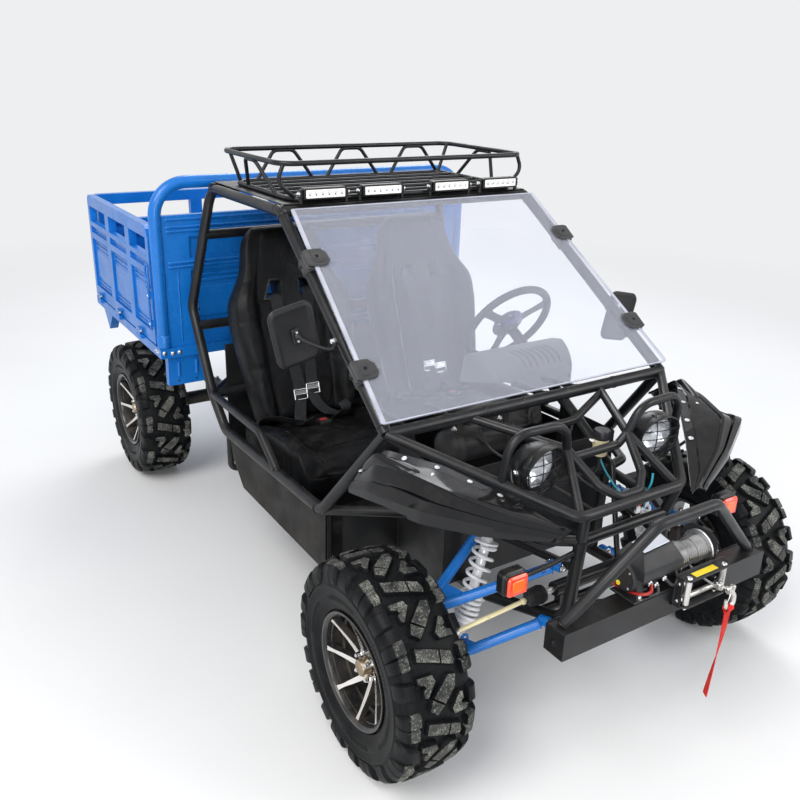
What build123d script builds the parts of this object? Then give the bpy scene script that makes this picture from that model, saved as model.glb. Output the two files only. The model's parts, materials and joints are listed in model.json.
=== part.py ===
"""Two-seat utility buggy with a tipping cargo bed. Millimetres, +X forward, +Y left, +Z up.

The origin is on the ground below the middle of the vehicle. Points on the side of the
vehicle are written for the left side, and a loop mirrors them to the right.
"""
import os
from math import cos, pi, radians, sin, tan

from build123d import *

os.makedirs("parts", exist_ok=True)

# Driving dimensions of the whole vehicle.
WHEELBASE = 2180.0
FRONT_AXLE_X = 1075.0
REAR_AXLE_X = FRONT_AXLE_X - WHEELBASE
FRONT_TRACK = 1354.0
REAR_TRACK = 1336.0
BODY_FRONT_X = 1575.0
BODY_REAR_X = -1575.0

# Clearances.
SEAT_GAP = 0.3
RUN_GAP = 6.0
PIN_GAP = 0.05

# Tubes of the frame, by radius.
MAIN_TUBE = 19.0
NOSE_TUBE = 16.0
SMALL_TUBE = 13.0
MAIN_BEND = 70.0

# Side of the cage, left side, from the cowl corner round the door opening.
SILL_Y = 620.0
COWL = (887.0, 559.0, 913.0)
ROOF_FRONT = (145.0, 520.0, 1420.0)
ROOF_REAR = (-465.0, 530.0, 1420.0)
HOOP_MID = (-509.0, SILL_Y, 952.0)
HOOP_LOW = (-329.0, SILL_Y, 633.0)
SILL_REAR = (-205.0, SILL_Y, 522.0)
SILL_FRONT = (610.0, SILL_Y, 557.0)
HIP_MID = (134.0, SILL_Y, 645.0)
HIP_FRONT = (287.0, SILL_Y, 541.0)
HOOP_BAR_Z = 1240.0
WAIST_BAR_Z = 880.0

# Lower frame.
FLOOR_TUBE_Y = 250.0
FLOOR_TUBE_Z = 330.0
SUBFRAME_Y = 330.0
SUBFRAME_Z = 640.0
SUBFRAME_END_X = -1400.0
BOX_FRONT = (1285.0, 185.0, 400.0)
BOX_REAR_X = 960.0
BOX_TOP = (BOX_REAR_X, 270.0, 640.0)
RAIL_MID = (1200.0, 240.0, 640.0)
RAIL_OUT = (925.0, 382.0, 632.0)
KICK_LOW_X = -420.0
KICK_HIGH_X = -620.0
FLOOR_CROSS_X = (600.0, 180.0, -240.0)
REAR_CROSS_X = (-680.0, -950.0)
SKIRT_Y = 606.0
RISER_BEND = 30.0
PIVOT_RAIL_Z = 575.0
TOWER_X = 1056.0
TOWER_Y = 318.0
TOWER_HALF = 16.0
TOWER_THICK = 10.0
LEAF_POST = 14.0

# Nose, with the lamps in their arches.
NOSE_CORNER = (1313.0, 203.0, 754.0)
CHIN_CORNER = (1293.0, 168.0, 663.0)
STRUT_TOP = (895.0, 262.0, 904.0)
ARCH_END = (1155.0, 121.0, 877.0)
ARCH_START = (1143.0, 345.0, 818.0)
ARCH_TOP_Z = 965.0
LAMP = (1150.0, 235.0, 851.0)
LAMP_RADIUS = 74.0
LAMP_DEPTH = 90.0
LAMP_TOE = 8.0
LAMP_FRONT = 35.0
LAMP_RIM = 6.0
LENS_DEEP = 20.0
VISOR_LONG = 20.0
GUARD_STEP = 27.0
GUARD_WIRE = 3.0

# Windscreen.
SCREEN_LOW = (894.0, 579.0, 948.0)
SCREEN_HIGH = (198.0, 514.0, 1434.0)
SCREEN_THICK = 5.0
CLAMP_SHARES = (0.22, 0.74)
CLAMP_LONG = 74.0
CLAMP_WIDE = 56.0
CLAMP_ABOVE = 10.5
CLAMP_BELOW = 27.0

# Floor tub, skirts and roof.
PANEL = 4.0
FLOOR_Z = FLOOR_TUBE_Z + MAIN_TUBE + SEAT_GAP
SKIRT_Z = 322.0
BULKHEAD_X = -366.0
BULKHEAD_TOP_Z = 820.0
FOOT_HALF = 350.0
FOOT_REAR_X = 640.0
FOOT_FRONT_X = 905.0
FOOT_TOP_Z = 740.0
FOOT_STEP_Z = 530.0
SEAT_BOX_X = (-60.0, 290.0)
SEAT_BOX_HALF = 170.0
RACK_TUBE = 9.0
RACK_TOP_Z = 1570.0
LIGHT_BARS_Y = (-371.0, -146.0, 146.0, 371.0)
LIGHT_HALF = 80.0
LIGHT_DEEP = 36.0
LIGHT_LOW_Z = 1456.0
LIGHT_TOP_Z = 1494.0
LIGHT_CELLS = 6
CELL_STEP = 25.0
CELL_HALF = 11.0

# Seats.
SEAT_Y = 310.0
SEAT_WIDTH = 510.0
CUSHION_FRONT_X = 355.0
CUSHION_LOW_Z = 430.0
SEAT_BACK_LOW = (-95.0, 560.0)
SEAT_BACK_TOP = (-325.0, 1290.0)
SEAT_BACK_THICK = 90.0
BOLSTER = 60.0

# Steering.
STEER_SIDES = 32
STEER_CENTRE = (375.0, 290.0, 985.0)
STEER_RAKE = 30.0
STEER_RADIUS = 172.0
COLUMN_RADIUS = 20.0
RACK_X = 1190.0
RACK_Z = 440.0
RACK_CASE = 22.0
RACK_BAR = 10.0
RACK_HALF = 225.0
CASE_HALF = 150.0
CASE_FOOT = (100.0, 130.0)
ARM_LENGTH = 90.0
KINGPIN_Y = 545.0
LOWER_BALL_Z = 228.0
UPPER_BALL_Z = 428.0

# Front suspension.
PIVOT_SHARES = (0.14, 0.93)
BUSH_LOWER = 16.0
BUSH_UPPER = 14.0
BUSH_LONG = 36.0
ARM_TUBE = 13.0
BALL_EYE = 22.0
BALL_PIN = 8.0
SHOCK_X = 1093.0
SHOCK_HIGH_Y = 300.0
COIL_RADIUS = 31.0
COIL_WIRE = 6.0
COIL_TURNS = 7

# Rear axle, springs and engine.
LEAF_ENDS = (-835.0, -1375.0)
LEAF_END_Z = 470.0
LEAF_THICK = 14.0
LEAF_HALF = 25.0
LEAF_BOW_Z = 388.0
AXLE_TUBE = 32.0
ENGINE_FRONT_X = -440.0
ENGINE_REAR_X = -860.0
ENGINE_HALF = 215.0
ENGINE_TOP_Z = 612.0

# Wheels. The tyre and rim are faceted, with the same number of sides.
TYRE_RADIUS = 317.5
TYRE_HALF = 114.0
WHEEL_SIDES = 30
LUG_PITCHES = 12
LUG_HEIGHT = 18.0
LUG_LONG = 66.0
LUG_WIDE = 30.0
LUG_SKEW = 25.0
RIM_RADIUS = 156.0
RIM_LIP = 170.0
RIM_WALL = 8.0
HUB_RADIUS = 42.0
STUB_RADIUS = 20.0
SPOKES = 8

# Cargo bed with its gates.
BED_FRONT_X = -550.0
BED_HALF = 751.0
BED_FLOOR_LOW = 732.0
BED_FLOOR_TOP = 772.0
BED_SILL = 40.0
GATE_LOW = 779.0
GATE_TOP = 1266.0
GATE_THICK = 34.0
GATE_RAIL = 50.0
HINGE_RADIUS = 9.0
HINGE_PIN = 5.0
HINGE_LENGTH = 34.0
LOAD_FLOOR = 3.0
HOOP_TUBE = 25.0
HOOP_TOP_Z = 1458.0
HEADBOARD_TOP_Z = 1309.0
TIP_X = -1380.0
TIP_Z = 697.0
TIP_PIN = 10.0
TIP_LUG = 30.0
LUG_PLATE = 12.0
RUNNER_HALF = 25.0


def both_sides(points, side):
    """The left-hand points for side 1, mirrored for side -1."""
    return [(x, side * y, z) for x, y, z in points]


def across(point):
    """A point and its mirror on the other side."""
    return [point, (point[0], -point[1], point[2])]


def between(a, b, share):
    """The point at a share of the way from a to b."""
    return tuple(p + share * (q - p) for p, q in zip(a, b))


def tube(points, radius, bend=MAIN_BEND, close=False):
    """Add a round bar along straight runs that are joined by arcs."""
    with BuildLine() as path:
        if len(points) > 2:
            FilletPolyline(*points, radius=bend, close=close)
        else:
            Line(*points)
    with BuildSketch(Plane(origin=path.line @ 0, z_dir=path.line % 0)) as section:
        Circle(radius)
    sweep(section.sketch, path=path.line)


def mirrored(point, side):
    """One left-hand point for side 1, mirrored for side -1."""
    return (point[0], side * point[1], point[2])


def block(low, high, mode=Mode.ADD):
    """Add or cut a box between two opposite corners."""
    size = [abs(b - a) for a, b in zip(low, high)]
    with Locations(tuple((a + b) / 2 for a, b in zip(low, high))):
        Box(*size, mode=mode)


def side_plate(points, y_from, y_to, mode=Mode.ADD):
    """Add a plate whose outline is given as x and z points, between two y values."""
    with BuildSketch(Plane.XZ.offset(-y_from)) as outline:
        with BuildLine():
            Polyline(*points, close=True)
        make_face()
    extrude(outline.sketch, amount=y_from - y_to, mode=mode)


def rod(start, end, radius, mode=Mode.ADD):
    """Add or cut a straight round bar between two points."""
    with BuildSketch(Plane(origin=start, z_dir=Vector(*end) - Vector(*start))) as section:
        Circle(radius)
    extrude(section.sketch, amount=(Vector(*end) - Vector(*start)).length, mode=mode)


def facet_stack(levels, sides, plane, mode=Mode.ADD):
    """Add or cut a ruled body through regular polygons, each given as (offset, radius)."""
    sections = []
    for offset_by, radius in levels:
        with BuildSketch(plane.offset(offset_by)) as ring:
            RegularPolygon(radius, sides, rotation=180.0 / sides)
        sections.append(ring.sketch)
    loft(sections, ruled=True, mode=mode)


def save(name, part):
    """Label a finished piece and write it."""
    part.label = name
    export_step(part, f"parts/{name}.step")


# Roll cage: both side loops, the hip bars and the bars that join the sides.
hoop_share = (ROOF_REAR[2] - HOOP_BAR_Z) / (ROOF_REAR[2] - HOOP_MID[2])
hoop_bar = between(ROOF_REAR, HOOP_MID, hoop_share)
waist_share = (HOOP_MID[2] - WAIST_BAR_Z) / (HOOP_MID[2] - HOOP_LOW[2])
waist_bar = between(HOOP_MID, HOOP_LOW, waist_share)
sill_mid = between(SILL_REAR, SILL_FRONT, 0.5)
upper_loop = [COWL, ROOF_FRONT, ROOF_REAR, HOOP_MID, HOOP_LOW, SILL_REAR, sill_mid]
door_post = [sill_mid, SILL_FRONT, COWL]
with BuildPart() as roll_cage:
    for side in (1, -1):
        tube(both_sides(upper_loop, side), MAIN_TUBE)
        tube(both_sides(door_post, side), MAIN_TUBE)
        tube(both_sides([HOOP_LOW, HIP_MID, HIP_FRONT], side), NOSE_TUBE, 60)
    for end in (ROOF_FRONT, ROOF_REAR, hoop_bar, waist_bar, HOOP_LOW, COWL):
        tube(across(end), MAIN_TUBE)
save("roll_cage", roll_cage.part)

# Lower frame: two long tubes that rise behind the seats to carry the bed, outriggers
# under the floor, and the box that carries the front suspension.
rear_top = (KICK_HIGH_X, SUBFRAME_Y, SUBFRAME_Z)
box_low = (BOX_REAR_X, FLOOR_TUBE_Y, FLOOR_TUBE_Z)
kick_low = (KICK_LOW_X, FLOOR_TUBE_Y, FLOOR_TUBE_Z)
rail_end = (SUBFRAME_END_X, SUBFRAME_Y, SUBFRAME_Z)
long_tube = [CHIN_CORNER, BOX_FRONT, box_low, kick_low, rear_top, rail_end]
upper_rail = [CHIN_CORNER, RAIL_MID, BOX_TOP, RAIL_OUT, SILL_FRONT]
cradle_rear = (REAR_CROSS_X[1] + 90, FLOOR_TUBE_Y, FLOOR_TUBE_Z)
cradle = [kick_low, cradle_rear, (REAR_CROSS_X[1], SUBFRAME_Y, SUBFRAME_Z)]
front_share = (CHIN_CORNER[2] - PIVOT_RAIL_Z) / (CHIN_CORNER[2] - BOX_FRONT[2])
rear_share = (BOX_TOP[2] - PIVOT_RAIL_Z) / (BOX_TOP[2] - FLOOR_TUBE_Z)
pivot_rail = [between(CHIN_CORNER, BOX_FRONT, front_share), between(BOX_TOP, box_low, rear_share)]
tower_rail = between(RAIL_MID, BOX_TOP, (RAIL_MID[0] - TOWER_X) / (RAIL_MID[0] - BOX_REAR_X))
riser_y = SKIRT_Y - SEAT_GAP - SMALL_TUBE
lug_y = SUBFRAME_Y + RUNNER_HALF + RUN_GAP
lug_end = lug_y + LUG_PLATE
lug_foot = [(TIP_X - 20, SUBFRAME_Z), (TIP_X - 22, TIP_Z), (TIP_X + 22, TIP_Z), (TIP_X + 45, SUBFRAME_Z)]
with BuildPart() as lower_frame:
    for side in (1, -1):
        tube(both_sides(long_tube, side), MAIN_TUBE)
        tube(both_sides(upper_rail, side), NOSE_TUBE, 50)
        tube(both_sides([BOX_TOP, box_low], side), NOSE_TUBE)
        tube(both_sides(pivot_rail, side), SMALL_TUBE)
        tube(both_sides([rear_top, HOOP_LOW], side), NOSE_TUBE)
        tube(both_sides(cradle, side), SMALL_TUBE, 60)
        for x in FLOOR_CROSS_X:
            sill_share = (x - SILL_REAR[0]) / (SILL_FRONT[0] - SILL_REAR[0])
            sill_z = between(SILL_REAR, SILL_FRONT, sill_share)[2]
            riser = [(x, 0, FLOOR_TUBE_Z), (x, riser_y, FLOOR_TUBE_Z), (x, riser_y, sill_z)]
            tube(both_sides(riser, side), SMALL_TUBE, RISER_BEND)
        block((TOWER_X - TOWER_HALF, side * tower_rail[1], BOX_TOP[2] - TOWER_THICK),
              (TOWER_X + TOWER_HALF, side * TOWER_Y, BOX_TOP[2] + TOWER_THICK))
        for x in LEAF_ENDS:
            block((x - LEAF_POST, side * (SUBFRAME_Y - LEAF_POST), LEAF_END_Z),
                  (x + LEAF_POST, side * (SUBFRAME_Y + LEAF_POST), SUBFRAME_Z))
        side_plate(lug_foot, side * lug_y, side * lug_end)
        rod((TIP_X, side * lug_y, TIP_Z), (TIP_X, side * lug_end, TIP_Z), TIP_LUG - 8)
        rod((TIP_X, side * lug_end, TIP_Z), (TIP_X, side * (SUBFRAME_Y - RUNNER_HALF - 8), TIP_Z), TIP_PIN)
        block((TIP_X - 20, side * SUBFRAME_Y, SUBFRAME_Z - 10), (TIP_X + 45, side * lug_end, SUBFRAME_Z))
    for x in REAR_CROSS_X:
        tube(across((x, SUBFRAME_Y, SUBFRAME_Z)), NOSE_TUBE)
    for end in (BOX_TOP, BOX_FRONT, CHIN_CORNER, cradle_rear):
        tube(across(end), NOSE_TUBE if end != cradle_rear else SMALL_TUBE)
    rack_seat = between(BOX_FRONT, box_low, (BOX_FRONT[0] - RACK_X) / (BOX_FRONT[0] - BOX_REAR_X))
    tube(across((RACK_X, rack_seat[1], rack_seat[2])), SMALL_TUBE)
    for side in (1, -1):
        block((RACK_X - 12, side * CASE_FOOT[0], rack_seat[2]),
              (RACK_X + 12, side * CASE_FOOT[1], RACK_Z - RACK_CASE - SEAT_GAP))
    add(roll_cage.part, mode=Mode.SUBTRACT)
save("lower_frame", lower_frame.part)

# Nose: the hoop round the nose, an arch over each lamp, and the U-shaped tubes between.
lamp_seat_z = LAMP[2] - LAMP_RADIUS - 6
arch = [ARCH_START, (1158.0, ARCH_START[1] - 12, ARCH_TOP_Z), (1170.0, 150.0, ARCH_TOP_Z), ARCH_END]
cowl_u = [between(STRUT_TOP, ARCH_END, 0.08), (952.0, 100.0, 845.0)]
mid_u = [ARCH_END, (1150.0, 91.0, 842.0)]
low_u = [ARCH_END, (1258.0, 86.0, 797.0), (1296.0, 40.0, 768.0)]
with BuildPart() as nose_frame:
    tube([COWL, NOSE_CORNER, across(NOSE_CORNER)[1], across(COWL)[1]], NOSE_TUBE, 60)
    for side in (1, -1):
        tube(both_sides([STRUT_TOP, ARCH_END], side), SMALL_TUBE)
        tube(both_sides(arch, side), SMALL_TUBE, 62)
        tube(both_sides([ARCH_END, (1298.0, 190.0, 754.0)], side), SMALL_TUBE)
        tube(both_sides([(1313.0, 185.0, 754.0), CHIN_CORNER], side), NOSE_TUBE)
        tube(both_sides([(1130.0, 350.0, 821.0), (LAMP[0] - 5, LAMP[1], lamp_seat_z - 6)], side), 8)
        block((LAMP[0] - 22, side * (LAMP[1] - 16), lamp_seat_z - 14),
              (LAMP[0] + 10, side * (LAMP[1] + 16), lamp_seat_z))
    for left, bend in ((cowl_u, 60), (mid_u, 20), (low_u, 30)):
        tube(left + both_sides(left, -1)[::-1], SMALL_TUBE, bend)
    add(roll_cage.part, mode=Mode.SUBTRACT)
    add(lower_frame.part, mode=Mode.SUBTRACT)
save("nose_frame", nose_frame.part)

# Floor tub: floor, footwell with its walls, bulkhead behind the seats and seat boxes.
floor_half = riser_y - RISER_BEND
bulkhead_half = floor_half - 16
with BuildPart() as floor_tub:
    block((BULKHEAD_X, -floor_half, FLOOR_Z), (FOOT_REAR_X, floor_half, FLOOR_Z + PANEL))
    block((FOOT_REAR_X, -FOOT_HALF, FLOOR_Z), (FOOT_FRONT_X, FOOT_HALF, FLOOR_Z + PANEL))
    block((BULKHEAD_X, -bulkhead_half, FLOOR_Z), (BULKHEAD_X + PANEL, bulkhead_half, BULKHEAD_TOP_Z))
    block((FOOT_FRONT_X - PANEL, -FOOT_HALF, FLOOR_Z), (FOOT_FRONT_X, FOOT_HALF, FOOT_TOP_Z))
    for side in (1, -1):
        block((FOOT_REAR_X - PANEL, side * FOOT_HALF, FLOOR_Z),
              (FOOT_FRONT_X, side * (FOOT_HALF - PANEL), FOOT_TOP_Z))
        block((FOOT_REAR_X - PANEL, side * (FOOT_HALF - PANEL), FLOOR_Z),
              (FOOT_REAR_X, side * floor_half, FOOT_STEP_Z))
        block((SEAT_BOX_X[0], side * (SEAT_Y - SEAT_BOX_HALF), FLOOR_Z),
              (SEAT_BOX_X[1], side * (SEAT_Y + SEAT_BOX_HALF), CUSHION_LOW_Z - SEAT_GAP))
save("floor_tub", floor_tub.part)

# Side skirts, which hang below the sill tubes on the outriggers.
sill_drop = MAIN_TUBE + 1.0
skirt = [(SILL_REAR[0] + 10, SILL_REAR[2] - sill_drop), (SILL_REAR[0] + 40, 410.0),
         (SILL_REAR[0] + 130, SKIRT_Z), (SILL_FRONT[0], SKIRT_Z),
         (SILL_FRONT[0] + 4, SILL_FRONT[2] - sill_drop)]
with BuildPart() as side_skirts:
    for side in (1, -1):
        side_plate(skirt, side * SKIRT_Y, side * (SKIRT_Y + PANEL))
save("side_skirts", side_skirts.part)

# Roof panel on the roof tubes, and the rack that stands on it.
roof_low = ROOF_FRONT[2] + MAIN_TUBE + SEAT_GAP
roof_top = roof_low + PANEL
base_z = roof_top + RACK_TUBE + SEAT_GAP
with BuildPart() as roof_panel:
    block((ROOF_REAR[0] - 5, 5 - ROOF_FRONT[1], roof_low), (ROOF_FRONT[0] + 5, ROOF_FRONT[1] - 5, roof_top))
save("roof_panel", roof_panel.part)

rack_low = [(133.0, 470.0, base_z), (-370.0, 470.0, base_z)]
rack_high = [(133.0, 512.0, RACK_TOP_Z), (-383.0, 512.0, RACK_TOP_Z)]
RACK_BAR_TUBE = RACK_TUBE - 2
RACK_SLATS = 5
RACK_ARCHES = (-260.0, 40.0)
ARCH_FOOT = 120.0
ARCH_HEAD = 42.0
arch_peak_z = RACK_TOP_Z - RACK_TUBE
with BuildPart() as roof_rack:
    for left in (rack_low, rack_high):
        tube(left + both_sides(left, -1)[::-1], RACK_TUBE, 60, close=True)
    for side in (1, -1):
        # A bowed post in each front corner and a straight one in each rear corner.
        for (x, y, _), bow in ((rack_low[0], 26.0), (rack_low[1], 0.0)):
            foot = (x - 18 if bow else x + 18, side * (y - 18), base_z)
            head = (foot[0], side * (rack_high[0][1] - 18), RACK_TOP_Z)
            knee = (foot[0], head[1] + side * bow, (base_z + RACK_TOP_Z) / 2)
            tube([foot, knee, head] if bow else [foot, head], RACK_BAR_TUBE, 40)
        # An arch half way along each side.
        x_mid = (rack_low[0][0] + rack_low[1][0]) / 2
        side_arch = [(x_mid + ARCH_FOOT, rack_low[0][1], base_z),
                     (x_mid + ARCH_HEAD, rack_high[0][1], arch_peak_z),
                     (x_mid - ARCH_HEAD, rack_high[0][1], arch_peak_z),
                     (x_mid - ARCH_FOOT, rack_low[0][1], base_z)]
        tube(both_sides(side_arch, side), RACK_BAR_TUBE, 34)
    for y in RACK_ARCHES + (340.0,):
        rear_arch = [(rack_low[1][0], y - ARCH_FOOT, base_z), (rack_high[1][0], y - ARCH_HEAD, arch_peak_z),
                     (rack_high[1][0], y + ARCH_HEAD, arch_peak_z), (rack_low[1][0], y + ARCH_FOOT, base_z)]
        tube(rear_arch, RACK_BAR_TUBE, 34)
    for slat in range(1, RACK_SLATS + 1):
        x, y, z = between(*rack_low, slat / (RACK_SLATS + 1))
        tube(across((x, y, z)), RACK_BAR_TUBE)
save("roof_rack", roof_rack.part)

# Light bars on the front of the rack: a finned body with a six-cell face.
with BuildPart() as light_bars:
    for y in LIGHT_BARS_Y:
        rear = rack_low[0][0] + RACK_TUBE + SEAT_GAP
        block((rear, y - LIGHT_HALF, LIGHT_LOW_Z), (rear + LIGHT_DEEP, y + LIGHT_HALF, LIGHT_TOP_Z))
        for cell in range(LIGHT_CELLS):
            cell_y = y + (cell - (LIGHT_CELLS - 1) / 2) * CELL_STEP
            block((rear + LIGHT_DEEP - 4, cell_y - CELL_HALF, LIGHT_LOW_Z + 5),
                  (rear + LIGHT_DEEP, cell_y + CELL_HALF, LIGHT_TOP_Z - 5), mode=Mode.SUBTRACT)
save("light_bars", light_bars.part)

# Windscreen and the four clamps that hold it to the front legs of the cage.
slope = Vector(SCREEN_HIGH[0] - SCREEN_LOW[0], 0, SCREEN_HIGH[2] - SCREEN_LOW[2])
screen_mid = ((SCREEN_LOW[0] + SCREEN_HIGH[0]) / 2, 0, (SCREEN_LOW[2] + SCREEN_HIGH[2]) / 2)
screen_plane = Plane(origin=screen_mid, x_dir=(0, -1, 0), z_dir=Vector(0, -1, 0).cross(slope))
half_slope = slope.length / 2
with BuildPart() as windscreen:
    with BuildSketch(screen_plane):
        with BuildLine():
            Polyline((-SCREEN_LOW[1], -half_slope), (SCREEN_LOW[1], -half_slope),
                     (SCREEN_HIGH[1], half_slope), (-SCREEN_HIGH[1], half_slope), close=True)
        make_face()
    extrude(amount=SCREEN_THICK / 2, both=True)
    fillet(windscreen.edges().filter_by(Axis((0, 0, 0), screen_plane.z_dir)), 12)
save("windscreen", windscreen.part)

low_half = SCREEN_LOW[1] + SEAT_GAP
high_half = SCREEN_HIGH[1] + SEAT_GAP
with BuildPart() as screen_clamps:
    for side in (1, -1):
        for share in CLAMP_SHARES:
            edge = between(SCREEN_LOW, SCREEN_HIGH, share)
            origin = Vector(edge[0], side * (edge[1] - 22), edge[2])
            pad_plane = Plane(origin=origin, x_dir=(0, -1, 0), z_dir=screen_plane.z_dir).offset(-CLAMP_ABOVE)
            with BuildSketch(pad_plane) as pad:
                RectangleRounded(CLAMP_WIDE, CLAMP_LONG, 10)
            extrude(pad.sketch, amount=CLAMP_ABOVE + CLAMP_BELOW)
        rod(mirrored(COWL, side), mirrored(ROOF_FRONT, side), MAIN_TUBE + SEAT_GAP, mode=Mode.SUBTRACT)
    with BuildSketch(screen_plane.offset(-SCREEN_THICK / 2 - SEAT_GAP)) as slot:
        with BuildLine():
            Polyline((-low_half, -half_slope), (low_half, -half_slope), (high_half, half_slope),
                     (-high_half, half_slope), close=True)
        make_face()
    extrude(slot.sketch, amount=SCREEN_THICK + 2 * SEAT_GAP, mode=Mode.SUBTRACT)
save("screen_clamps", screen_clamps.part)

# Front fenders: ruled skins through cross-sections from the rear to the front.
# Columns: x, inner y and z, ridge y and z, outer y and z.
FENDER_SECTIONS = (
    (835.0, 578.0, 812.0, 616.0, 786.0, 650.0, 744.0),
    (935.0, 588.0, 893.0, 620.0, 860.0, 650.0, 772.0),
    (1050.0, 474.0, 866.0, 588.0, 864.0, 642.0, 800.0),
    (1185.0, 362.0, 808.0, 540.0, 852.0, 630.0, 825.0),
    (1265.0, 288.0, 768.0, 420.0, 798.0, 475.0, 778.0),
    (1335.0, 225.0, 733.0, 250.0, 738.0, 282.0, 722.0),
)
FENDER_SKIN = 4.0
FENDER_LIP = 26.0
with BuildPart() as fenders:
    for side in (1, -1):
        sections = []
        for x, y_in, z_in, y_mid, z_mid, y_out, z_out in FENDER_SECTIONS:
            top = [(y_in, z_in), (y_mid, z_mid), (y_out, z_out), (y_out + 5, z_out - FENDER_LIP)]
            under = [(y_out, z_out - FENDER_LIP), (y_out - FENDER_SKIN, z_out - FENDER_SKIN),
                     (y_mid, z_mid - FENDER_SKIN), (y_in, z_in - FENDER_SKIN)]
            with BuildSketch(Plane.YZ.offset(x)) as ring:
                with BuildLine():
                    Polyline(*[(side * y, z) for y, z in top + under], close=True)
                make_face()
            sections.append(ring.sketch)
        loft(sections, ruled=True)
        for x, y_in, z_in, _, _, _, _ in FENDER_SECTIONS[2:4]:
            hoop_y = between(COWL, NOSE_CORNER, (x - COWL[0]) / (NOSE_CORNER[0] - COWL[0]))[1]
            block((x - 6, side * hoop_y, z_in - 16), (x + 6, side * (y_in + 16), z_in - 3))
    add(nose_frame.part, mode=Mode.SUBTRACT)
save("fenders", fenders.part)

# Headlamps: a tapered bucket with a visor, a recessed lens and wire bars across the mouth.
visor_end = LAMP_FRONT + VISOR_LONG + 1
visor_out = LAMP_RADIUS + 1
guard_rows = [(GUARD_STEP * place, 0) for place in (-1.5, -0.5, 0.5, 1.5)]
with BuildPart() as headlamps:
    for side in (1, -1):
        aim = (cos(radians(LAMP_TOE)), -side * sin(radians(LAMP_TOE)), 0)
        mouth = Plane(origin=(LAMP[0], side * LAMP[1], LAMP[2]), x_dir=(0, 0, 1), z_dir=aim)
        with BuildSketch(mouth) as disc:
            Circle(LAMP_RADIUS)
        extrude(disc.sketch, amount=LAMP_FRONT)
        extrude(disc.sketch, amount=LAMP_FRONT - LAMP_DEPTH, taper=26)
        with BuildSketch(mouth.offset(LAMP_FRONT)) as visor:
            Circle(LAMP_RADIUS)
            Circle(LAMP_RADIUS - LAMP_RIM, mode=Mode.SUBTRACT)
        extrude(visor.sketch, amount=VISOR_LONG)
        profile = Plane(origin=mouth.origin, x_dir=aim, z_dir=Vector(*aim).cross(Vector(0, 0, 1)))
        with BuildSketch(profile) as visor_cut:
            with BuildLine():
                Polyline((LAMP_FRONT, 0), (visor_end, visor_out), (visor_end, -visor_out),
                         (LAMP_FRONT, -visor_out), close=True)
            make_face()
        extrude(visor_cut.sketch, amount=visor_out, both=True, mode=Mode.SUBTRACT)
        with BuildSketch(mouth.offset(LAMP_FRONT)) as pocket:
            Circle(LAMP_RADIUS - LAMP_RIM)
        extrude(pocket.sketch, amount=-LENS_DEEP, mode=Mode.SUBTRACT)
        with BuildSketch(mouth.offset(LAMP_FRONT - 4)) as guard:
            with Locations(*guard_rows):
                Rectangle(GUARD_WIRE, 2 * LAMP_RADIUS - 40)
            with GridLocations(0, GUARD_STEP, 1, 2):
                Rectangle(2 * LAMP_RADIUS - 12, GUARD_WIRE)
            with Locations((0, 0)):
                Circle(LAMP_RADIUS - LAMP_RIM + 1, mode=Mode.INTERSECT)
        extrude(guard.sketch, amount=GUARD_WIRE)
        block((LAMP[0] - 18, side * (LAMP[1] - 14), lamp_seat_z + SEAT_GAP),
              (LAMP[0] + 6, side * (LAMP[1] + 14), LAMP[2] - LAMP_RADIUS + 8))
    add(nose_frame.part, mode=Mode.SUBTRACT)
save("headlamps", headlamps.part)

# Turn signals on their arms.
INDICATOR = (1320.0, 426.0, 629.0)
with BuildPart() as indicators:
    for side in (1, -1):
        block((INDICATOR[0] - 32, side * (INDICATOR[1] - 30), INDICATOR[2] - 27),
              (INDICATOR[0] + 14, side * (INDICATOR[1] + 30), INDICATOR[2] + 27))
        block((INDICATOR[0] - 20, side * (INDICATOR[1] - 24), INDICATOR[2] - 21),
              (INDICATOR[0] + 20, side * (INDICATOR[1] + 24), INDICATOR[2] + 21))
        tube(both_sides([(1290.0, 176.0, 632.0), (INDICATOR[0] - 8, INDICATOR[1] - 20, 632.0)], side), 8)
    add(lower_frame.part, mode=Mode.SUBTRACT)
    add(nose_frame.part, mode=Mode.SUBTRACT)
save("indicators", indicators.part)

# Bumper: a pressed beam with a tube hoop over it, on two stays from the frame.
BEAM = ((1421.0, -399.0, 482.0), (1491.0, 399.0, 560.0))
HOOP_FOOT = (1452.0, 372.0, BEAM[1][2] - 2)
HOOP_PEAK = (1500.0, 115.0, 802.0)
STAY_Z = 520.0
with BuildPart() as bumper:
    block(*BEAM)
    block((BEAM[0][0] - 1, BEAM[0][1] + PANEL, BEAM[0][2] - 1),
          (BEAM[1][0] - PANEL, BEAM[1][1] - PANEL, BEAM[1][2] - PANEL), mode=Mode.SUBTRACT)
    hoop = [HOOP_FOOT, HOOP_PEAK]
    tube(hoop + both_sides(hoop, -1)[::-1], NOSE_TUBE, 50)
    for side in (1, -1):
        stay = [(BEAM[1][0] - 2, 165.0, STAY_Z), (1395.0, 168.0, STAY_Z), BOX_FRONT]
        tube(both_sides(stay, side), NOSE_TUBE, 40)
    add(lower_frame.part, mode=Mode.SUBTRACT)
save("bumper", bumper.part)

# Winch: base plate, motor under its cover, drum with two flanges, gearbox.
WINCH = (1436.0, 20.0, 622.0)
WINCH_BASE = ((WINCH[0] - 36, -150.0), (WINCH[0] + 52, 192.0), 8.0)
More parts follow.
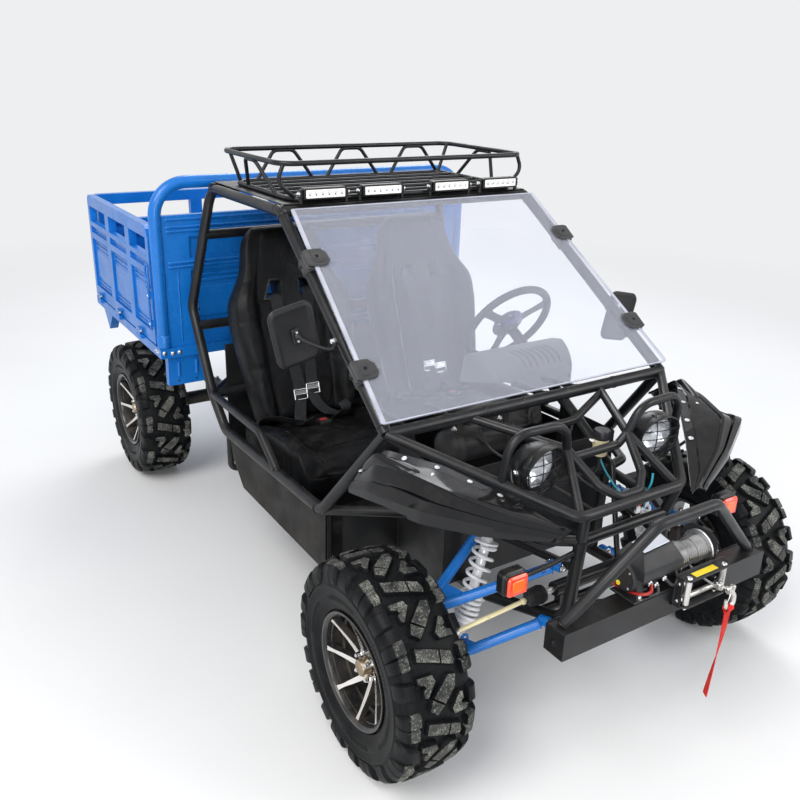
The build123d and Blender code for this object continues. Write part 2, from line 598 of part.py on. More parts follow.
# Sections of the winch along its axis: from y, to y, radius.
WINCH_RUNS = ((-150.0, 22.0, 44.0), (22.0, 28.0, 54.0), (28.0, 152.0, 30.0), (152.0, 158.0, 54.0),
              (158.0, 192.0, 44.0))
WINCH_FEET = (-120.0, 176.0)
COVER_Y = (-140.0, 14.0)
cover_low_z = WINCH[2] + 8
cover = [(WINCH[0] - 38, cover_low_z), (WINCH[0] - 32, 718.0), (WINCH[0] + 34, 700.0), (WINCH[0] + 66, 664.0),
         (WINCH[0] + 66, cover_low_z)]
winch_low = BEAM[1][2] + SEAT_GAP
with BuildPart() as winch:
    block((*WINCH_BASE[0], winch_low), (*WINCH_BASE[1], winch_low + WINCH_BASE[2]))
    for y_from, y_to, radius in WINCH_RUNS:
        rod((WINCH[0], y_from, WINCH[2]), (WINCH[0], y_to, WINCH[2]), radius)
    for y in WINCH_FEET:
        block((WINCH[0] - 32, y - 12, winch_low), (WINCH[0] + 32, y + 12, WINCH[2]))
    side_plate(cover, *COVER_Y)
save("winch", winch.part)

# Roller fairlead on the front of the beam.
FAIRLEAD_Y = 92.0
FAIR_HALF = 95.0
FAIR_Z = (515.0, 613.0)
FAIR_MOUTH = (60.0, 537.0, 595.0)
FAIR_SHELF = 44.0
ROLLER_OUT = 30.0
ROLLER_Y = 72.0
ROLLER_UPRIGHT = 9.0
ROLLER_FLAT = 8.0
fair_x = BEAM[1][0] + SEAT_GAP
shelf_z = (FAIR_Z[0] + 7, FAIR_Z[1] - 7)
shelf_y = (FAIRLEAD_Y - FAIR_HALF + 5, FAIRLEAD_Y + FAIR_HALF - 5)
with BuildPart() as fairlead:
    block((fair_x, FAIRLEAD_Y - FAIR_HALF, FAIR_Z[0]), (fair_x + 6, FAIRLEAD_Y + FAIR_HALF, FAIR_Z[1]))
    block((fair_x - 1, FAIRLEAD_Y - FAIR_MOUTH[0], FAIR_MOUTH[1]),
          (fair_x + 7, FAIRLEAD_Y + FAIR_MOUTH[0], FAIR_MOUTH[2]), mode=Mode.SUBTRACT)
    for z in shelf_z:
        block((fair_x, shelf_y[0], z - 3), (fair_x + FAIR_SHELF, shelf_y[1], z + 3))
    for y in (FAIRLEAD_Y - ROLLER_Y, FAIRLEAD_Y + ROLLER_Y):
        rod((fair_x + ROLLER_OUT, y, shelf_z[0]), (fair_x + ROLLER_OUT, y, shelf_z[1]), ROLLER_UPRIGHT)
    for z in (shelf_z[0] + 16, shelf_z[1] - 15):
        rod((fair_x + 16, shelf_y[0], z), (fair_x + 16, shelf_y[1], z), ROLLER_FLAT)
    for y in (shelf_y[0], shelf_y[1] - 4):
        block((fair_x, y, shelf_z[0] - 3), (fair_x + 24, y + 4, shelf_z[1] + 3))
save("fairlead", fairlead.part)

# Winch hook with the end of its rope, and the pull strap that hangs from it.
HOOK_X = BODY_FRONT_X - 7.0
HOOK_Y = 150.0
HOOK_WIRE = 7.0
HOOK_LOW_Z = 500.0
STRAP_LOW_Z = 205.0
STRAP_WIDE = 26.0
STRAP_HALF = 1.5
with BuildPart() as winch_hook:
    rope = [(1450.0, 100.0, 592.0), (1496.0, 105.0, 573.0), (1530.0, 114.0, 566.0), (HOOK_X, HOOK_Y, 556.0)]
    tube(rope, 4, 12)
    claw = [(HOOK_X, HOOK_Y, HOOK_LOW_Z + 60), (HOOK_X, HOOK_Y + 14, HOOK_LOW_Z + 32),
            (HOOK_X, HOOK_Y + 12, HOOK_LOW_Z), (HOOK_X, HOOK_Y - 14, HOOK_LOW_Z),
            (HOOK_X, HOOK_Y - 15, HOOK_LOW_Z + 24)]
    tube(claw, HOOK_WIRE, 9)
    add(winch.part, mode=Mode.SUBTRACT)
save("winch_hook", winch_hook.part)

with BuildPart() as pull_strap:
    strap_top = HOOK_LOW_Z - HOOK_WIRE - SEAT_GAP
    block((HOOK_X - STRAP_HALF, HOOK_Y - STRAP_WIDE / 2, STRAP_LOW_Z),
          (HOOK_X + STRAP_HALF, HOOK_Y + STRAP_WIDE / 2, strap_top))
save("pull_strap", pull_strap.part)

# Seats: one-piece buckets with a cushion, a winged back and two belt slots.
back_run = Vector(SEAT_BACK_TOP[0] - SEAT_BACK_LOW[0], 0, SEAT_BACK_TOP[1] - SEAT_BACK_LOW[1])
back_long = back_run.length
seat_half = SEAT_WIDTH / 2
cushion = [(CUSHION_FRONT_X, CUSHION_LOW_Z), (CUSHION_FRONT_X, 545.0), (CUSHION_FRONT_X - 30, 585.0),
           (200.0, 590.0), (-110.0, 545.0), (-185.0, 545.0), (-165.0, CUSHION_LOW_Z)]
thigh = [(CUSHION_FRONT_X - 25, 560.0), (CUSHION_FRONT_X - 60, 620.0), (60.0, 618.0), (-60.0, 580.0),
         (-60.0, 540.0)]
# Outline of the back, from its foot: height share and half width.
BACK_OUTLINE = ((0.0, 205.0), (0.25, 235.0), (0.5, seat_half), (0.66, seat_half - 5), (0.78, 170.0),
                (0.93, 150.0), (1.0, 105.0))
# Outline of one wing in front of the back: height share and half width.
WING_OUTLINE = ((0.02, 150.0), (0.02, 205.0), (0.25, 235.0), (0.5, seat_half), (0.66, seat_half - 8),
                (0.6, 190.0), (0.3, 165.0))
BELT_Y = 70.0
BELT_SHARE = 0.7
SLOT_SIZE = (64.0, 38.0)
SLOT_LEAN = 72.0
with BuildPart() as seats:
    for side in (1, -1):
        back_foot = (SEAT_BACK_LOW[0], side * SEAT_Y, SEAT_BACK_LOW[1])
        back_plane = Plane(origin=back_foot, x_dir=(0, 1, 0), z_dir=Vector(0, 1, 0).cross(back_run))
        side_plate(cushion, side * SEAT_Y - seat_half + 10, side * SEAT_Y + seat_half - 10)
        with BuildSketch(back_plane) as outline:
            with BuildLine():
                half_points = [(half, share * back_long) for share, half in BACK_OUTLINE]
                Polyline(*half_points, *[(-x, y) for x, y in half_points[::-1]], close=True)
            make_face()
        extrude(outline.sketch, amount=-SEAT_BACK_THICK)
        with BuildSketch(back_plane) as wings:
            for wing in (1, -1):
                with BuildLine():
                    Polyline(*[(wing * half, share * back_long) for share, half in WING_OUTLINE], close=True)
                make_face()
        extrude(wings.sketch, amount=BOLSTER)
        for wing in (1, -1):
            thigh_y = [side * SEAT_Y + wing * (seat_half - inset) for inset in (10, 75)]
            side_plate(thigh, *thigh_y)
        with BuildSketch(back_plane) as slots:
            with Locations((BELT_Y, BELT_SHARE * back_long), (-BELT_Y, BELT_SHARE * back_long)):
                Trapezoid(*SLOT_SIZE, SLOT_LEAN)
        extrude(slots.sketch, amount=-SEAT_BACK_THICK - 1, mode=Mode.SUBTRACT)
save("seats", seats.part)

# Harnesses: two shoulder straps down the back of each seat to a buckle.
slot_rise = BELT_SHARE * back_long
with BuildPart() as seat_harnesses:
    for side in (1, -1):
        back_foot = (SEAT_BACK_LOW[0], side * SEAT_Y, SEAT_BACK_LOW[1])
        back_plane = Plane(origin=back_foot, x_dir=(0, 1, 0), z_dir=Vector(0, 1, 0).cross(back_run))
        front_plane = back_plane.offset(SEAT_GAP)
        with BuildSketch(front_plane) as straps:
            for edge in (1, -1):
                with BuildLine():
                    Polyline((edge * (BELT_Y + 24), slot_rise), (edge * (BELT_Y - 24), slot_rise),
                             (edge * 4, 110), (edge * 4, 60), (edge * 44, 60), close=True)
                make_face()
            with Locations((0, 80)):
                Rectangle(60, 60)
        extrude(straps.sketch, amount=3)
save("seat_harnesses", seat_harnesses.part)

# Dashboard hood with its gauge slots and a channel for the column.
column_dir = Vector(cos(radians(STEER_RAKE)), 0, -sin(radians(STEER_RAKE)))
DASH = ((500.0, 850.0), (516.0, 950.0), (560.0, 965.0), (640.0, 958.0), (700.0, 925.0), (700.0, 850.0))
DASH_HOLLOW = ((540.0, 849.0), (552.0, 930.0), (690.0, 905.0), (690.0, 849.0))
DASH_Y = (-20.0, 400.0)
DASH_STAYS = (60.0, 190.0)
firewall_x = FOOT_FRONT_X - PANEL - SEAT_GAP


def on_column(distance):
    """A point on the axis of the column, at a distance below the middle of the wheel."""
    return tuple(Vector(*STEER_CENTRE) + column_dir * distance)


column_end = (firewall_x - COLUMN_RADIUS * sin(radians(STEER_RAKE)) - STEER_CENTRE[0]) / column_dir.X
with BuildPart() as dashboard:
    side_plate(DASH, *DASH_Y)
    side_plate(DASH_HOLLOW, DASH_Y[0] + 20, DASH_Y[1] - 20, mode=Mode.SUBTRACT)
    rod(on_column(60), on_column(column_end), COLUMN_RADIUS + 12, mode=Mode.SUBTRACT)
    for y in DASH_STAYS:
        tube([(695.0, y, 890.0), (COWL[0], y, COWL[2])], 10)
    for row in range(4):
        block((498.0, 40.0, 872.0 + 20 * row), (516.0 + 3 * row, 190.0, 880.0 + 20 * row), mode=Mode.SUBTRACT)
    add(roll_cage.part, mode=Mode.SUBTRACT)
save("dashboard", dashboard.part)

# Steering column, the shaft beyond the firewall and the rack housing.
COLUMN_START = 36.0
SHAFT_RADIUS = 11.0
SHAFT_END = 96.0
JOINT_SHAFT = 9.0
with BuildPart() as steering_column:
    rod(on_column(COLUMN_START), on_column(column_end), COLUMN_RADIUS)
    rod(on_column(COLUMN_START), on_column(SHAFT_END + 4), SHAFT_RADIUS + PIN_GAP, mode=Mode.SUBTRACT)
    tube([(912.0, 286.0, 677.0), (1000.0, 250.0, 680.0), (RACK_X - 4, 120.0, RACK_Z + 12)], JOINT_SHAFT, 30)
    rod((RACK_X, -CASE_HALF, RACK_Z), (RACK_X, CASE_HALF, RACK_Z), RACK_CASE)
    rod((RACK_X, -CASE_HALF, RACK_Z), (RACK_X, CASE_HALF, RACK_Z), RACK_BAR + PIN_GAP, mode=Mode.SUBTRACT)
save("steering_column", steering_column.part)

# Steering wheel: a faceted ring on three spokes, with its hub and shaft.
RING_HALF = 14.0
ring_flat = RING_HALF * tan(radians(22.5))
wheel_plane = Plane(origin=STEER_CENTRE, x_dir=(0, 1, 0), z_dir=column_dir * -1)
ring_levels = ((-RING_HALF, ring_flat), (-ring_flat, RING_HALF), (ring_flat, RING_HALF),
               (RING_HALF, ring_flat))
with BuildPart() as steering_wheel:
    facet_stack([(level, STEER_RADIUS + wide) for level, wide in ring_levels], STEER_SIDES, wheel_plane)
    facet_stack([(level, STEER_RADIUS - wide) for level, wide in ring_levels], STEER_SIDES, wheel_plane,
                mode=Mode.SUBTRACT)
    with BuildSketch(wheel_plane.offset(-4)) as spokes:
        for turn in (90, 210, 330):
            with PolarLocations(STEER_RADIUS / 2, 1, start_angle=turn):
                Rectangle(STEER_RADIUS, 34)
    extrude(spokes.sketch, amount=6)
    rod(on_column(-22), on_column(COLUMN_START - RUN_GAP), 30)
    rod(on_column(0), on_column(SHAFT_END), SHAFT_RADIUS)
save("steering_wheel", steering_wheel.part)

# Rack bar with its bellows and the two tie rods.
PAD_TOP_Z = 377.0
TIE_END = (FRONT_AXLE_X + ARM_LENGTH, KINGPIN_Y, PAD_TOP_Z + RUN_GAP + 12)
BELLOWS = (20.0, 27.0)
BELLOWS_FOLDS = 5
BELLOWS_SIDES = 16
BELLOWS_FROM = CASE_HALF + 48.0
BELLOWS_STEP = 11.0
with BuildPart() as steering_rack:
    rod((RACK_X, -RACK_HALF, RACK_Z), (RACK_X, RACK_HALF, RACK_Z), RACK_BAR)
    for side in (1, -1):
        bellows_plane = Plane(origin=(RACK_X, side * BELLOWS_FROM, RACK_Z), x_dir=(1, 0, 0),
                              z_dir=(0, side, 0))
        bellows = [(fold * BELLOWS_STEP / 2, BELLOWS[fold % 2]) for fold in range(2 * BELLOWS_FOLDS + 1)]
        facet_stack(bellows, BELLOWS_SIDES, bellows_plane)
        tube(both_sides([(RACK_X, RACK_HALF, RACK_Z), TIE_END], side), 8)
        x, y, z = mirrored(TIE_END, side)
        rod((x, y, z - 12), (x, y, z + 12), 13)
save("steering_rack", steering_rack.part)

# Front suspension: two arms a side, each from two bushes on the frame to an eye.
lower_rail = [BOX_FRONT, box_low]
ARM_ROWS = ((lower_rail, MAIN_TUBE + SEAT_GAP + BUSH_LOWER, BUSH_LOWER, LOWER_BALL_Z),
            (pivot_rail, SMALL_TUBE + SEAT_GAP + BUSH_UPPER, BUSH_UPPER, UPPER_BALL_Z))
EYE_HALF = 12.0
SHOCK_EYE = 14.0
SHOCK_CROSS = 0.45
with BuildPart() as front_arms:
    for side in (1, -1):
        for rail, offset_by, bush, ball_z in ARM_ROWS:
            eye = (FRONT_AXLE_X, side * KINGPIN_Y, ball_z)
            run = (Vector(*rail[1]) - Vector(*rail[0])).normalized()
            out = Vector(0, 0, 1).cross(run) * -1
            feet = []
            for share in PIVOT_SHARES:
                foot = Vector(*between(*rail, share)) + out * offset_by
                feet.append(tuple(foot))
                half_bush = run * (BUSH_LONG / 2)
                rod(mirrored(tuple(foot - half_bush), side), mirrored(tuple(foot + half_bush), side), bush)
                tube([eye] + both_sides([tuple(foot)], side), ARM_TUBE)
            if rail is lower_rail:
                left_eye = (FRONT_AXLE_X, KINGPIN_Y, ball_z)
                cross_ends = [between(left_eye, foot, SHOCK_CROSS) for foot in feet]
                tube(both_sides(cross_ends, side), ARM_TUBE)
            rod((eye[0], eye[1], ball_z - EYE_HALF), (eye[0], eye[1], ball_z + EYE_HALF), BALL_EYE)
            rod((eye[0], eye[1], ball_z - 40), (eye[0], eye[1], ball_z + 40), BALL_PIN + PIN_GAP,
                mode=Mode.SUBTRACT)
    add(lower_frame.part, mode=Mode.SUBTRACT)
save("front_arms", front_arms.part)

# Coil-over dampers between the lower arms and the towers on the frame.
cross_share = (cross_ends[0][0] - SHOCK_X) / (cross_ends[0][0] - cross_ends[1][0])
cross_mid = between(*cross_ends, cross_share)
shock_low = (SHOCK_X, cross_mid[1], cross_mid[2] + ARM_TUBE + SEAT_GAP + SHOCK_EYE)
shock_high = (TOWER_X, SHOCK_HIGH_Y, BOX_TOP[2] - 10 - SEAT_GAP - SHOCK_EYE)
shock_long = (Vector(*shock_high) - Vector(*shock_low)).length
SPRING_LOW = 52.0
SPRING_HIGH = 34.0
SEAT_DISC = 6.0
with BuildPart() as front_dampers:
    for side in (1, -1):
        low, high = both_sides([shock_low, shock_high], side)
        for x, y, z in (low, high):
            rod((x - 15, y, z), (x + 15, y, z), SHOCK_EYE)
        rod(low, between(low, high, 0.55), 18)
        rod(between(low, high, 0.5), high, 8)
        for start in (SPRING_LOW - SEAT_DISC, shock_long - SPRING_HIGH):
            rod(between(low, high, start / shock_long), between(low, high, (start + SEAT_DISC) / shock_long),
                COIL_RADIUS + COIL_WIRE)
    add(front_arms.part, mode=Mode.SUBTRACT)
save("front_dampers", front_dampers.part)

COIL_STEPS = 8
coil_foot = SPRING_LOW + SEAT_GAP + COIL_WIRE
coil_rise = shock_long - SPRING_HIGH - SEAT_GAP - COIL_WIRE - coil_foot
with BuildPart() as front_springs:
    for side in (1, -1):
        low, high = both_sides([shock_low, shock_high], side)
        coil_plane = Plane(origin=low, z_dir=Vector(*high) - Vector(*low))
        points = []
        for step in range(COIL_TURNS * COIL_STEPS + 1):
            turn = 2 * pi * step / COIL_STEPS
            height = coil_foot + coil_rise * step / (COIL_TURNS * COIL_STEPS)
            points.append(coil_plane.from_local_coords(
                (COIL_RADIUS * cos(turn), COIL_RADIUS * sin(turn), height)))
        with BuildLine() as coil:
            Polyline(*points)
        with BuildSketch(Plane(origin=coil.line @ 0, z_dir=coil.line % 0, x_dir=coil_plane.z_dir)) as wire:
            RegularPolygon(COIL_WIRE, 4)
        sweep(wire.sketch, path=coil.line, transition=Transition.RIGHT)
save("front_springs", front_springs.part)

# Steering knuckles with their pins, spindle and forward arm.
FRONT_HALF = FRONT_TRACK / 2
REAR_HALF = REAR_TRACK / 2
KNUCKLE_LOW_Z = 262.0
KNUCKLE_TOP_Z = 398.0
KNUCKLE_HALF = 22.0
KNUCKLE_BOSS = 44.0
SPINDLE_REACH = 60.0
for name, side in (("knuckle_left", 1), ("knuckle_right", -1)):
    x = FRONT_AXLE_X
    y = side * KINGPIN_Y
    with BuildPart() as knuckle:
        block((x - KNUCKLE_HALF, side * (KINGPIN_Y - 20), KNUCKLE_LOW_Z),
              (x + KNUCKLE_HALF, side * (KINGPIN_Y + 22), KNUCKLE_TOP_Z))
        rod((x, y, LOWER_BALL_Z - EYE_HALF), (x, y, UPPER_BALL_Z + EYE_HALF), BALL_PIN)
        rod((x, y, TYRE_RADIUS), (x, side * (FRONT_HALF + SPINDLE_REACH), TYRE_RADIUS), STUB_RADIUS)
        rod((x, y, TYRE_RADIUS), (x, side * (KINGPIN_Y + 34), TYRE_RADIUS), KNUCKLE_BOSS)
        block((x, side * (KINGPIN_Y - 11), PAD_TOP_Z - 12),
              (x + ARM_LENGTH, side * (KINGPIN_Y + 11), PAD_TOP_Z))
        rod((x + ARM_LENGTH, y, PAD_TOP_Z - 12), (x + ARM_LENGTH, y, PAD_TOP_Z), 14)
    save(name, knuckle.part)

# Rear axle on two leaf springs, with the differential and the torque tube.
AXLE_END = 585.0
DIFF_RADIUS = 105.0
DIFF_HALF = 60.0
DIFF_NECK = 50.0
TORQUE_Z = 375.0
TORQUE_TUBE = 28.0
with BuildPart() as rear_axle:
    rod((REAR_AXLE_X, -AXLE_END, TYRE_RADIUS), (REAR_AXLE_X, AXLE_END, TYRE_RADIUS), AXLE_TUBE)
    stub = REAR_HALF + SPINDLE_REACH
    rod((REAR_AXLE_X, -stub, TYRE_RADIUS), (REAR_AXLE_X, stub, TYRE_RADIUS), STUB_RADIUS)
    diff_plane = Plane(origin=(REAR_AXLE_X, 0, TYRE_RADIUS), x_dir=(1, 0, 0), z_dir=(0, 1, 0))
    diff_levels = [(-DIFF_HALF - 40, DIFF_NECK), (-DIFF_HALF, DIFF_RADIUS), (DIFF_HALF, DIFF_RADIUS),
                   (DIFF_HALF + 40, DIFF_NECK)]
    facet_stack(diff_levels, 16, diff_plane)
    rod((REAR_AXLE_X, 0, TORQUE_Z), (ENGINE_REAR_X - SEAT_GAP, 0, TORQUE_Z), TORQUE_TUBE)
save("rear_axle", rear_axle.part)

leaf_low = TYRE_RADIUS + AXLE_TUBE + SEAT_GAP
leaf_eye_z = LEAF_END_Z - SEAT_GAP - LEAF_THICK
with BuildPart() as rear_springs:
    front_x, rear_x = LEAF_ENDS
    under = [(front_x, leaf_eye_z - 10), (front_x - 130, LEAF_BOW_Z), (REAR_AXLE_X + 50, leaf_low),
             (REAR_AXLE_X - 50, leaf_low), (rear_x + 130, LEAF_BOW_Z), (rear_x, leaf_eye_z - 10)]
    over = [(rear_x, leaf_eye_z + 4), (rear_x + 130, LEAF_BOW_Z + 16), (REAR_AXLE_X - 50, leaf_low + 30),
            (REAR_AXLE_X + 50, leaf_low + 30), (front_x - 130, LEAF_BOW_Z + 16), (front_x, leaf_eye_z + 4)]
    for side in (1, -1):
        side_plate(under + over, side * (SUBFRAME_Y - LEAF_HALF), side * (SUBFRAME_Y + LEAF_HALF))
        for x in LEAF_ENDS:
            rod((x, side * (SUBFRAME_Y - LEAF_HALF), leaf_eye_z),
                (x, side * (SUBFRAME_Y + LEAF_HALF), leaf_eye_z), LEAF_THICK)
save("rear_springs", rear_springs.part)

# The engine with its gearbox, as one plain block on the cradle.
with BuildPart() as engine:
    block((ENGINE_REAR_X, -ENGINE_HALF, FLOOR_TUBE_Z + SMALL_TUBE + SEAT_GAP),
          (ENGINE_FRONT_X, ENGINE_HALF, ENGINE_TOP_Z))
save("engine", engine.part)

# Small parts: pedals, brake reservoir, horn, the drum under the cowl bar and the mirrors.
PEDAL_TOP_Z = 600.0
# Each pedal: y, height of its pad, half width of its pad.
PEDALS = ((200.0, 475.0, 40.0), (290.0, 465.0, 24.0))
PEDAL_X = 858.0
with BuildPart() as pedals:
    for y, pad_z, pad_half in PEDALS:
        tube([(firewall_x - 7, y, PEDAL_TOP_Z), (PEDAL_X, y, pad_z)], 7)
        block((PEDAL_X - 6, y - pad_half, pad_z - 35), (PEDAL_X + 2, y + pad_half, pad_z + 35))
        block((firewall_x - 14, y - 14, PEDAL_TOP_Z - 14), (firewall_x, y + 14, PEDAL_TOP_Z + 14))
save("pedals", pedals.part)

RESERVOIR_RADIUS = 24.0
RESERVOIR_Z = (800.0, 868.0, 884.0)
RESERVOIR = (mid_u[1][0] - SMALL_TUBE - SEAT_GAP - RESERVOIR_RADIUS, 60.0)
with BuildPart() as brake_reservoir:
    rod((*RESERVOIR, RESERVOIR_Z[0]), (*RESERVOIR, RESERVOIR_Z[1]), RESERVOIR_RADIUS)
    rod((*RESERVOIR, RESERVOIR_Z[1]), (*RESERVOIR, RESERVOIR_Z[2]), RESERVOIR_RADIUS - 4)
save("brake_reservoir", brake_reservoir.part)

HORN = (1262.0, 60.0, 722.0)
HORN_RADIUS = 30.0
with BuildPart() as horn:
    rod(HORN, (HORN[0] + 28, HORN[1], HORN[2]), HORN_RADIUS)
    block((HORN[0] + 10, HORN[1] - 40, HORN[2] - 10), (HORN[0] + 22, HORN[1], HORN[2] + 10))
    block((HORN[0] + 10, HORN[1] - 40, HORN[2] - 10), (HORN[0] + 42, HORN[1] - 30, low_u[2][2] - 2))
    add(nose_frame.part, mode=Mode.SUBTRACT)
save("horn", horn.part)

DRUM = (845.0, 800.0)
DRUM_RADIUS = 54.0
DRUM_Y = (-335.0, -70.0)
DRUM_LIP = 3.0
DRUM_SADDLES = (-290.0, -115.0)
SADDLE_HALF = 9.0
saddle = [(DRUM[0] - SADDLE_HALF, DRUM[1]), (DRUM[0] + SADDLE_HALF, DRUM[1]),
          (COWL[0] + SADDLE_HALF, COWL[2] - MAIN_TUBE + 8), (COWL[0] - SADDLE_HALF, COWL[2] - MAIN_TUBE + 8)]
with BuildPart() as cowl_drum:
    rod((DRUM[0], DRUM_Y[0], DRUM[1]), (DRUM[0], DRUM_Y[1], DRUM[1]), DRUM_RADIUS)
    for y in (DRUM_Y[0] + 8, DRUM_Y[1] - 24):
        rod((DRUM[0], y, DRUM[1]), (DRUM[0], y + 16, DRUM[1]), DRUM_RADIUS + DRUM_LIP)
    for y in DRUM_SADDLES:
        side_plate(saddle, y - 12, y + 12)
    add(roll_cage.part, mode=Mode.SUBTRACT)
save("cowl_drum", cowl_drum.part)

# Each mirror: side, middle of its shell, place of its arm along the front leg of the cage.
MIRRORS = ((1, (575.0, 655.0, 1020.0), 640.0), (-1, (575.0, -690.0, 1140.0), 600.0))
MIRROR_SIZE = (150.0, 190.0, 16.0)
with BuildPart() as mirrors:
    for side, middle, arm_x in MIRRORS:
        pillar = between(COWL, ROOF_FRONT, (COWL[0] - arm_x) / (COWL[0] - ROOF_FRONT[0]))
        with BuildSketch(Plane(origin=middle, x_dir=(0, 1, 0), z_dir=(1, 0, 0))) as plate:
            RectangleRounded(MIRROR_SIZE[0], MIRROR_SIZE[1], 24)
        extrude(plate.sketch, amount=MIRROR_SIZE[2])
        tube([mirrored(pillar, side), (middle[0] + 12, middle[1] - side * 60, middle[2])], 8)
    add(roll_cage.part, mode=Mode.SUBTRACT)
save("mirrors", mirrors.part)

# Wheels. The left tyre and rim are built once about the middle of the wheel.
# Tyre profile: distance from the middle, radius of the carcass.
TYRE_PROFILE = ((-94.0, 176.0), (-111.0, 212.0), (-TYRE_HALF, 244.0), (-104.0, 284.0), (-72.0, 296.0),
                (72.0, 296.0), (104.0, 284.0), (TYRE_HALF, 244.0), (111.0, 212.0), (94.0, 176.0))
axle_plane = Plane(origin=(0, 0, 0), x_dir=(1, 0, 0), z_dir=(0, 1, 0))
with BuildPart() as lugs:
    for side in (1, -1):
        for pitch in range(LUG_PITCHES):
            turn = (pitch + (0.5 if side == 1 else 0.0)) * 360.0 / LUG_PITCHES
            spoke_plane = Plane(origin=(0, 0, 0), x_dir=(0, side, 0),
                                z_dir=(sin(radians(turn)), 0, -cos(radians(turn))))
            with BuildSketch(spoke_plane.offset(TYRE_RADIUS - LUG_HEIGHT - 12)) as bar:
                with Locations(Location((8 + LUG_LONG / 2, 0), LUG_SKEW)):
                    Rectangle(LUG_LONG, LUG_WIDE)
            extrude(bar.sketch, amount=LUG_HEIGHT + 12)
            with BuildSketch(spoke_plane.offset(TYRE_RADIUS - 58)) as shoulder:
                with Locations((TYRE_HALF - 21, 36)):
                    Rectangle(40, 44)
            extrude(shoulder.sketch, amount=50)
with BuildPart() as tyre_left:
    facet_stack(TYRE_PROFILE, WHEEL_SIDES, axle_plane)
    add(lugs.part)
    facet_stack([(-TYRE_HALF, RIM_RADIUS + SEAT_GAP), (TYRE_HALF, RIM_RADIUS + SEAT_GAP)], WHEEL_SIDES,
                axle_plane, mode=Mode.SUBTRACT)

RIM_HALF = 101.0
RIM_BEAD = 6.0
SPOKE_PLACE = (48.0, 66.0)
HUB_PLACE = (-70.0, 74.0)
DISC_PLACE = (-62.0, -56.0)
DISC_RADIUS = 100.0
# Outline of one spoke: radius and angle of each corner.
SPOKE_OUTLINE = ((34.0, -20.0), (90.0, -4.0), (RIM_RADIUS - 4, 16.0), (RIM_RADIUS - 4, 28.0), (92.0, 12.0),
                 (34.0, 14.0))
with BuildPart() as rim_left:
    facet_stack([(-RIM_HALF, RIM_RADIUS), (RIM_HALF, RIM_RADIUS)], WHEEL_SIDES, axle_plane)
    for edge in (-RIM_HALF, RIM_HALF - RIM_BEAD):
        facet_stack([(edge, RIM_LIP), (edge + RIM_BEAD, RIM_LIP)], WHEEL_SIDES, axle_plane)
    facet_stack([(-RIM_HALF, RIM_RADIUS - RIM_WALL), (RIM_HALF, RIM_RADIUS - RIM_WALL)], WHEEL_SIDES,
                axle_plane, mode=Mode.SUBTRACT)
    facet_stack([(HUB_PLACE[0], HUB_RADIUS), (HUB_PLACE[1], HUB_RADIUS - 4)], 16, axle_plane)
    facet_stack([(DISC_PLACE[0], DISC_RADIUS), (DISC_PLACE[1], DISC_RADIUS)], WHEEL_SIDES, axle_plane)
    with BuildSketch(axle_plane.offset(SPOKE_PLACE[0])) as spokes:
        for spoke in range(SPOKES):
            turn = 360.0 * spoke / SPOKES
            corners = [(r * cos(radians(a + turn)), r * sin(radians(a + turn))) for r, a in SPOKE_OUTLINE]
            with BuildLine():
                Polyline(*corners, close=True)
            make_face()
    extrude(spokes.sketch, amount=SPOKE_PLACE[1] - SPOKE_PLACE[0])
    rod((0, HUB_PLACE[0], 0), (0, SPINDLE_REACH + 2, 0), STUB_RADIUS + PIN_GAP, mode=Mode.SUBTRACT)

# Each wheel: name, x, y of its middle.
WHEELS = (("front_left", FRONT_AXLE_X, FRONT_HALF), ("front_right", FRONT_AXLE_X, -FRONT_HALF),
          ("rear_left", REAR_AXLE_X, REAR_HALF), ("rear_right", REAR_AXLE_X, -REAR_HALF))
for name, x, y in WHEELS:
    for kind, form in (("tyre", tyre_left), ("rim", rim_left)):
        with BuildPart() as wheel_piece:
            with Locations((x, y, TYRE_RADIUS)):
                add(form.part if y > 0 else mirror(form.part, about=Plane.XZ, mode=Mode.PRIVATE))
        save(f"{kind}_{name}", wheel_piece.part)

# Cargo bed: floor, sills, cross members, two runners that rest on the frame and tip about
# the pins at the rear, hinge ears for the gates and the brackets below.
HINGE_OUT = 8.0
HINGE_Z = BED_FLOOR_TOP - 1.0
HINGE_EAR = 10.0
BED_REAR_X = BODY_REAR_X + HINGE_RADIUS + HINGE_OUT
FLOOR_SHEET = 4.0
FRONT_SILL = 50.0
SIDE_HINGES = (-1444.0, -1121.0, -799.0)
TAIL_HINGES = (-480.0, 0.0, 480.0)
side_axis_y = BED_HALF + HINGE_OUT
tail_axis_x = BED_REAR_X - HINGE_OUT
floor_edge = BED_HALF - BED_SILL
# Each gate hinge: middle, direction of its axis, direction towards the bed.
hinges = []
for side in (1, -1):
    hinges += [((x, side * side_axis_y, HINGE_Z), (1, 0, 0), (0, -side, 0)) for x in SIDE_HINGES]
hinges += [((tail_axis_x, y, HINGE_Z), (0, 1, 0), (1, 0, 0)) for y in TAIL_HINGES]
runner_z = SUBFRAME_Z + MAIN_TUBE + SEAT_GAP
under_floor = BED_FLOOR_LOW + 1
runner = [(TIP_X, TIP_Z - 32), (TIP_X + 40, runner_z), (-650.0, runner_z), (-625.0, under_floor),
          (TIP_X - 32, under_floor), (TIP_X - 32, TIP_Z)]
front_plate = [(BED_FRONT_X - FRONT_SILL, under_floor), (BED_FRONT_X - FRONT_SILL - 4, 604.0),
               (BED_FRONT_X - 20, 604.0), (BED_FRONT_X - 10, under_floor)]
rear_gusset = [(-1320.0, under_floor), (-1405.0, 634.0), (-1490.0, under_floor)]
FLOOR_BEAMS = (-790.0, -1000.0, -1210.0, -1380.0)
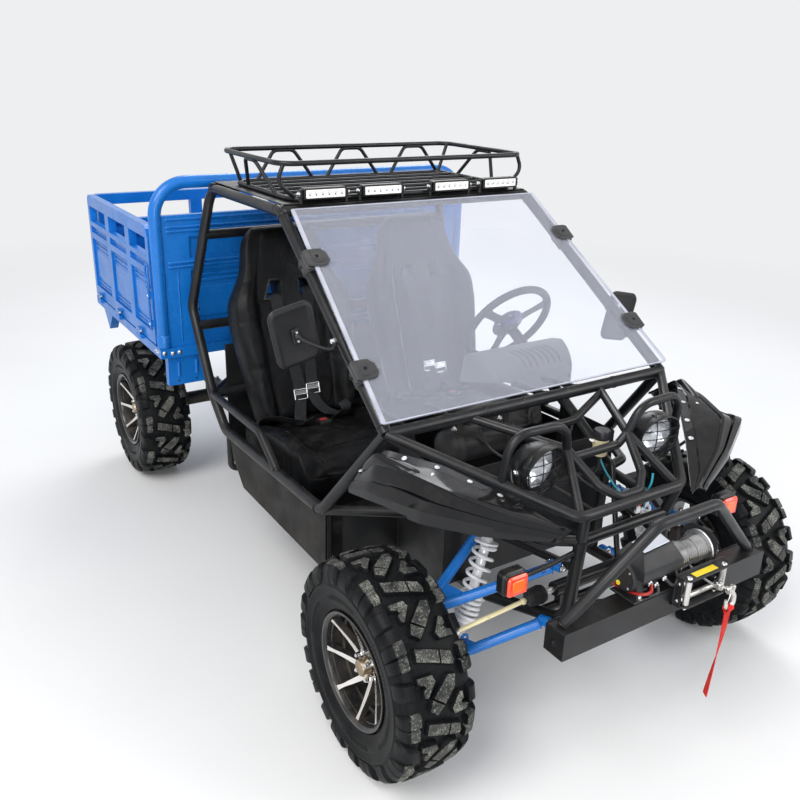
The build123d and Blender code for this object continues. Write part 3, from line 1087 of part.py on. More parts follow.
# Edges of the load floor, clear of the gates, the tailgate and the headboard.
load_x = (BED_REAR_X + GATE_THICK + RUN_GAP, BED_FRONT_X - 2 * HOOP_TUBE - RUN_GAP)
load_half = BED_HALF - GATE_THICK - RUN_GAP
with BuildPart() as bed_tray:
    block((BED_REAR_X, -BED_HALF, BED_FLOOR_LOW), (BED_FRONT_X, BED_HALF, BED_FLOOR_TOP))
    block((BED_REAR_X + BED_SILL, -floor_edge, BED_FLOOR_LOW - 1),
          (BED_FRONT_X - FRONT_SILL, floor_edge, BED_FLOOR_TOP - FLOOR_SHEET), mode=Mode.SUBTRACT)
    block((load_x[0], -load_half, BED_FLOOR_TOP - 1), (load_x[1], load_half, BED_FLOOR_TOP + LOAD_FLOOR))
    for x in FLOOR_BEAMS:
        block((x - 15, -floor_edge - 1, BED_FLOOR_LOW), (x + 15, floor_edge + 1, BED_FLOOR_TOP - 1))
    for side in (1, -1):
        side_plate(runner, side * (SUBFRAME_Y - RUNNER_HALF), side * (SUBFRAME_Y + RUNNER_HALF))
        y_from, y_to = side * (SUBFRAME_Y - RUNNER_HALF), side * (SUBFRAME_Y + RUNNER_HALF)
        rod((TIP_X, y_from, TIP_Z), (TIP_X, y_to, TIP_Z), 32)
        rod((TIP_X, y_from - side, TIP_Z), (TIP_X, y_to + side, TIP_Z), TIP_PIN + PIN_GAP, mode=Mode.SUBTRACT)
        side_plate(front_plate, side * 560, side * 720)
        side_plate(rear_gusset, side * 700, side * 740)
    for middle, axis, inward in hinges:
        run = Vector(*axis)
        centre = Vector(*middle)
        reach = HINGE_LENGTH / 2 + 1
        rod(centre - run * reach, centre + run * reach, HINGE_RADIUS + RUN_GAP, mode=Mode.SUBTRACT)
        rod(centre - run * (reach + HINGE_EAR), centre + run * (reach + HINGE_EAR), HINGE_PIN)
        for end in (1, -1):
            inner = centre + run * (end * reach)
            outer = centre + run * (end * (reach + HINGE_EAR)) + Vector(*inward) * (HINGE_OUT + 8)
            rod(inner, centre + run * (end * (reach + HINGE_EAR)), HINGE_RADIUS)
            block(tuple(inner - Vector(0, 0, HINGE_RADIUS)), tuple(outer))
save("bed_tray", bed_tray.part)

# Headboard: a hoop above the front sill with a pressed sheet in it.
HOOP_X = BED_FRONT_X - HOOP_TUBE
HOOP_Y = BED_HALF - HOOP_TUBE
HOOP_BEND = 130.0
SHEET_X = HOOP_X
PRESS_DEPTH = 12.0
SHEET_ROWS = ((799.0, 1084.0), (1137.0, 1221.0))
SHEET_HALF = 598.0
SHEET_RAIL_Z = 1120.0
with BuildPart() as headboard:
    low = (HOOP_X, HOOP_Y, BED_FLOOR_TOP + SEAT_GAP)
    high = (HOOP_X, HOOP_Y, HOOP_TOP_Z - HOOP_TUBE)
    tube([low, high, across(high)[1], across(low)[1]], HOOP_TUBE, HOOP_BEND)
    block((SHEET_X - PRESS_DEPTH, -HOOP_Y, low[2]), (SHEET_X + PRESS_DEPTH, HOOP_Y, HEADBOARD_TOP_Z))
    for z_from, z_to in SHEET_ROWS:
        block((SHEET_X - PRESS_DEPTH - 1, -SHEET_HALF, z_from), (SHEET_X - 2, SHEET_HALF, z_to),
              mode=Mode.SUBTRACT)
        block((SHEET_X + 2, -SHEET_HALF, z_from), (SHEET_X + PRESS_DEPTH + 1, SHEET_HALF, z_to),
              mode=Mode.SUBTRACT)
    block((SHEET_X - 20, -HOOP_Y, SHEET_RAIL_Z - 11), (SHEET_X, HOOP_Y, SHEET_RAIL_Z + 11))
save("headboard", headboard.part)

# Gates: a frame with pressed panels below and open slots in the upper third.
SLOT_LOW = 1142.0
GATE_MID = (1063.0, 1093.0)
PANEL_ROWS = ((GATE_LOW + GATE_RAIL, GATE_MID[0]), (GATE_MID[1], SLOT_LOW - 20))
GATE_POST = 60.0
SIDE_POSTS = (-1222.0, -905.0)
PRESS_OUT = 14.0
PRESS_IN = 16.0
EYE_TOP_Z = 806.0
side_rear_x = BED_REAR_X + RUN_GAP
side_front_x = BED_FRONT_X - 2 * HOOP_TUBE - 10
rear_post, front_post = SIDE_POSTS
side_bays = ((side_rear_x + 30, rear_post - GATE_POST / 2),
             (rear_post + GATE_POST / 2, front_post - GATE_POST / 2),
             (front_post + GATE_POST / 2, side_front_x - 36))
side_outline = [(side_rear_x, GATE_LOW), (side_front_x, GATE_LOW), (side_front_x, GATE_TOP - 50),
                (side_front_x - 16, GATE_TOP - 14), (side_front_x - 52, GATE_TOP),
                (side_rear_x + 20, GATE_TOP), (side_rear_x, GATE_TOP - 20)]
for name, side in (("gate_left", 1), ("gate_right", -1)):
    outer = side * BED_HALF
    inner = side * (BED_HALF - GATE_THICK)
    with BuildPart() as gate:
        side_plate(side_outline, inner, outer)
        for x_from, x_to in side_bays:
            block((x_from, inner - side, SLOT_LOW), (x_to, outer + side, GATE_TOP - GATE_RAIL),
                  mode=Mode.SUBTRACT)
            for z_from, z_to in PANEL_ROWS:
                block((x_from, outer - side * PRESS_OUT, z_from), (x_to, outer + side, z_to),
                      mode=Mode.SUBTRACT)
                block((x_from, inner - side, z_from), (x_to, inner + side * PRESS_IN, z_to),
                      mode=Mode.SUBTRACT)
        for x in SIDE_HINGES:
            start, end = x - HINGE_LENGTH / 2, x + HINGE_LENGTH / 2
            rod((start, side * side_axis_y, HINGE_Z), (end, side * side_axis_y, HINGE_Z), HINGE_RADIUS)
            block((start, outer - side * 4, HINGE_Z + 3), (end, outer + side * 15, EYE_TOP_Z))
            rod((start, side * side_axis_y, HINGE_Z), (end, side * side_axis_y, HINGE_Z), HINGE_PIN + PIN_GAP,
                mode=Mode.SUBTRACT)
    save(name, gate.part)

tail_half = floor_edge
tail_bays = ((-tail_half + 30, -250.0), (-190.0, 190.0), (250.0, tail_half - 30))
with BuildPart() as tailgate:
    block((BED_REAR_X, -tail_half, GATE_LOW), (BED_REAR_X + GATE_THICK, tail_half, GATE_TOP))
    for y_from, y_to in tail_bays:
        block((BED_REAR_X - 1, y_from, SLOT_LOW), (BED_REAR_X + GATE_THICK + 1, y_to, GATE_TOP - GATE_RAIL),
              mode=Mode.SUBTRACT)
        for z_from, z_to in PANEL_ROWS:
            block((BED_REAR_X - 1, y_from, z_from), (BED_REAR_X + PRESS_OUT, y_to, z_to), mode=Mode.SUBTRACT)
            block((BED_REAR_X + GATE_THICK - PRESS_IN, y_from, z_from),
                  (BED_REAR_X + GATE_THICK + 1, y_to, z_to), mode=Mode.SUBTRACT)
    for y in TAIL_HINGES:
        start, end = y - HINGE_LENGTH / 2, y + HINGE_LENGTH / 2
        rod((tail_axis_x, start, HINGE_Z), (tail_axis_x, end, HINGE_Z), HINGE_RADIUS)
        block((BED_REAR_X - 15, start, HINGE_Z + 3), (BED_REAR_X + 4, end, EYE_TOP_Z))
        rod((tail_axis_x, start, HINGE_Z), (tail_axis_x, end, HINGE_Z), HINGE_PIN + PIN_GAP,
            mode=Mode.SUBTRACT)
save("tailgate", tailgate.part)

# Tail lamps below the rear sill.
TAIL_LAMP_Y = (560.0, 670.0)
TAIL_LAMP_LOW_Z = 672.0
with BuildPart() as tail_lamps:
    for side in (1, -1):
        block((BED_REAR_X + 2, side * TAIL_LAMP_Y[0], TAIL_LAMP_LOW_Z),
              (BED_REAR_X + 30, side * TAIL_LAMP_Y[1], BED_FLOOR_LOW - SEAT_GAP))
save("tail_lamps", tail_lamps.part)
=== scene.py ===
"""Looks of the two-seat utility buggy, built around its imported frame.

Metres, +X forward, +Y left, +Z up. Pieces on the side of the vehicle are written for the
left side, with side 1, and mirrored to the right with side -1.
"""
import json
from math import asin, cos, exp, pi, radians, sin, sqrt

import bmesh
import bpy
from mathutils import Matrix, Vector


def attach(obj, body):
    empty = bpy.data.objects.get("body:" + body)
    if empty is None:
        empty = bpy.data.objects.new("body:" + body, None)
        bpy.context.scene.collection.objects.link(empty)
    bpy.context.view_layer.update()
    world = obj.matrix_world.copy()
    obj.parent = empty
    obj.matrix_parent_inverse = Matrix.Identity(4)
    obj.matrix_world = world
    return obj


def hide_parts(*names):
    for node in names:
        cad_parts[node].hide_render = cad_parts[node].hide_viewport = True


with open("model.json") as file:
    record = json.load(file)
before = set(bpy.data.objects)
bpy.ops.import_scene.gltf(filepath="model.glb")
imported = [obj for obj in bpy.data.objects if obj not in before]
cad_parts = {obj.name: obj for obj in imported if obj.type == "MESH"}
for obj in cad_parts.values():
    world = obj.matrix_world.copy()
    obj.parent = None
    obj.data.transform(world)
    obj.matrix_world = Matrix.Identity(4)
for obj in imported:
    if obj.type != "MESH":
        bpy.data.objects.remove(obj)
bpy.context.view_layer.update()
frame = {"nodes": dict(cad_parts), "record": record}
nodes = frame["nodes"]
MM = 0.001
X, Y, Z = (1, 0, 0), (0, 1, 0), (0, 0, 1)

# Camera: place, yaw, pitch and roll, and focal length in pixels of the 800-pixel view.
CAMERA_PLACE = (2.7252, -1.7141, 1.8780)
CAMERA_YAW = 2.5641
CAMERA_DIP = 0.3768
CAMERA_ROLL = 0.0279
FOCAL_PIXELS = 845.69
VIEW_PIXELS = 800
SENSOR = 36


def make_camera():
    """The camera at the place and angle from which the photograph was taken."""
    ahead = Vector((cos(CAMERA_DIP) * cos(CAMERA_YAW), cos(CAMERA_DIP) * sin(CAMERA_YAW), -sin(CAMERA_DIP)))
    level = ahead.cross(Vector(Z)).normalized()
    above = level.cross(ahead)
    right = level * cos(CAMERA_ROLL) + above * sin(CAMERA_ROLL)
    up = above * cos(CAMERA_ROLL) - level * sin(CAMERA_ROLL)
    data = bpy.data.cameras.new("camera")
    data.sensor_width = SENSOR
    data.lens = FOCAL_PIXELS * SENSOR / VIEW_PIXELS
    data.clip_end = 200
    camera = bpy.data.objects.new("camera", data)
    turn = Matrix((right, up, -ahead)).transposed().to_4x4()
    camera.matrix_world = Matrix.Translation(CAMERA_PLACE) @ turn
    bpy.context.scene.collection.objects.link(camera)
    bpy.context.scene.camera = camera


def soft_lamp(name, place, target, size, power, colour=(1, 1, 1)):
    """A square area lamp that faces a target."""
    data = bpy.data.lights.new(name, "AREA")
    data.shape = "SQUARE"
    data.size = size
    data.energy = power
    data.color = colour
    lamp = bpy.data.objects.new(name, data)
    lamp.location = place
    lamp.rotation_mode = "QUATERNION"
    lamp.rotation_quaternion = (Vector(target) - Vector(place)).to_track_quat("-Z", "Y")
    bpy.context.scene.collection.objects.link(lamp)


def seen_rays(tree):
    """1 for rays by which the camera sees a surface, also through glass or in a reflection."""
    path = tree.nodes.new("ShaderNodeLightPath")
    total = path.outputs["Is Camera Ray"]
    for name in ("Is Glossy Ray", "Is Transmission Ray"):
        most = tree.nodes.new("ShaderNodeMath")
        most.operation = "MAXIMUM"
        tree.links.new(total, most.inputs[0])
        tree.links.new(path.outputs[name], most.inputs[1])
        total = most.outputs[0]
    return total


class Nodes:
    """The nodes of one material, with short ways to add the common ones."""

    def __init__(self, name):
        self.material = bpy.data.materials.new(name)
        self.material.use_nodes = True
        self.tree = self.material.node_tree
        self.tree.nodes.clear()
        self.place = self.new("ShaderNodeTexCoord").outputs["Object"]

    def new(self, kind, **settings):
        """Add a node; a setting names one of its properties."""
        node = self.tree.nodes.new(kind)
        for key, value in settings.items():
            setattr(node, key, value)
        return node

    def put(self, socket, value):
        """Link a socket, or set its value."""
        if isinstance(value, bpy.types.NodeSocket):
            self.tree.links.new(value, socket)
        elif hasattr(value, "__len__") and len(value) == 3 and socket.type == "RGBA":
            socket.default_value = (*value, 1)
        else:
            socket.default_value = value

    def noise(self, scale, detail=4, stretch=None, distortion=0):
        """Noise from 0 to 1 in space; stretch scales each axis."""
        node = self.new("ShaderNodeTexNoise")
        place = self.place
        if stretch:
            mapping = self.new("ShaderNodeMapping")
            self.put(mapping.inputs["Vector"], place)
            mapping.inputs["Scale"].default_value = stretch
            place = mapping.outputs["Vector"]
        self.put(node.inputs["Vector"], place)
        node.inputs["Scale"].default_value = scale
        node.inputs["Detail"].default_value = detail
        node.inputs["Distortion"].default_value = distortion
        return node.outputs["Fac"]

    def cells(self, scale):
        """A cellular pattern, as in leather grain or hammered paint."""
        node = self.new("ShaderNodeTexVoronoi")
        self.put(node.inputs["Vector"], self.place)
        node.inputs["Scale"].default_value = scale
        return node.outputs["Distance"]

    def span(self, value, low, high, to_low=0, to_high=1):
        """Map a range of values to another, held at its ends."""
        node = self.new("ShaderNodeMapRange", interpolation_type="SMOOTHSTEP")
        for socket, number in zip(node.inputs[:5], (value, low, high, to_low, to_high)):
            self.put(socket, number)
        return node.outputs["Result"]

    def math(self, kind, one, other):
        """Two values put together by an operation."""
        node = self.new("ShaderNodeMath", operation=kind)
        self.put(node.inputs[0], one)
        self.put(node.inputs[1], other)
        return node.outputs[0]

    def times(self, one, other):
        return self.math("MULTIPLY", one, other)

    def mix(self, share, one, other):
        """Mix two colours."""
        node = self.new("ShaderNodeMix", data_type="RGBA")
        self.put(node.inputs[0], share)
        self.put(node.inputs[6], one)
        self.put(node.inputs[7], other)
        return node.outputs[2]

    def facing_up(self, low=0.35, high=0.95):
        """1 where the surface faces up and 0 where it faces sideways or down."""
        split = self.new("ShaderNodeSeparateXYZ")
        self.put(split.inputs[0], self.new("ShaderNodeNewGeometry").outputs["Normal"])
        return self.span(split.outputs["Z"], low, high)

    def height(self, low, high):
        """1 below the low height and 0 above the high one, in the part's own frame."""
        split = self.new("ShaderNodeSeparateXYZ")
        self.put(split.inputs[0], self.place)
        return self.span(split.outputs["Z"], low, high, 1, 0)

    def soft_edge(self, radius):
        """The surface's normal, rounded at its edges."""
        node = self.new("ShaderNodeBevel", samples=6)
        node.inputs["Radius"].default_value = radius
        return node.outputs["Normal"]

    def edges(self, rounded):
        """1 at the edges, from how far the rounded normal leaves the real one."""
        dot = self.new("ShaderNodeVectorMath", operation="DOT_PRODUCT")
        self.put(dot.inputs[0], rounded)
        self.put(dot.inputs[1], self.new("ShaderNodeNewGeometry").outputs["Normal"])
        return self.span(dot.outputs["Value"], 0.995, 0.93)

    def bump(self, height, strength, distance, normal=None):
        """The surface's normal with fine relief."""
        node = self.new("ShaderNodeBump")
        node.inputs["Strength"].default_value = strength
        node.inputs["Distance"].default_value = distance
        self.put(node.inputs["Height"], height)
        if normal is not None:
            self.put(node.inputs["Normal"], normal)
        return node.outputs["Normal"]

    def surface(self, **inputs):
        """The shader, with its sockets by name; a double underscore stands for a space."""
        shader = self.new("ShaderNodeBsdfPrincipled")
        for key, value in inputs.items():
            self.put(shader.inputs[key.replace("_", " ")], value)
        self.finish(shader.outputs["BSDF"])
        return self.material

    def finish(self, shader):
        out = self.new("ShaderNodeOutputMaterial")
        self.tree.links.new(shader, out.inputs["Surface"])


DUST = (0.30, 0.245, 0.18)


def painted(name, colour, second, rough, dust=0.25, low_dust=0, edge=None, bump=(0.12, 900, 0.0002),
        edge_radius=0, metal=0, specular=0.5, **sockets):
    """Paint, plastic or metal with colour drift, dust on top, a painted highlight on edges and fine relief.

    colour and second mix in patches; rough is the range of roughness; dust is its share on
    faces that look up, low_dust its share near the ground; edge is the colour and share of a
    painted highlight along the edges, in patches; bump is strength, scale and depth.
    """
    n = Nodes(name)
    drift = n.span(n.noise(9, 5), 0.35, 0.68)
    tint = n.mix(drift, colour, second)
    rounded = n.soft_edge(edge_radius) if edge_radius else None
    # Edges paler in patches: a painted highlight.
    if edge:
        edge_highlight = n.times(n.edges(rounded), n.span(n.noise(60, 6), 0.5, 0.7))
        tint = n.mix(n.times(edge_highlight, edge[1]), tint, edge[0])
    speckle = n.span(n.noise(38, 8, distortion=0.6), 0.38, 0.72)
    film = n.times(n.facing_up(), n.span(n.noise(5, 6), 0.25, 0.75, 0.35, 1))
    film = n.times(n.times(film, speckle), dust)
    if low_dust:
        splash = n.times(n.height(0.15, 0.75), n.span(n.noise(14, 7), 0.36, 0.66))
        film = n.math("MAXIMUM", film, n.times(splash, low_dust))
    tint = n.mix(film, tint, DUST)
    grain = n.noise(bump[1], 3)
    smear = n.span(n.noise(11, 6), 0.3, 0.72, rough[0], rough[1])
    smear = n.math("ADD", smear, n.times(film, 0.45))
    return n.surface(Base_Color=tint, Roughness=smear, Metallic=metal,
        Normal=n.bump(grain, bump[0], bump[2], rounded), Specular_IOR_Level=specular, **sockets)


def leather(name, colour, second, rough):
    """Black leatherette: fine grain, soft creases, dust in the folds."""
    n = Nodes(name)
    tint = n.mix(n.span(n.noise(7, 5), 0.35, 0.7), colour, second)
    film = n.times(n.facing_up(0.2, 0.9), n.span(n.noise(30, 8), 0.45, 0.75, 0, 0.05))
    tint = n.mix(film, tint, DUST)
    grain = n.math("ADD", n.cells(520), n.times(n.noise(45, 6), 1.5))
    shine = n.span(n.noise(16, 5), 0.3, 0.7, rough[0], rough[1])
    creases = n.bump(n.noise(9, 3, distortion=1.2), 0.55, 0.012)
    return n.surface(Base_Color=tint, Roughness=shine, Normal=n.bump(grain, 0.35, 0.0006, creases),
        Specular_IOR_Level=0.13)


def webbing(name, colour, second, across, along):
    """Woven webbing: ribs along the strap, rows across it, in the part's own axes."""
    n = Nodes(name)
    tint = n.mix(n.span(n.noise(25, 6), 0.35, 0.7), colour, second)
    rows = n.new("ShaderNodeTexWave", bands_direction=along)
    rows.inputs["Scale"].default_value = 260
    ribs = n.new("ShaderNodeTexWave", bands_direction=across)
    ribs.inputs["Scale"].default_value = 160
    for wave in (rows, ribs):
        n.put(wave.inputs["Vector"], n.place)
    weave = n.times(rows.outputs["Fac"], ribs.outputs["Fac"])
    tint = n.mix(n.times(weave, 0.35), tint, [c * 0.45 for c in colour])
    return n.surface(Base_Color=tint, Roughness=n.span(n.noise(50), 0.3, 0.7, 0.62, 0.85),
        Specular_IOR_Level=0.3, Normal=n.bump(weave, 0.5, 0.0005))


def tyre_rubber(name, colour, second, dust):
    """Rubber with dried soil that lies thickest where the tread meets the ground."""
    n = Nodes(name)
    tint = n.mix(n.span(n.noise(12, 6), 0.35, 0.7), colour, second)
    patches = n.span(n.noise(18, 8, distortion=0.4), 0.40, 0.68)
    flecks = n.span(n.noise(160, 6), 0.52, 0.64)
    film = n.times(n.math("MAXIMUM", patches, n.times(flecks, 0.8)), dust)
    pale = n.span(n.noise(260, 8), 0.40, 0.60)
    tint = n.mix(film, tint, n.mix(pale, (0.045, 0.045, 0.040), (0.27, 0.275, 0.24)))
    grain = n.math("ADD", n.noise(420, 6), n.times(n.noise(60, 5), 2))
    return n.surface(Base_Color=tint, Roughness=n.span(film, 0, 0.5, 0.42, 0.85),
        Normal=n.bump(grain, 0.35, 0.0008), Specular_IOR_Level=0.09)


def clear_sheet(name, haze, tint, rough):
    """Clear plastic with a thin haze of scratches and dust in it."""
    n = Nodes(name)
    glass = n.new("ShaderNodeBsdfPrincipled")
    n.put(glass.inputs["Base Color"], tint)
    n.put(glass.inputs["Transmission Weight"], 1)
    n.put(glass.inputs["IOR"], 1.3)
    wisps = n.noise(1.6, 3)
    scratches = n.noise(26, 9, stretch=(1, 6, 1), distortion=2)
    n.put(glass.inputs["Roughness"], n.span(scratches, 0.35, 0.75, rough[0], rough[1]))
    film = n.new("ShaderNodeBsdfPrincipled")
    n.put(film.inputs["Base Color"], (0.72, 0.75, 0.87))
    n.put(film.inputs["Roughness"], 0.6)
    blend = n.new("ShaderNodeMixShader")
    amount = n.math("ADD", n.span(wisps, 0.3, 0.75, haze[0], haze[1]),
        n.span(scratches, 0.6, 0.72, 0, 0.02))
    n.put(blend.inputs[0], amount)
    n.put(blend.inputs[1], glass.outputs[0])
    n.put(blend.inputs[2], film.outputs[0])
    n.finish(blend.outputs[0])
    return n.material


def lens(name, colour, second, rough, glow=0):
    """A coloured lens with fine moulded cells."""
    n = Nodes(name)
    cells = n.cells(260)
    tint = n.mix(n.span(n.noise(22), 0.3, 0.7), colour, second)
    return n.surface(Base_Color=tint, Roughness=n.span(n.noise(40), 0.3, 0.7, rough[0], rough[1]),
        Coat_Weight=0.7, Coat_Roughness=0.05, Emission_Color=colour, Emission_Strength=glow,
        Normal=n.bump(cells, 0.4, 0.0008))


BLACK = (0.0065, 0.0070, 0.0080)
SOFT_BLACK = (0.012, 0.0125, 0.014)
FINISHES = {}


def finish(maker, name, *look, **settings):
    """Make the material of a name and keep it."""
    FINISHES[name] = maker(name, *look, **settings)


# Finishes of the slots that the CAD model has.
finish(painted, "black_tube", BLACK, SOFT_BLACK, (0.28, 0.42), 0.06, 0.04, None, (0.22, 700, 0.0003),
    specular=0.32)
finish(painted, "black_plastic", (0.009, 0.0095, 0.0105), (0.015, 0.015, 0.016), (0.34, 0.52), 0.10,
    edge_radius=0.0015, bump=(0.25, 1500, 0.0003), specular=0.3)
finish(painted, "dusty_plastic", (0.0065, 0.0063, 0.0060), (0.012, 0.011, 0.0098), (0.38, 0.6), 0.06, 0.05,
    edge_radius=0.0015, bump=(0.3, 900, 0.0004), specular=0.15)
finish(painted, "lamp_black", BLACK, SOFT_BLACK, (0.24, 0.42), 0.10, bump=(0.15, 1300, 0.0002),
    specular=0.35)
finish(painted, "gloss_black", (0.0050, 0.0052, 0.0060), (0.0080, 0.0082, 0.0090), (0.10, 0.20), 0.03, 0.03,
    bump=(0.05, 240, 0.0003), specular=0.30)
# Partly diffuse white, so the reflectors and rings look bright under any lamp: a painted reflection in
# place of what the chrome would mirror.
finish(painted, "lamp_chrome", (0.92, 0.93, 0.94), (0.84, 0.85, 0.87), (0.16, 0.30), 0.03, metal=0.6,
    bump=(0.05, 300, 0.0002))
finish(painted, "winch_black", (0.011, 0.0115, 0.013), (0.018, 0.019, 0.021), (0.32, 0.5), 0.10,
    edge_radius=0.002, bump=(0.4, 1100, 0.0004), specular=0.35)
finish(painted, "zinc_steel", (0.60, 0.61, 0.62), (0.42, 0.42, 0.43), (0.22, 0.42), 0.12, metal=1,
    bump=(0.15, 500, 0.0003))
finish(webbing, "red_webbing", (0.66, 0.020, 0.012), (0.50, 0.016, 0.012), "Y", "Z")
finish(leather, "seat_black", (0.0040, 0.0042, 0.0048), (0.0066, 0.0070, 0.0078), (0.30, 0.46))
finish(webbing, "black_webbing", (0.012, 0.013, 0.0145), (0.019, 0.020, 0.022), "Y", "Z")
# Its edge colour, a paler blue, is a painted highlight along the edges.
finish(painted, "blue_paint", (0.005, 0.140, 0.49), (0.008, 0.160, 0.55), (0.20, 0.32), 0.04, 0,
    ((0.05, 0.24, 0.66), 0.3), (0.05, 60, 0.0006), 0.002, specular=0.42)
finish(painted, "damper_silver", (0.86, 0.865, 0.87), (0.78, 0.785, 0.79), (0.2, 0.34), 0.05, metal=0.2)
finish(painted, "white_paint", (0.92, 0.925, 0.93), (0.86, 0.865, 0.87), (0.25, 0.40), 0.04, 0.04,
    Coat_Weight=0.3, Coat_Roughness=0.2)
finish(painted, "cast_black", (0.012, 0.012, 0.0125), (0.022, 0.0205, 0.018), (0.42, 0.65), 0.16, 0.18,
    edge_radius=0.003, bump=(0.6, 420, 0.0007), specular=0.35)
finish(painted, "beige_plastic", (0.52, 0.43, 0.26), (0.62, 0.54, 0.36), (0.30, 0.45), 0.15)
finish(painted, "red_paint", (0.36, 0.012, 0.012), (0.24, 0.010, 0.010), (0.2, 0.4), 0.2)
finish(lens, "red_lens", (0.45, 0.008, 0.008), (0.36, 0.006, 0.006), (0.10, 0.2))
finish(leather, "wheel_rubber", (0.011, 0.0115, 0.013), (0.018, 0.019, 0.020), (0.42, 0.6))
finish(painted, "yellow_zinc", (0.94, 0.83, 0.50), (0.86, 0.74, 0.42), (0.25, 0.40), 0.04, 0.03, metal=0.35)
finish(tyre_rubber, "tyre_black", (0.0034, 0.0037, 0.0046), (0.0060, 0.0064, 0.0074), 0.035)
finish(painted, "rim_metal", (0.009, 0.0095, 0.0105), (0.018, 0.018, 0.019), (0.16, 0.32), 0.08, 0.10,
    bump=(0.1, 500, 0.0003))
finish(clear_sheet, "clear_screen", (0.165, 0.215), (0.97, 0.98, 1), (0, 0.03))
# Finishes that only pieces of this script have.
finish(painted, "flange_grey", (0.020, 0.021, 0.025), (0.028, 0.029, 0.034), (0.26, 0.40), 0.05,
    specular=0.35)
finish(tyre_rubber, "tread_top", (0.016, 0.017, 0.018), (0.050, 0.051, 0.047), 0.85)
finish(tyre_rubber, "tread_wall", (0.0036, 0.0040, 0.0049), (0.0062, 0.0067, 0.0078), 0.035)
finish(painted, "machined", (0.82, 0.80, 0.77), (0.68, 0.64, 0.58), (0.14, 0.30), 0.1, 0.1, metal=1,
    bump=(0.2, 1200, 0.0002))
finish(painted, "bronze", (0.34, 0.27, 0.19), (0.46, 0.38, 0.28), (0.2, 0.4), 0.15, 0.1, metal=1)
finish(painted, "bright_zinc", (0.78, 0.79, 0.80), (0.62, 0.62, 0.63), (0.15, 0.32), 0.06, metal=1,
    bump=(0.1, 700, 0.0002))
finish(lens, "orange_lens", (0.86, 0.050, 0.006), (0.78, 0.035, 0.005), (0.08, 0.2), 0.10)
finish(clear_sheet, "lamp_glass", (0.02, 0.06), (0.97, 0.98, 1), (0, 0.04))
finish(lens, "orange_bright", (1, 0.13, 0.010), (0.95, 0.10, 0.008), (0.08, 0.2), 0.25)
finish(painted, "plate_silver", (0.62, 0.65, 0.72), (0.54, 0.57, 0.64), (0.22, 0.36), 0.04, metal=0.35,
    bump=(0.15, 1400, 0.0002))
finish(painted, "worn_zinc", (0.66, 0.65, 0.62), (0.44, 0.43, 0.41), (0.28, 0.5), 0.1, metal=0.9,
    bump=(0.4, 380, 0.0004))
finish(painted, "steel_rope", (0.50, 0.50, 0.50), (0.36, 0.36, 0.36), (0.26, 0.42), 0.06, metal=1,
    bump=(0.5, 900, 0.0004))
finish(painted, "cable_red", (0.42, 0.015, 0.012), (0.34, 0.012, 0.010), (0.3, 0.45), 0.1)
finish(painted, "yellow_paint", (0.88, 0.66, 0.02), (0.78, 0.58, 0.02), (0.3, 0.45), 0.1)
finish(painted, "mirror_glass", (0.90, 0.91, 0.92), (0.86, 0.87, 0.88), (0.02, 0.06), 0.03, metal=1)
finish(painted, "screw_white", (0.70, 0.72, 0.74), (0.56, 0.58, 0.60), (0.2, 0.35), 0.1, metal=0.6)
finish(painted, "hub_blue", (0.012, 0.02, 0.16), (0.02, 0.03, 0.22), (0.15, 0.3), 0.1, metal=0.5,
    Coat_Weight=0.6, Coat_Roughness=0.1)
finish(painted, "teal_wire", (0.02, 0.30, 0.38), (0.02, 0.24, 0.32), (0.35, 0.5), 0.15)
finish(painted, "cable_black", (0.012, 0.012, 0.013), (0.02, 0.02, 0.021), (0.38, 0.55), 0.2)
# Pale strips on the windscreen's edges: partly protective film, partly a painted highlight where the edge
# catches light.
finish(painted, "screen_edge", (0.46, 0.47, 0.54), (0.36, 0.37, 0.44), (0.2, 0.4), 0)
finish(painted, "clamp_grey", (0.030, 0.031, 0.034), (0.042, 0.043, 0.046), (0.38, 0.55), 0.10,
    bump=(0.25, 900, 0.0003), specular=0.35)
finish(painted, "dash_grey", (0.115, 0.117, 0.120), (0.140, 0.141, 0.142), (0.42, 0.58), 0.10,
    bump=(0.3, 1400, 0.0003), specular=0.35)
finish(lens, "led_face", (0.92, 0.90, 0.82), (0.80, 0.78, 0.72), (0.15, 0.3), 0.12)
finish(painted, "grey_dial", (0.42, 0.43, 0.45), (0.36, 0.37, 0.39), (0.3, 0.5), 0.1)


def dress_nodes():
    """Give each CAD node the finish of its slot."""
    slots = {row["node"]: row["material_slot"] for row in frame["record"]["subparts"]}
    for name, node in nodes.items():
        node.data.materials.clear()
        node.data.materials.append(FINISHES[slots[name]])


PALE = (0.86, 0.865, 0.875)
# Distances from the middle between which the floor fades into the backdrop.
FADE = (2.5, 7.5)
FLOOR_REACH = 70


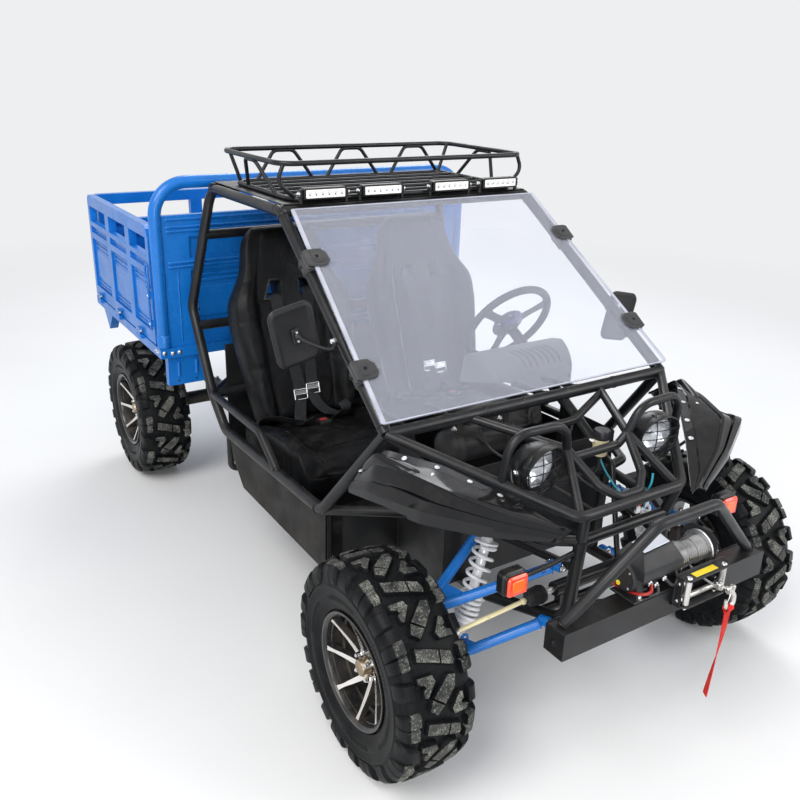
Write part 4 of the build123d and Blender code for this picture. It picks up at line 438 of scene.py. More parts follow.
def make_stage():
    """A pale floor under an even sky, and four soft lamps."""
    n = Nodes("stage_floor")
    tone = n.mix(n.span(n.noise(0.6, 3), 0.3, 0.7), (0.80, 0.80, 0.79), (0.77, 0.77, 0.765))
    matt = n.new("ShaderNodeBsdfDiffuse")
    n.put(matt.inputs["Color"], tone)
    glow = n.new("ShaderNodeEmission")
    n.put(glow.inputs["Color"], PALE)
    far = n.new("ShaderNodeVectorMath", operation="LENGTH")
    n.put(far.inputs[0], n.place)
    blend = n.new("ShaderNodeMixShader")
    n.put(blend.inputs[0], n.times(n.span(far.outputs["Value"], *FADE), seen_rays(n.tree)))
    n.put(blend.inputs[1], matt.outputs[0])
    n.put(blend.inputs[2], glow.outputs[0])
    n.finish(blend.outputs[0])
    mesh = bpy.data.meshes.new("stage_floor")
    corners = [(FLOOR_REACH * x, FLOOR_REACH * y, 0) for x, y in ((-1, -1), (1, -1), (1, 1), (-1, 1))]
    mesh.from_pydata(corners, [], [(0, 1, 2, 3)])
    mesh.materials.append(n.material)
    floor = bpy.data.objects.new("stage_floor", mesh)
    bpy.context.scene.collection.objects.link(floor)
    world = bpy.data.worlds.new("sky")
    bpy.context.scene.world = world
    world.use_nodes = True
    tree = world.node_tree
    tree.nodes["Background"].inputs[0].default_value = (0.90, 0.93, 1, 1)
    tree.nodes["Background"].inputs[1].default_value = 0.62
    backdrop = tree.nodes.new("ShaderNodeBackground")
    backdrop.inputs[0].default_value = (*PALE, 1)
    blend = tree.nodes.new("ShaderNodeMixShader")
    tree.links.new(seen_rays(tree), blend.inputs[0])
    tree.links.new(tree.nodes["Background"].outputs[0], blend.inputs[1])
    tree.links.new(backdrop.outputs[0], blend.inputs[2])
    tree.links.new(blend.outputs[0], tree.nodes["World Output"].inputs["Surface"])
    middle = (0, 0, 0.7)
    soft_lamp("key", (2.2, -4.2, 5.2), middle, 3.5, 310, (1, 0.985, 0.96))
    soft_lamp("fill", (4.5, 3.5, 3.5), middle, 3, 120)
    soft_lamp("back", (-4, 2.5, 5), middle, 3.5, 190, (0.96, 0.98, 1))
    soft_lamp("low", (4.4, -2.4, 1.5), (1, -0.3, 0.5), 2.2, 60)


def stand(origin, up, ahead=Z):
    """Axes at an origin: local Z along up, local X as near to ahead as it can be."""
    z = Vector(up).normalized()
    x = Vector(ahead) - z * z.dot(Vector(ahead))
    if x.length < 1e-6:
        x = z.orthogonal()
    x.normalize()
    y = z.cross(x)
    return Matrix.Translation(origin) @ Matrix((x, y, z)).transposed().to_4x4()


def lerp(a, b, share):
    """The point at a share of the way from a to b."""
    return Vector(a) + (Vector(b) - Vector(a)) * share


def turns(count, start=0):
    """Angles that share out a full turn."""
    return [2 * pi * (step + start) / count for step in range(count)]


def polar(radius, turn, height):
    """The point at a radius and an angle about the Z axis."""
    return radius * cos(turn), radius * sin(turn), height


def inset(outline, by):
    """A closed outline moved inwards at each corner; the outline runs anticlockwise."""
    moved = []
    for i, here in enumerate(outline):
        before, after = Vector(outline[i - 1]), Vector(outline[(i + 1) % len(outline)])
        here = Vector(here)
        one, two = (here - before).normalized(), (after - here).normalized()
        mitre = Vector((-one.y - two.y, one.x + two.x))
        scale = 1 + one.dot(two)
        moved.append(here + mitre * (by / max(scale, 0.35)))
    return moved


def rounded(wide, high, radius, steps=5):
    """A rectangle with round corners about the middle, anticlockwise."""
    points = []
    for corner, (sx, sy) in enumerate(((1, 1), (-1, 1), (-1, -1), (1, -1))):
        for step in range(steps + 1):
            turn = pi / 2 * (corner + step / steps)
            points.append((sx * (wide / 2 - radius) + radius * cos(turn),
                sy * (high / 2 - radius) + radius * sin(turn)))
    return points


def smooth_path(points, steps=8):
    """Points along a smooth line through the given ones."""
    pts = [Vector(p) for p in points]
    ends = [pts[0] * 2 - pts[1]] + pts + [pts[-1] * 2 - pts[-2]]
    line = []
    for a, b, c, d in zip(ends, ends[1:], ends[2:], ends[3:]):
        for step in range(steps):
            t = step / steps
            line.append(0.5 * (2 * b + (c - a) * t + (2 * a - 5 * b + 4 * c - d) * t * t
                + (3 * b - a - 3 * c + d) * t ** 3))
    return line + [pts[-1]]


SIDES = (("left", 1), ("right", -1))


class Form:
    """One piece under way, in millimetres: faces gathered from simple shapes, each with its material."""

    def __init__(self, side=1):
        self.side = side
        self.verts, self.faces, self.paint, self.names = [], [], [], []
        self.home()

    def home(self):
        """Back to the part's own axes."""
        self.at = Matrix.Identity(4)

    def stand(self, *axes):
        """Go on in axes that stand at an origin."""
        self.at = stand(*axes)

    def add(self, verts, faces, paint):
        """Take in vertices, given in the local axes, and their faces."""
        if paint not in self.names:
            self.names.append(paint)
        base = len(self.verts)
        for vert in verts:
            x, y, z = (self.at @ Vector(vert)) * MM
            self.verts.append((x, y * self.side, z))
        self.faces += [tuple(base + i for i in face) for face in faces]
        self.paint += [self.names.index(paint)] * len(faces)

    def skin(self, rows, paint, ring=True, caps=True, loop=False):
        """Quads through rows of points. ring closes each row, loop joins the last row to the first."""
        wide = len(rows[0])
        count = len(rows)
        faces = []
        for i in range(count if loop else count - 1):
            for j in range(wide if ring else wide - 1):
                k, n = (j + 1) % wide, (i + 1) % count
                faces.append((i * wide + j, i * wide + k, n * wide + k, n * wide + j))
        if ring and caps and not loop:
            faces.append(tuple(range(wide))[::-1])
            faces.append(tuple((count - 1) * wide + j for j in range(wide)))
        self.add([p for row in rows for p in row], faces, paint)

    def lathe(self, profile, paint, steps=40, caps=True, loop=False):
        """Turn a profile of (height, radius) about the local Z axis."""
        rows = [[polar(radius, turn, height) for turn in turns(steps)] for height, radius in profile]
        self.skin(rows, paint, caps=caps, loop=loop)

    def pipe(self, points, radius, paint, sides=12, loop=False, flat=None):
        """A round bar along points; flat gives (half width, half thickness, width axis) of a strip."""
        pts = [Vector(p) for p in points]
        count = len(pts)
        rows, side = [], None
        for i, here in enumerate(pts):
            ahead = pts[(i + 1) % count] if loop or i < count - 1 else here
            behind = pts[i - 1] if loop or i else here
            run = (ahead - behind).normalized()
            if flat:
                side = Vector(flat[2](i / (count - 1)) if callable(flat[2]) else flat[2])
            elif side is None:
                side = run.orthogonal()
            side = (side - run * run.dot(side)).normalized()
            other = run.cross(side)
            reach = radius(i / (count - 1)) if callable(radius) else radius
            ring = []
            for turn in turns(sides):
                if flat:
                    wide = flat[0] * max(-1, min(1, 1.35 * cos(turn)))
                    thick = flat[1] * max(-1, min(1, 1.35 * sin(turn)))
                    ring.append(here + side * wide + other * thick)
                else:
                    ring.append(here + side * (reach * cos(turn)) + other * (reach * sin(turn)))
            rows.append(ring)
        self.skin(rows, paint, loop=loop)

    def cable(self, points, radius, paint, sides=12):
        """A round bar along the smooth line through points."""
        self.pipe(smooth_path(points), radius, paint, sides)

    def prism(self, outline, low, high, paint, soft=1):
        """An outline in local X and Y, raised from low to high with softened edges."""
        soft = min(soft, (high - low) * 0.45)
        small = inset(outline, soft)
        levels = ((small, low), (outline, low + soft), (outline, high - soft), (small, high))
        self.skin([[(p[0], p[1], z) for p in ring] for ring, z in levels], paint)

    def block(self, low, high, paint, soft=1):
        """A box between two corners, with softened edges."""
        low, high = Vector(low), Vector(high)
        outline = [(low.x, low.y), (high.x, low.y), (high.x, high.y), (low.x, high.y)]
        self.prism(outline, low.z, high.z, paint, soft)

    def bar(self, start, end, radius, paint, sides=16, soft=0.8):
        """A straight round bar with softened ends."""
        keep = self.at
        run = Vector(end) - Vector(start)
        self.at = keep @ stand(start, run)
        long = run.length
        soft = min(soft, radius * 0.5, long * 0.4)
        self.lathe(((0, radius - soft), (soft, radius), (long - soft, radius), (long, radius - soft)),
            paint, sides)
        self.at = keep

    def bolt(self, origin, up, size=8, paint="bright_zinc", washer=True):
        """A hexagon head on its washer; size is the head's half width."""
        keep = self.at
        self.at = keep @ stand(origin, up)
        if washer:
            self.lathe(((0, size * 1.5), (size * 0.2, size * 1.5), (size * 0.25, size * 1.4)), paint, 20)
        self.lathe(((0, size), (size * 0.9, size), (size * 1.1, size * 0.86)), paint, 6)
        self.lathe(((size * 1.1, size * 0.55), (size * 1.5, size * 0.5)), paint, 12)
        self.at = keep

    def dome(self, origin, up, size, paint, high=0.5, steps=16):
        """A round head, such as a rivet's; high is its height as a share of its radius."""
        keep = self.at
        self.at = keep @ stand(origin, up)
        rise = [pi / 2 * i / 5 for i in range(6)]
        profile = [(size * high * sin(t), max(size * cos(t), size * 0.03)) for t in rise]
        self.lathe([(-size * 0.2, size)] + profile, paint, steps)
        self.at = keep

    def ring(self, origin, up, radius, wire, paint, steps=40, sides=10):
        """A round wire bent to a closed ring about an axis."""
        keep = self.at
        self.at = keep @ stand(origin, up)
        profile = [(wire * sin(turn), radius + wire * cos(turn)) for turn in turns(sides)]
        self.lathe(profile, paint, steps, loop=True)
        self.at = keep

    def piece(self, name, slot, *stands_for, body="chassis", sharp=38):
        """Make the piece, seat it on its body and hide the nodes it stands for."""
        mesh = bpy.data.meshes.new(name)
        mesh.from_pydata(self.verts, [], self.faces)
        for material in self.names:
            mesh.materials.append(FINISHES[material])
        mesh.polygons.foreach_set("material_index", self.paint)
        work = bmesh.new()
        work.from_mesh(mesh)
        bmesh.ops.remove_doubles(work, verts=work.verts, dist=1e-6)
        bmesh.ops.recalc_face_normals(work, faces=work.faces)
        work.to_mesh(mesh)
        work.free()
        mesh.shade_smooth()
        mesh.set_sharp_from_angle(angle=radians(sharp))
        piece = bpy.data.objects.new(name, mesh)
        bpy.context.scene.collection.objects.link(piece)
        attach(piece, body)
        if stands_for:
            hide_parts(*stands_for)
        return piece


FRONT_AXLE_X = 1075
REAR_AXLE_X = -1105
# Wheels: name, x, half track, side.
WHEELS = (("front_left", FRONT_AXLE_X, 677, 1), ("front_right", FRONT_AXLE_X, 677, -1),
    ("rear_left", REAR_AXLE_X, 668, 1), ("rear_right", REAR_AXLE_X, 668, -1))
TYRE_RADIUS = 317.5
PITCHES = 10
PITCH = 2 * pi * TYRE_RADIUS / PITCHES
TREAD_DEPTH = 17
# Radius between the tread blocks, in the middle.
BASE_RADIUS = 300.5
CROWN_DROP = 10
TREAD_EDGE = 95
# Side of the tyre from the tread to the bead: distance from the middle, radius.
SIDEWALL = ((40, 299.6), (72, 296.5), (90, 290), (101.5, 278.5), (107.5, 263), (110.6, 250), (112.2, 247.6),
    (112.8, 245), (112.2, 242.4), (110.8, 240), (110.6, 226), (109.6, 223.8), (109.6, 221), (110, 218.5),
    (108.4, 206), (104, 193), (99.5, 185.5), (98.6, 181), (96, 175.2), (89, 171), (89, 161))
# Tread blocks of one pitch: corners as (distance along, distance from the middle).
BARS = (
    ((-36, 50), (-3, 54), (19, -8), (-15, -13)),
    ((-13, -17), (21, -12), (33, -44), (24, -50), (-1, -46)),
    ((102, 33), (128, 44), (146, 24), (126, 2)),
    ((123, -1), (98, 29), (52, -22), (58, -42), (86, -36)),
)
# Blocks that come twice in a pitch, the second turned half round.
PAIRED = (
    ((36, 66), (38, 24), (56, 18), (93, 45), (90, 53), (72, 55), (66, 46), (58, 50),
     (52, 66)),
)
# Shoulder blocks: from and to at the tread and at their foot, height they reach on the tread,
# and whether the top is dusty.
SHOULDERS = ((-66, -34, -60, -22, 70, "tread_top"), (-26, 8, -22, 16, 74, "tread_top"),
    (46, 88, 40, 92, 78, "tread_wall"))
# Lines of a shoulder block from the tread down the side: distance from the middle, radius.
SHOULDER_OUT = ((84, 309), (98, 304.5), (107, 296), (112, 282), (113.7, 268), (112.4, 254))
SHOULDER_IN = ((78, 291), (88, 287), (95, 280), (101, 272), (104, 262), (107, 252))


def crown(v):
    """Radius of the tread's outside at a distance from the middle."""
    return TYRE_RADIUS - 0.3 - CROWN_DROP * (abs(v) / TREAD_EDGE) ** 2.4


def tread_block(form, corners, start):
    """One tread block: walls that lean in a little, a softened rim and a dusty top."""
    outline = [Vector(corner) for corner in corners]
    area = sum(a.x * b.y - b.x * a.y for a, b in zip(outline, outline[1:] + outline[:1]))
    if area < 0:
        outline.reverse()
    rows = []
    for by, drop in ((-4.5, TREAD_DEPTH + 4), (-1.5, 6), (0, 1.8), (1.5, 0)):
        ring = []
        for point in inset(outline, by):
            turn = start + point.x / TYRE_RADIUS
            reach = crown(point.y) - drop
            ring.append(polar(reach, turn, point.y))
        rows.append(ring)
    form.skin(rows[:3], "tread_wall", caps=False)
    form.skin(rows[2:], "tread_top", caps=False)
    form.add(rows[-1], [tuple(range(len(outline)))], "tread_top")


def shoulder_block(form, row, start, hand):
    """One block that wraps from the tread's edge down the side."""
    top_from, top_to, foot_from, foot_to, inner, paint = row
    outer_line = [(inner, crown(inner) - 1.5)] + list(SHOULDER_OUT)
    base_line = [(inner - 3, 296)] + list(SHOULDER_IN)
    rows = []
    for i, (out, base) in enumerate(zip(outer_line, base_line)):
        share = i / (len(outer_line) - 1)
        low = top_from + (foot_from - top_from) * share
        high = top_to + (foot_to - top_to) * share
        lean = Vector(out) - Vector(base)
        edge = Vector(out) - lean.normalized() * 2.5
        ring = []
        for along, (v, r) in ((low - 5, base), (low, edge), (low + 2.5, out), (high - 2.5, out),
                (high, edge), (high + 5, base)):
            turn = start + along / TYRE_RADIUS
            ring.append((r * cos(turn), r * sin(turn), hand * v))
        rows.append(ring)
    form.skin(rows[:3], paint, caps=False)
    form.skin(rows[2:], "tread_wall", caps=False)
    for ring in (rows[0], rows[-1]):
        form.add(ring, [tuple(range(len(ring)))], "tread_wall")


def make_tyre(name, x, y, side):
    """A tyre with its carcass, tread blocks and shoulder blocks, turned about its axle."""
    form = Form(side)
    form.stand((x, y, TYRE_RADIUS), Y, X)
    profile = [(z, r) for z, r in reversed(SIDEWALL)] + [(0, BASE_RADIUS)] + [(-z, r) for z, r in SIDEWALL]
    form.lathe(profile, "tyre_black", 120, caps=False)
    form.lathe(((89, 161), (-89, 161)), "tyre_black", 120, caps=False)
    for start in turns(PITCHES):
        for corners in BARS + PAIRED:
            tread_block(form, corners, start)
        for corners in PAIRED:
            tread_block(form, [(PITCH - s, -4 - v) for s, v in corners], start)
        # A thin rib beside each bar, and a groove edge between the shoulder blocks.
        for a, b in (((36, -4), (84, -52)), ((-30, 60), (30, 70))):
            line = []
            for share in (0, 0.25, 0.5, 0.75, 1):
                s, v = a[0] + (b[0] - a[0]) * share, a[1] + (b[1] - a[1]) * share
                turn = start + s / TYRE_RADIUS
                line.append((BASE_RADIUS * cos(turn) - 1, BASE_RADIUS * sin(turn), v) if abs(v) < 40
                    else polar(297.5, turn, v))
            form.pipe(line, 1.3, "tread_wall", 6)
        for row in SHOULDERS:
            shoulder_block(form, row, start, 1)
        for row in SHOULDERS:
            turned = (PITCH - row[1], PITCH - row[0], PITCH - row[3], PITCH - row[2], row[4], row[5])
            shoulder_block(form, turned, start, -1)
    # Short ribs in a ring on each side, as on a blank side wall.
    for hand in (1, -1):
        for rib in range(120):
            if rib % 20 < 13:
                turn = 2 * pi * rib / 120
                out, across = Vector((cos(turn), sin(turn), 0)), Vector((-sin(turn), cos(turn), 0))
                ring = [out * 205 + across * 1.2, out * 205 - across * 1.2, out * 217 - across * 1.2,
                    out * 217 + across * 1.2]
                low = [p + Vector((0, 0, hand * 106.5)) for p in ring]
                high = [p * 0.999 + Vector((0, 0, hand * (108.9 if p.length < 210 else 110.9)))
                    for p in ring]
                form.skin([low, high], "tread_wall", caps=True)
    form.piece(f"tread_{name}", "tyre_black", f"tyre_{name}", body=f"wheel_{name}", sharp=30)


SPOKES = 8
SPOKE_STEPS = 10
# Barrel of the rim, from the outer lip over the well to the inner lip, then back along the inside.
RIM_OUTSIDE = ((100.8, 164), (100.8, 169.5), (97.5, 169.8), (95.5, 166.5), (93, 160), (70, 158.5),
    (50, 156), (30, 144), (-40, 144), (-60, 156), (-93, 160), (-96, 169), (-100.5, 169.5), (-100.5, 164))
RIM_INSIDE = ((-96, 156), (-70, 150), (-40, 138.5), (22, 138.5), (26, 141), (40, 141), (44, 149), (76, 152),
    (78, 154.5), (92, 155.5), (97, 158))
HUB_FACE = 50
SPOKE_OUT = 153
# The spokes are straight and pass the middle at this distance.
SPOKE_OFFSET = 24


def make_rim(name, x, y, side):
    """A rim with a deep barrel, thin curved machined spokes, a capped hub and its nuts."""
    form = Form(side)
    form.stand((x, y, TYRE_RADIUS), Y, X)
    form.lathe(RIM_OUTSIDE + RIM_INSIDE, "rim_metal", 96, loop=True)
    for turn in turns(SPOKES):
        face, wall = [], []
        for step in range(SPOKE_STEPS + 1):
            share = step / SPOKE_STEPS
            reach = 32 + (SPOKE_OUT - 32) * share
            angle = turn - asin(SPOKE_OFFSET / reach)
            wide = 10.5 - 5.5 * min(share * 1.2, 1) + (2.5 * (share - 0.85) / 0.15 if share > 0.85 else 0)
            high = HUB_FACE - 4 + 46 * share ** 1.25
            out = Vector((cos(angle), sin(angle), 0))
            along = Vector((-sin(angle), cos(angle), 0))
            middle = out * reach + Vector((0, 0, high))
            face.append((middle - along * wide, middle + along * wide))
            wall.append((middle - along * (wide + 2.5), middle + along * (wide + 2.5)))
        rows = []
        for (a, b), (c, d) in zip(face, wall):
            down, deep = Vector((0, 0, -3)), Vector((0, 0, -20))
            rows.append([a, b, b + (d - b) * 0.3 + down, d + deep, c + deep, a + (c - a) * 0.3 + down])
        form.skin([[row[0], row[1]] for row in rows], "machined", ring=False)
        form.skin([[row[1], row[2], row[3], row[4], row[5], row[0]] for row in rows], "rim_metal",
            ring=False)
        for row in (rows[0], rows[-1]):
            form.add(row, [tuple(range(6))], "rim_metal")
    form.lathe(((-70, 42), (10, 42), (26, 52), (38, 52), (HUB_FACE - 6, 47), (HUB_FACE - 3, 40),
        (HUB_FACE - 3, 20)), "rim_metal", 48)
    form.lathe(((HUB_FACE - 6, 27), (HUB_FACE + 16, 25.5), (HUB_FACE + 22, 23), (HUB_FACE + 24, 18),
        (HUB_FACE + 23, 16), (HUB_FACE + 25, 9), (HUB_FACE + 25.5, 2)), "bronze", 32)
    for turn in turns(4, 0.5):
        keep = form.at
        form.at = keep @ Matrix.Translation(polar(35.5, turn, HUB_FACE - 5))
        form.lathe(((0, 11), (3, 11), (4, 9), (15, 9), (18, 7.6), (24, 6.4), (27, 3)), "bright_zinc", 6)
        form.at = keep
    form.lathe(((-62, 40), (-62, 100), (-56, 100), (-56, 40)), "zinc_steel", 48)
    form.at = form.at @ stand((143, 20, 62), (-0.45, 0, 1))
    form.lathe(((-12, 6), (0, 5.5), (4, 4.2), (18, 4), (22, 5), (32, 4.6)), "cable_black", 12)
    form.piece(f"rim_detail_{name}", "rim_metal", f"rim_{name}", body=f"wheel_{name}", sharp=32)


def make_wheels():
    """The four wheels."""
    for wheel in WHEELS:
        make_tyre(*wheel)
        make_rim(*wheel)


# Nose: lamps, turn signals, winch, fairlead, hook, springs and small parts.
LAMP = (1150, 235, 851)
LAMP_TOE = 8
GUARD_RADIUS = 70
SHOCK_LOW = (1093, 414.15, 315.57)
SHOCK_HIGH = (1056, 300, 615.7)
COIL_RADIUS = 31
COIL_WIRE = 5.3
COIL_TURNS = 10.2
WINCH = (1436, 20, 622)
# Ends of the winch, motor and gearbox, along Y.
MOTOR_END = -150
GEAR_END = 192


def faceted_bowl(form, levels, steps, paint):
    """A bowl of flat triangles through rings of (height, radius), each turned by half a step."""
    verts, faces = [], []
    for i, (height, radius) in enumerate(levels):
        for j in range(steps):
            turn = 2 * pi * (j + 0.5 * (i % 2)) / steps
            verts.append(polar(radius, turn, height))
    for i in range(len(levels) - 1):
        for j in range(steps):
            k = (j + 1) % steps
            a, b, c, d = i * steps + j, i * steps + k, (i + 1) * steps + j, (i + 1) * steps + k
            faces += [(a, b, c), (b, d, c)] if i % 2 == 0 else [(a, b, d), (a, d, c)]
    form.add(verts, faces, paint)


def lamp_bucket(form):
    """The bucket with its visor, bracket and bolts, about the lamp's axis."""
    form.lathe(((-55, 1), (-55, 24), (-51, 38), (-38, 53), (-16, 66), (-2, 72), (4, 73.5), (33, 74),
        (35, 73.2), (35.3, 70), (34, 68.4), (14, 66.5), (13, 60)), "lamp_black", 64, caps=False)
    rows = []
    for step in range(33):
        turn = radians(-96 + 6 * step)
        out = max(22 * cos(turn), 0) + 0.4
        rows.append([polar(r, turn, z) for r, z in ((73.8, 33), (74.4, 35 + out), (72.4, 36.4 + out),
            (70, 35.6 + out), (68.6, 33))])
    form.skin(rows, "lamp_black")
    for turn in (20, 110, 200, 290):
        here = Vector((cos(radians(turn)), sin(radians(turn)), 0))
        form.pipe([here * 70 + Vector((0, 0, 41)), here * 77 + Vector((0, 0, 40)),
            here * 77.5 + Vector((0, 0, 30)), here * 75 + Vector((0, 0, 20))], 1.6, "cable_black", 8)
    strap = [polar(74.5, radians(a), 0) for a in range(90, 271, 12)]
    form.pipe(strap, 0, "cast_black", 12, flat=(12, 1.6, Z))
    for hand in (1, -1):
        form.bolt((0, hand * 75.5, 0), (0, hand, 0), 6.5)
        form.dome((-66, hand * 46, 12), (-0.8, hand * 0.5, 0.4), 5, "bright_zinc", 0.8)
    form.bolt((-57, 52, -16), (-0.2, 0.5, -0.8), 6)


def lamp_guard(form):
    """A domed guard of thin bars in front of the glass."""
    form.ring((0, 0, 40), Z, GUARD_RADIUS, 2.3, "lamp_black", 56, 8)
    for place, along in [(x, 1) for x in (-52, -26, 0, 26, 52)] + [(y, 0) for y in (-24, 24)]:
        half = sqrt(GUARD_RADIUS ** 2 - place ** 2)
        line = []
        for step in range(13):
            other = half * (step / 6 - 1)
            high = 40 + 12 * (1 - (place ** 2 + other ** 2) / GUARD_RADIUS ** 2) + (0 if along else 2.6)
            line.append((place, other, high) if along else (other, place, high))
        form.pipe(line, 1.5, "lamp_black", 8)


def make_headlamps():
    """The two headlamps: bucket with guard, faceted reflector and glass."""
    aim = (cos(radians(LAMP_TOE)), -sin(radians(LAMP_TOE)), 0)
    for name, side in SIDES:
        form = Form(side)
        form.stand(LAMP, aim)
        lamp_bucket(form)
        lamp_guard(form)
        form.home()
        x, y, _ = LAMP
        form.block((x - 18, y - 14, 771.3), (x + 8, y + 14, 782), "cast_black", 2)
        form.bolt((x - 5, y, 764), (0, 0, -1), 7)
        form.cable([(x - 53, y, 846), (x - 80, y + 8, 812), (x - 60, y + 22, 778), (x - 8, y + 30, 758)],
            3.6, "cable_black", 8)
        form.piece(f"lamp_bucket_{name}", "lamp_chrome", "headlamps")
        form = Form(side)
        form.stand(LAMP, aim)
        faceted_bowl(form, ((15, 67), (4, 63.5), (-8, 56), (-15, 45), (-22, 33), (-25, 21), (-24, 11)), 16,
            "lamp_chrome")
        form.piece(f"lamp_reflector_{name}", "lamp_chrome", "headlamps", sharp=1)
        form = Form(side)
        form.stand(LAMP, aim)
        form.lathe(((-26, 12), (-10, 11), (-6, 8.5), (-5, 1)), "bright_zinc", 24)
        form.lathe(((14, 67.4), (16, 66), (19, 58), (22.5, 40), (24.5, 20), (25, 1), (23.2, 1), (22.8, 20),
            (20.8, 39), (17.2, 57), (14, 64.5)), "lamp_glass", 48, loop=True)
        form.piece(f"lamp_glass_{name}", "lamp_chrome", "headlamps")


def make_indicators():
    """The two turn signals on their stays."""
    for name, side in SIDES:
        form = Form(side)
        form.stand((1288, 426, 629), X, Z)
        form.prism(rounded(70, 78, 15), 0, 34, "lamp_black", 6)
        form.prism(rounded(64, 72, 13), 33, 39, "lamp_black", 2)
        form.prism(rounded(60, 68, 12), 38, 50, "orange_lens", 6)
        form.prism(rounded(36, 42, 9), 49, 52, "orange_bright", 2)
        for row in range(-3, 4):
            form.block((row * 8 - 0.8, -28, 49), (row * 8 + 0.8, 28, 50.6), "orange_lens", 0.3)
        form.home()
        form.pipe([(1290, 178, 632), (1306, 300, 632), (1312, 398, 632)], 7.5, "black_tube", 14)
        form.bar((1310, 392, 631), (1312, 402, 630), 13, "lamp_black", 18, 3)
        form.cable([(1296, 392, 616), (1280, 360, 604), (1288, 300, 618), (1296, 220, 622),
            (1286, 190, 612)], 3, "cable_black", 8)
        for y in (225, 318):
            form.ring((1300 + (y - 225) * 0.07, y, 629), (0.1, 1, 0), 10.5, 1.2, "cable_black", 20, 6)
        form.piece(f"indicator_{name}", "lamp_black", "indicators")


def winch_drum(form):
    """The drum between its flanges, wound with steel rope."""
    for y in (22, 152):
        form.bar((WINCH[0], y, WINCH[2]), (WINCH[0], y + 6, WINCH[2]), 53.5, "bright_zinc", 64, 1.5)
        form.ring((WINCH[0], y + 3, WINCH[2]), Y, 51.5, 2.6, "bright_zinc", 64, 8)
    form.stand((WINCH[0], 28, WINCH[2]), Y)
    profile = [(0, 30)]
    for turn in range(15):
        middle = 4 + turn * 8.3
        reach = 38 if turn < 5 else (33 if turn < 10 else 36)
        for k in range(5):
            angle = pi * (k / 4)
            profile.append((middle - 4 * cos(angle), reach + 3.6 * sin(angle)))
    profile.append((124, 30))
    form.lathe(profile, "steel_rope", 64)
    form.home()


def make_winch():
    """The winch: motor, drum, gearbox, feet, relay box and cables."""
    form = Form()
    x, y, z = WINCH
    form.block((1400, MOTOR_END, 560.4), (1488, GEAR_END, 568), "winch_black", 2)
    winch_drum(form)
    form.bar((x, MOTOR_END, z), (x, 22, z), 43.5, "winch_black", 56, 5)
    form.bar((x, MOTOR_END - 0.4, z), (x, -146, z), 34, "cast_black", 40, 2)
    form.bar((x, 160, z), (x, GEAR_END, z), 44, "winch_black", 56, 6)
    form.bar((x, 186, z), (x, GEAR_END + 0.4, z), 26, "cast_black", 32, 2)
    # Guard plate beyond the drum, with its corners cut.
    form.stand((x, 158.2, z), Y, Z)
    plate = [(62, -34), (62, 34), (44, 58), (-30, 58), (-54, 40), (-54, -40), (-30, -58), (44, -58)]
    form.prism(plate, 0, 3, "winch_black", 0.8)
    form.home()
    for bolt_y, face in ((MOTOR_END - 1, -1), (GEAR_END + 1, 1)):
        for turn in (45, 135, 225, 315):
            place = (x + 33 * cos(radians(turn)), bolt_y - 4 * face, z + 33 * sin(radians(turn)))
            form.bolt(place, (0, face, 0), 4.6, washer=False)
    for foot_y in (-120, 176):
        outline = [(x - 40, 566), (x + 44, 566), (x + 38, z + 6), (x + 16, z + 12), (x - 16, z + 12),
            (x - 36, z + 6)]
        form.stand((0, foot_y + 12, 0), (0, -1, 0), X)
        form.prism(outline, 0, 24, "winch_black", 2.5)
        form.home()
        for bolt_x in (x - 28, x + 40):
            form.bolt((bolt_x, foot_y, 568), Z, 7)
    # Relay box over the motor, with a blank plate on its sloping top.
    base = [(1398, -140), (1500, -140), (1500, 13), (1398, 13)]
    crown = [(1410, -112, 702), (1464, -112, 692), (1468, -6, 704), (1412, -6, 715)]
    shoulder = [(px, py, 662 if px > 1450 else 676) for px, py in base]
    rows = [[(px, py, 633) for px, py in inset(base, 2)], [(px, py, 636) for px, py in base],
        [Vector(p) - Vector((0, 0, 3)) for p in shoulder]]
    rows += [[lerp(p, q, share) for p, q in zip(shoulder, crown)] for share in (0.1, 0.93)]
    rows.append([lerp(q, (1438, -60, 703.5), 0.04) + Vector((0, 0, 1.2)) for q in crown])
    form.skin(rows, "winch_black")
    plate = [lerp(q, (1438, -60, 703.3), 0.14) for q in crown]
    normal = (plate[1] - plate[0]).cross(plate[3] - plate[0]).normalized()
    form.skin([[p + normal * 1 for p in plate], [p + normal * 2.6 for p in plate],
        [lerp(p, (1438, -59, 703.5), 0.03) + normal * 3.2 for p in plate]], "plate_silver")
    # Terminals and their cables on the front of the motor.
    for ty, tz in ((-96, 612), (-70, 600), (-40, 610)):
        form.bar((1470, ty, tz), (1490, ty, tz), 7.5, "bright_zinc", 14, 1.5)
        form.bolt((1486, ty, tz), X, 5.5)
    form.cable([(1490, -40, 610), (1500, -28, 596), (1499, -8, 588), (1496, 2, 604), (1488, -6, 634)], 4.5,
        "cable_black", 12)
    form.cable([(1490, -70, 600), (1500, -76, 584), (1484, -94, 576), (1440, -112, 577), (1396, -118, 574)],
        4.5, "cable_black", 12)
    form.cable([(1490, -96, 612), (1502, -108, 600), (1488, -128, 590), (1440, -138, 580),
        (1392, -134, 574)], 4.5, "cable_red", 12)
    form.bar((1478.5, -62, 648), (1480.5, -62, 648), 5, "yellow_paint", 20)
    form.bar((1426, -150, 600), (1426, -153, 600), 7, "yellow_paint", 20)
    form.block((1404, -126, 584), (1476, -90, 590), "cast_black", 1.5)
    # Clutch lever on the gearbox.
    form.bar((x, 170, z + 40), (x, 170, z + 56), 7, "bright_zinc", 16, 1.5)
    form.block((x - 6, 164, z + 54), (x + 26, 176, z + 60), "winch_black", 1.8)
    form.piece("winch_body", "winch_black", "winch")


FAIR_X = 1491.3
FAIR_MIDDLE = 92


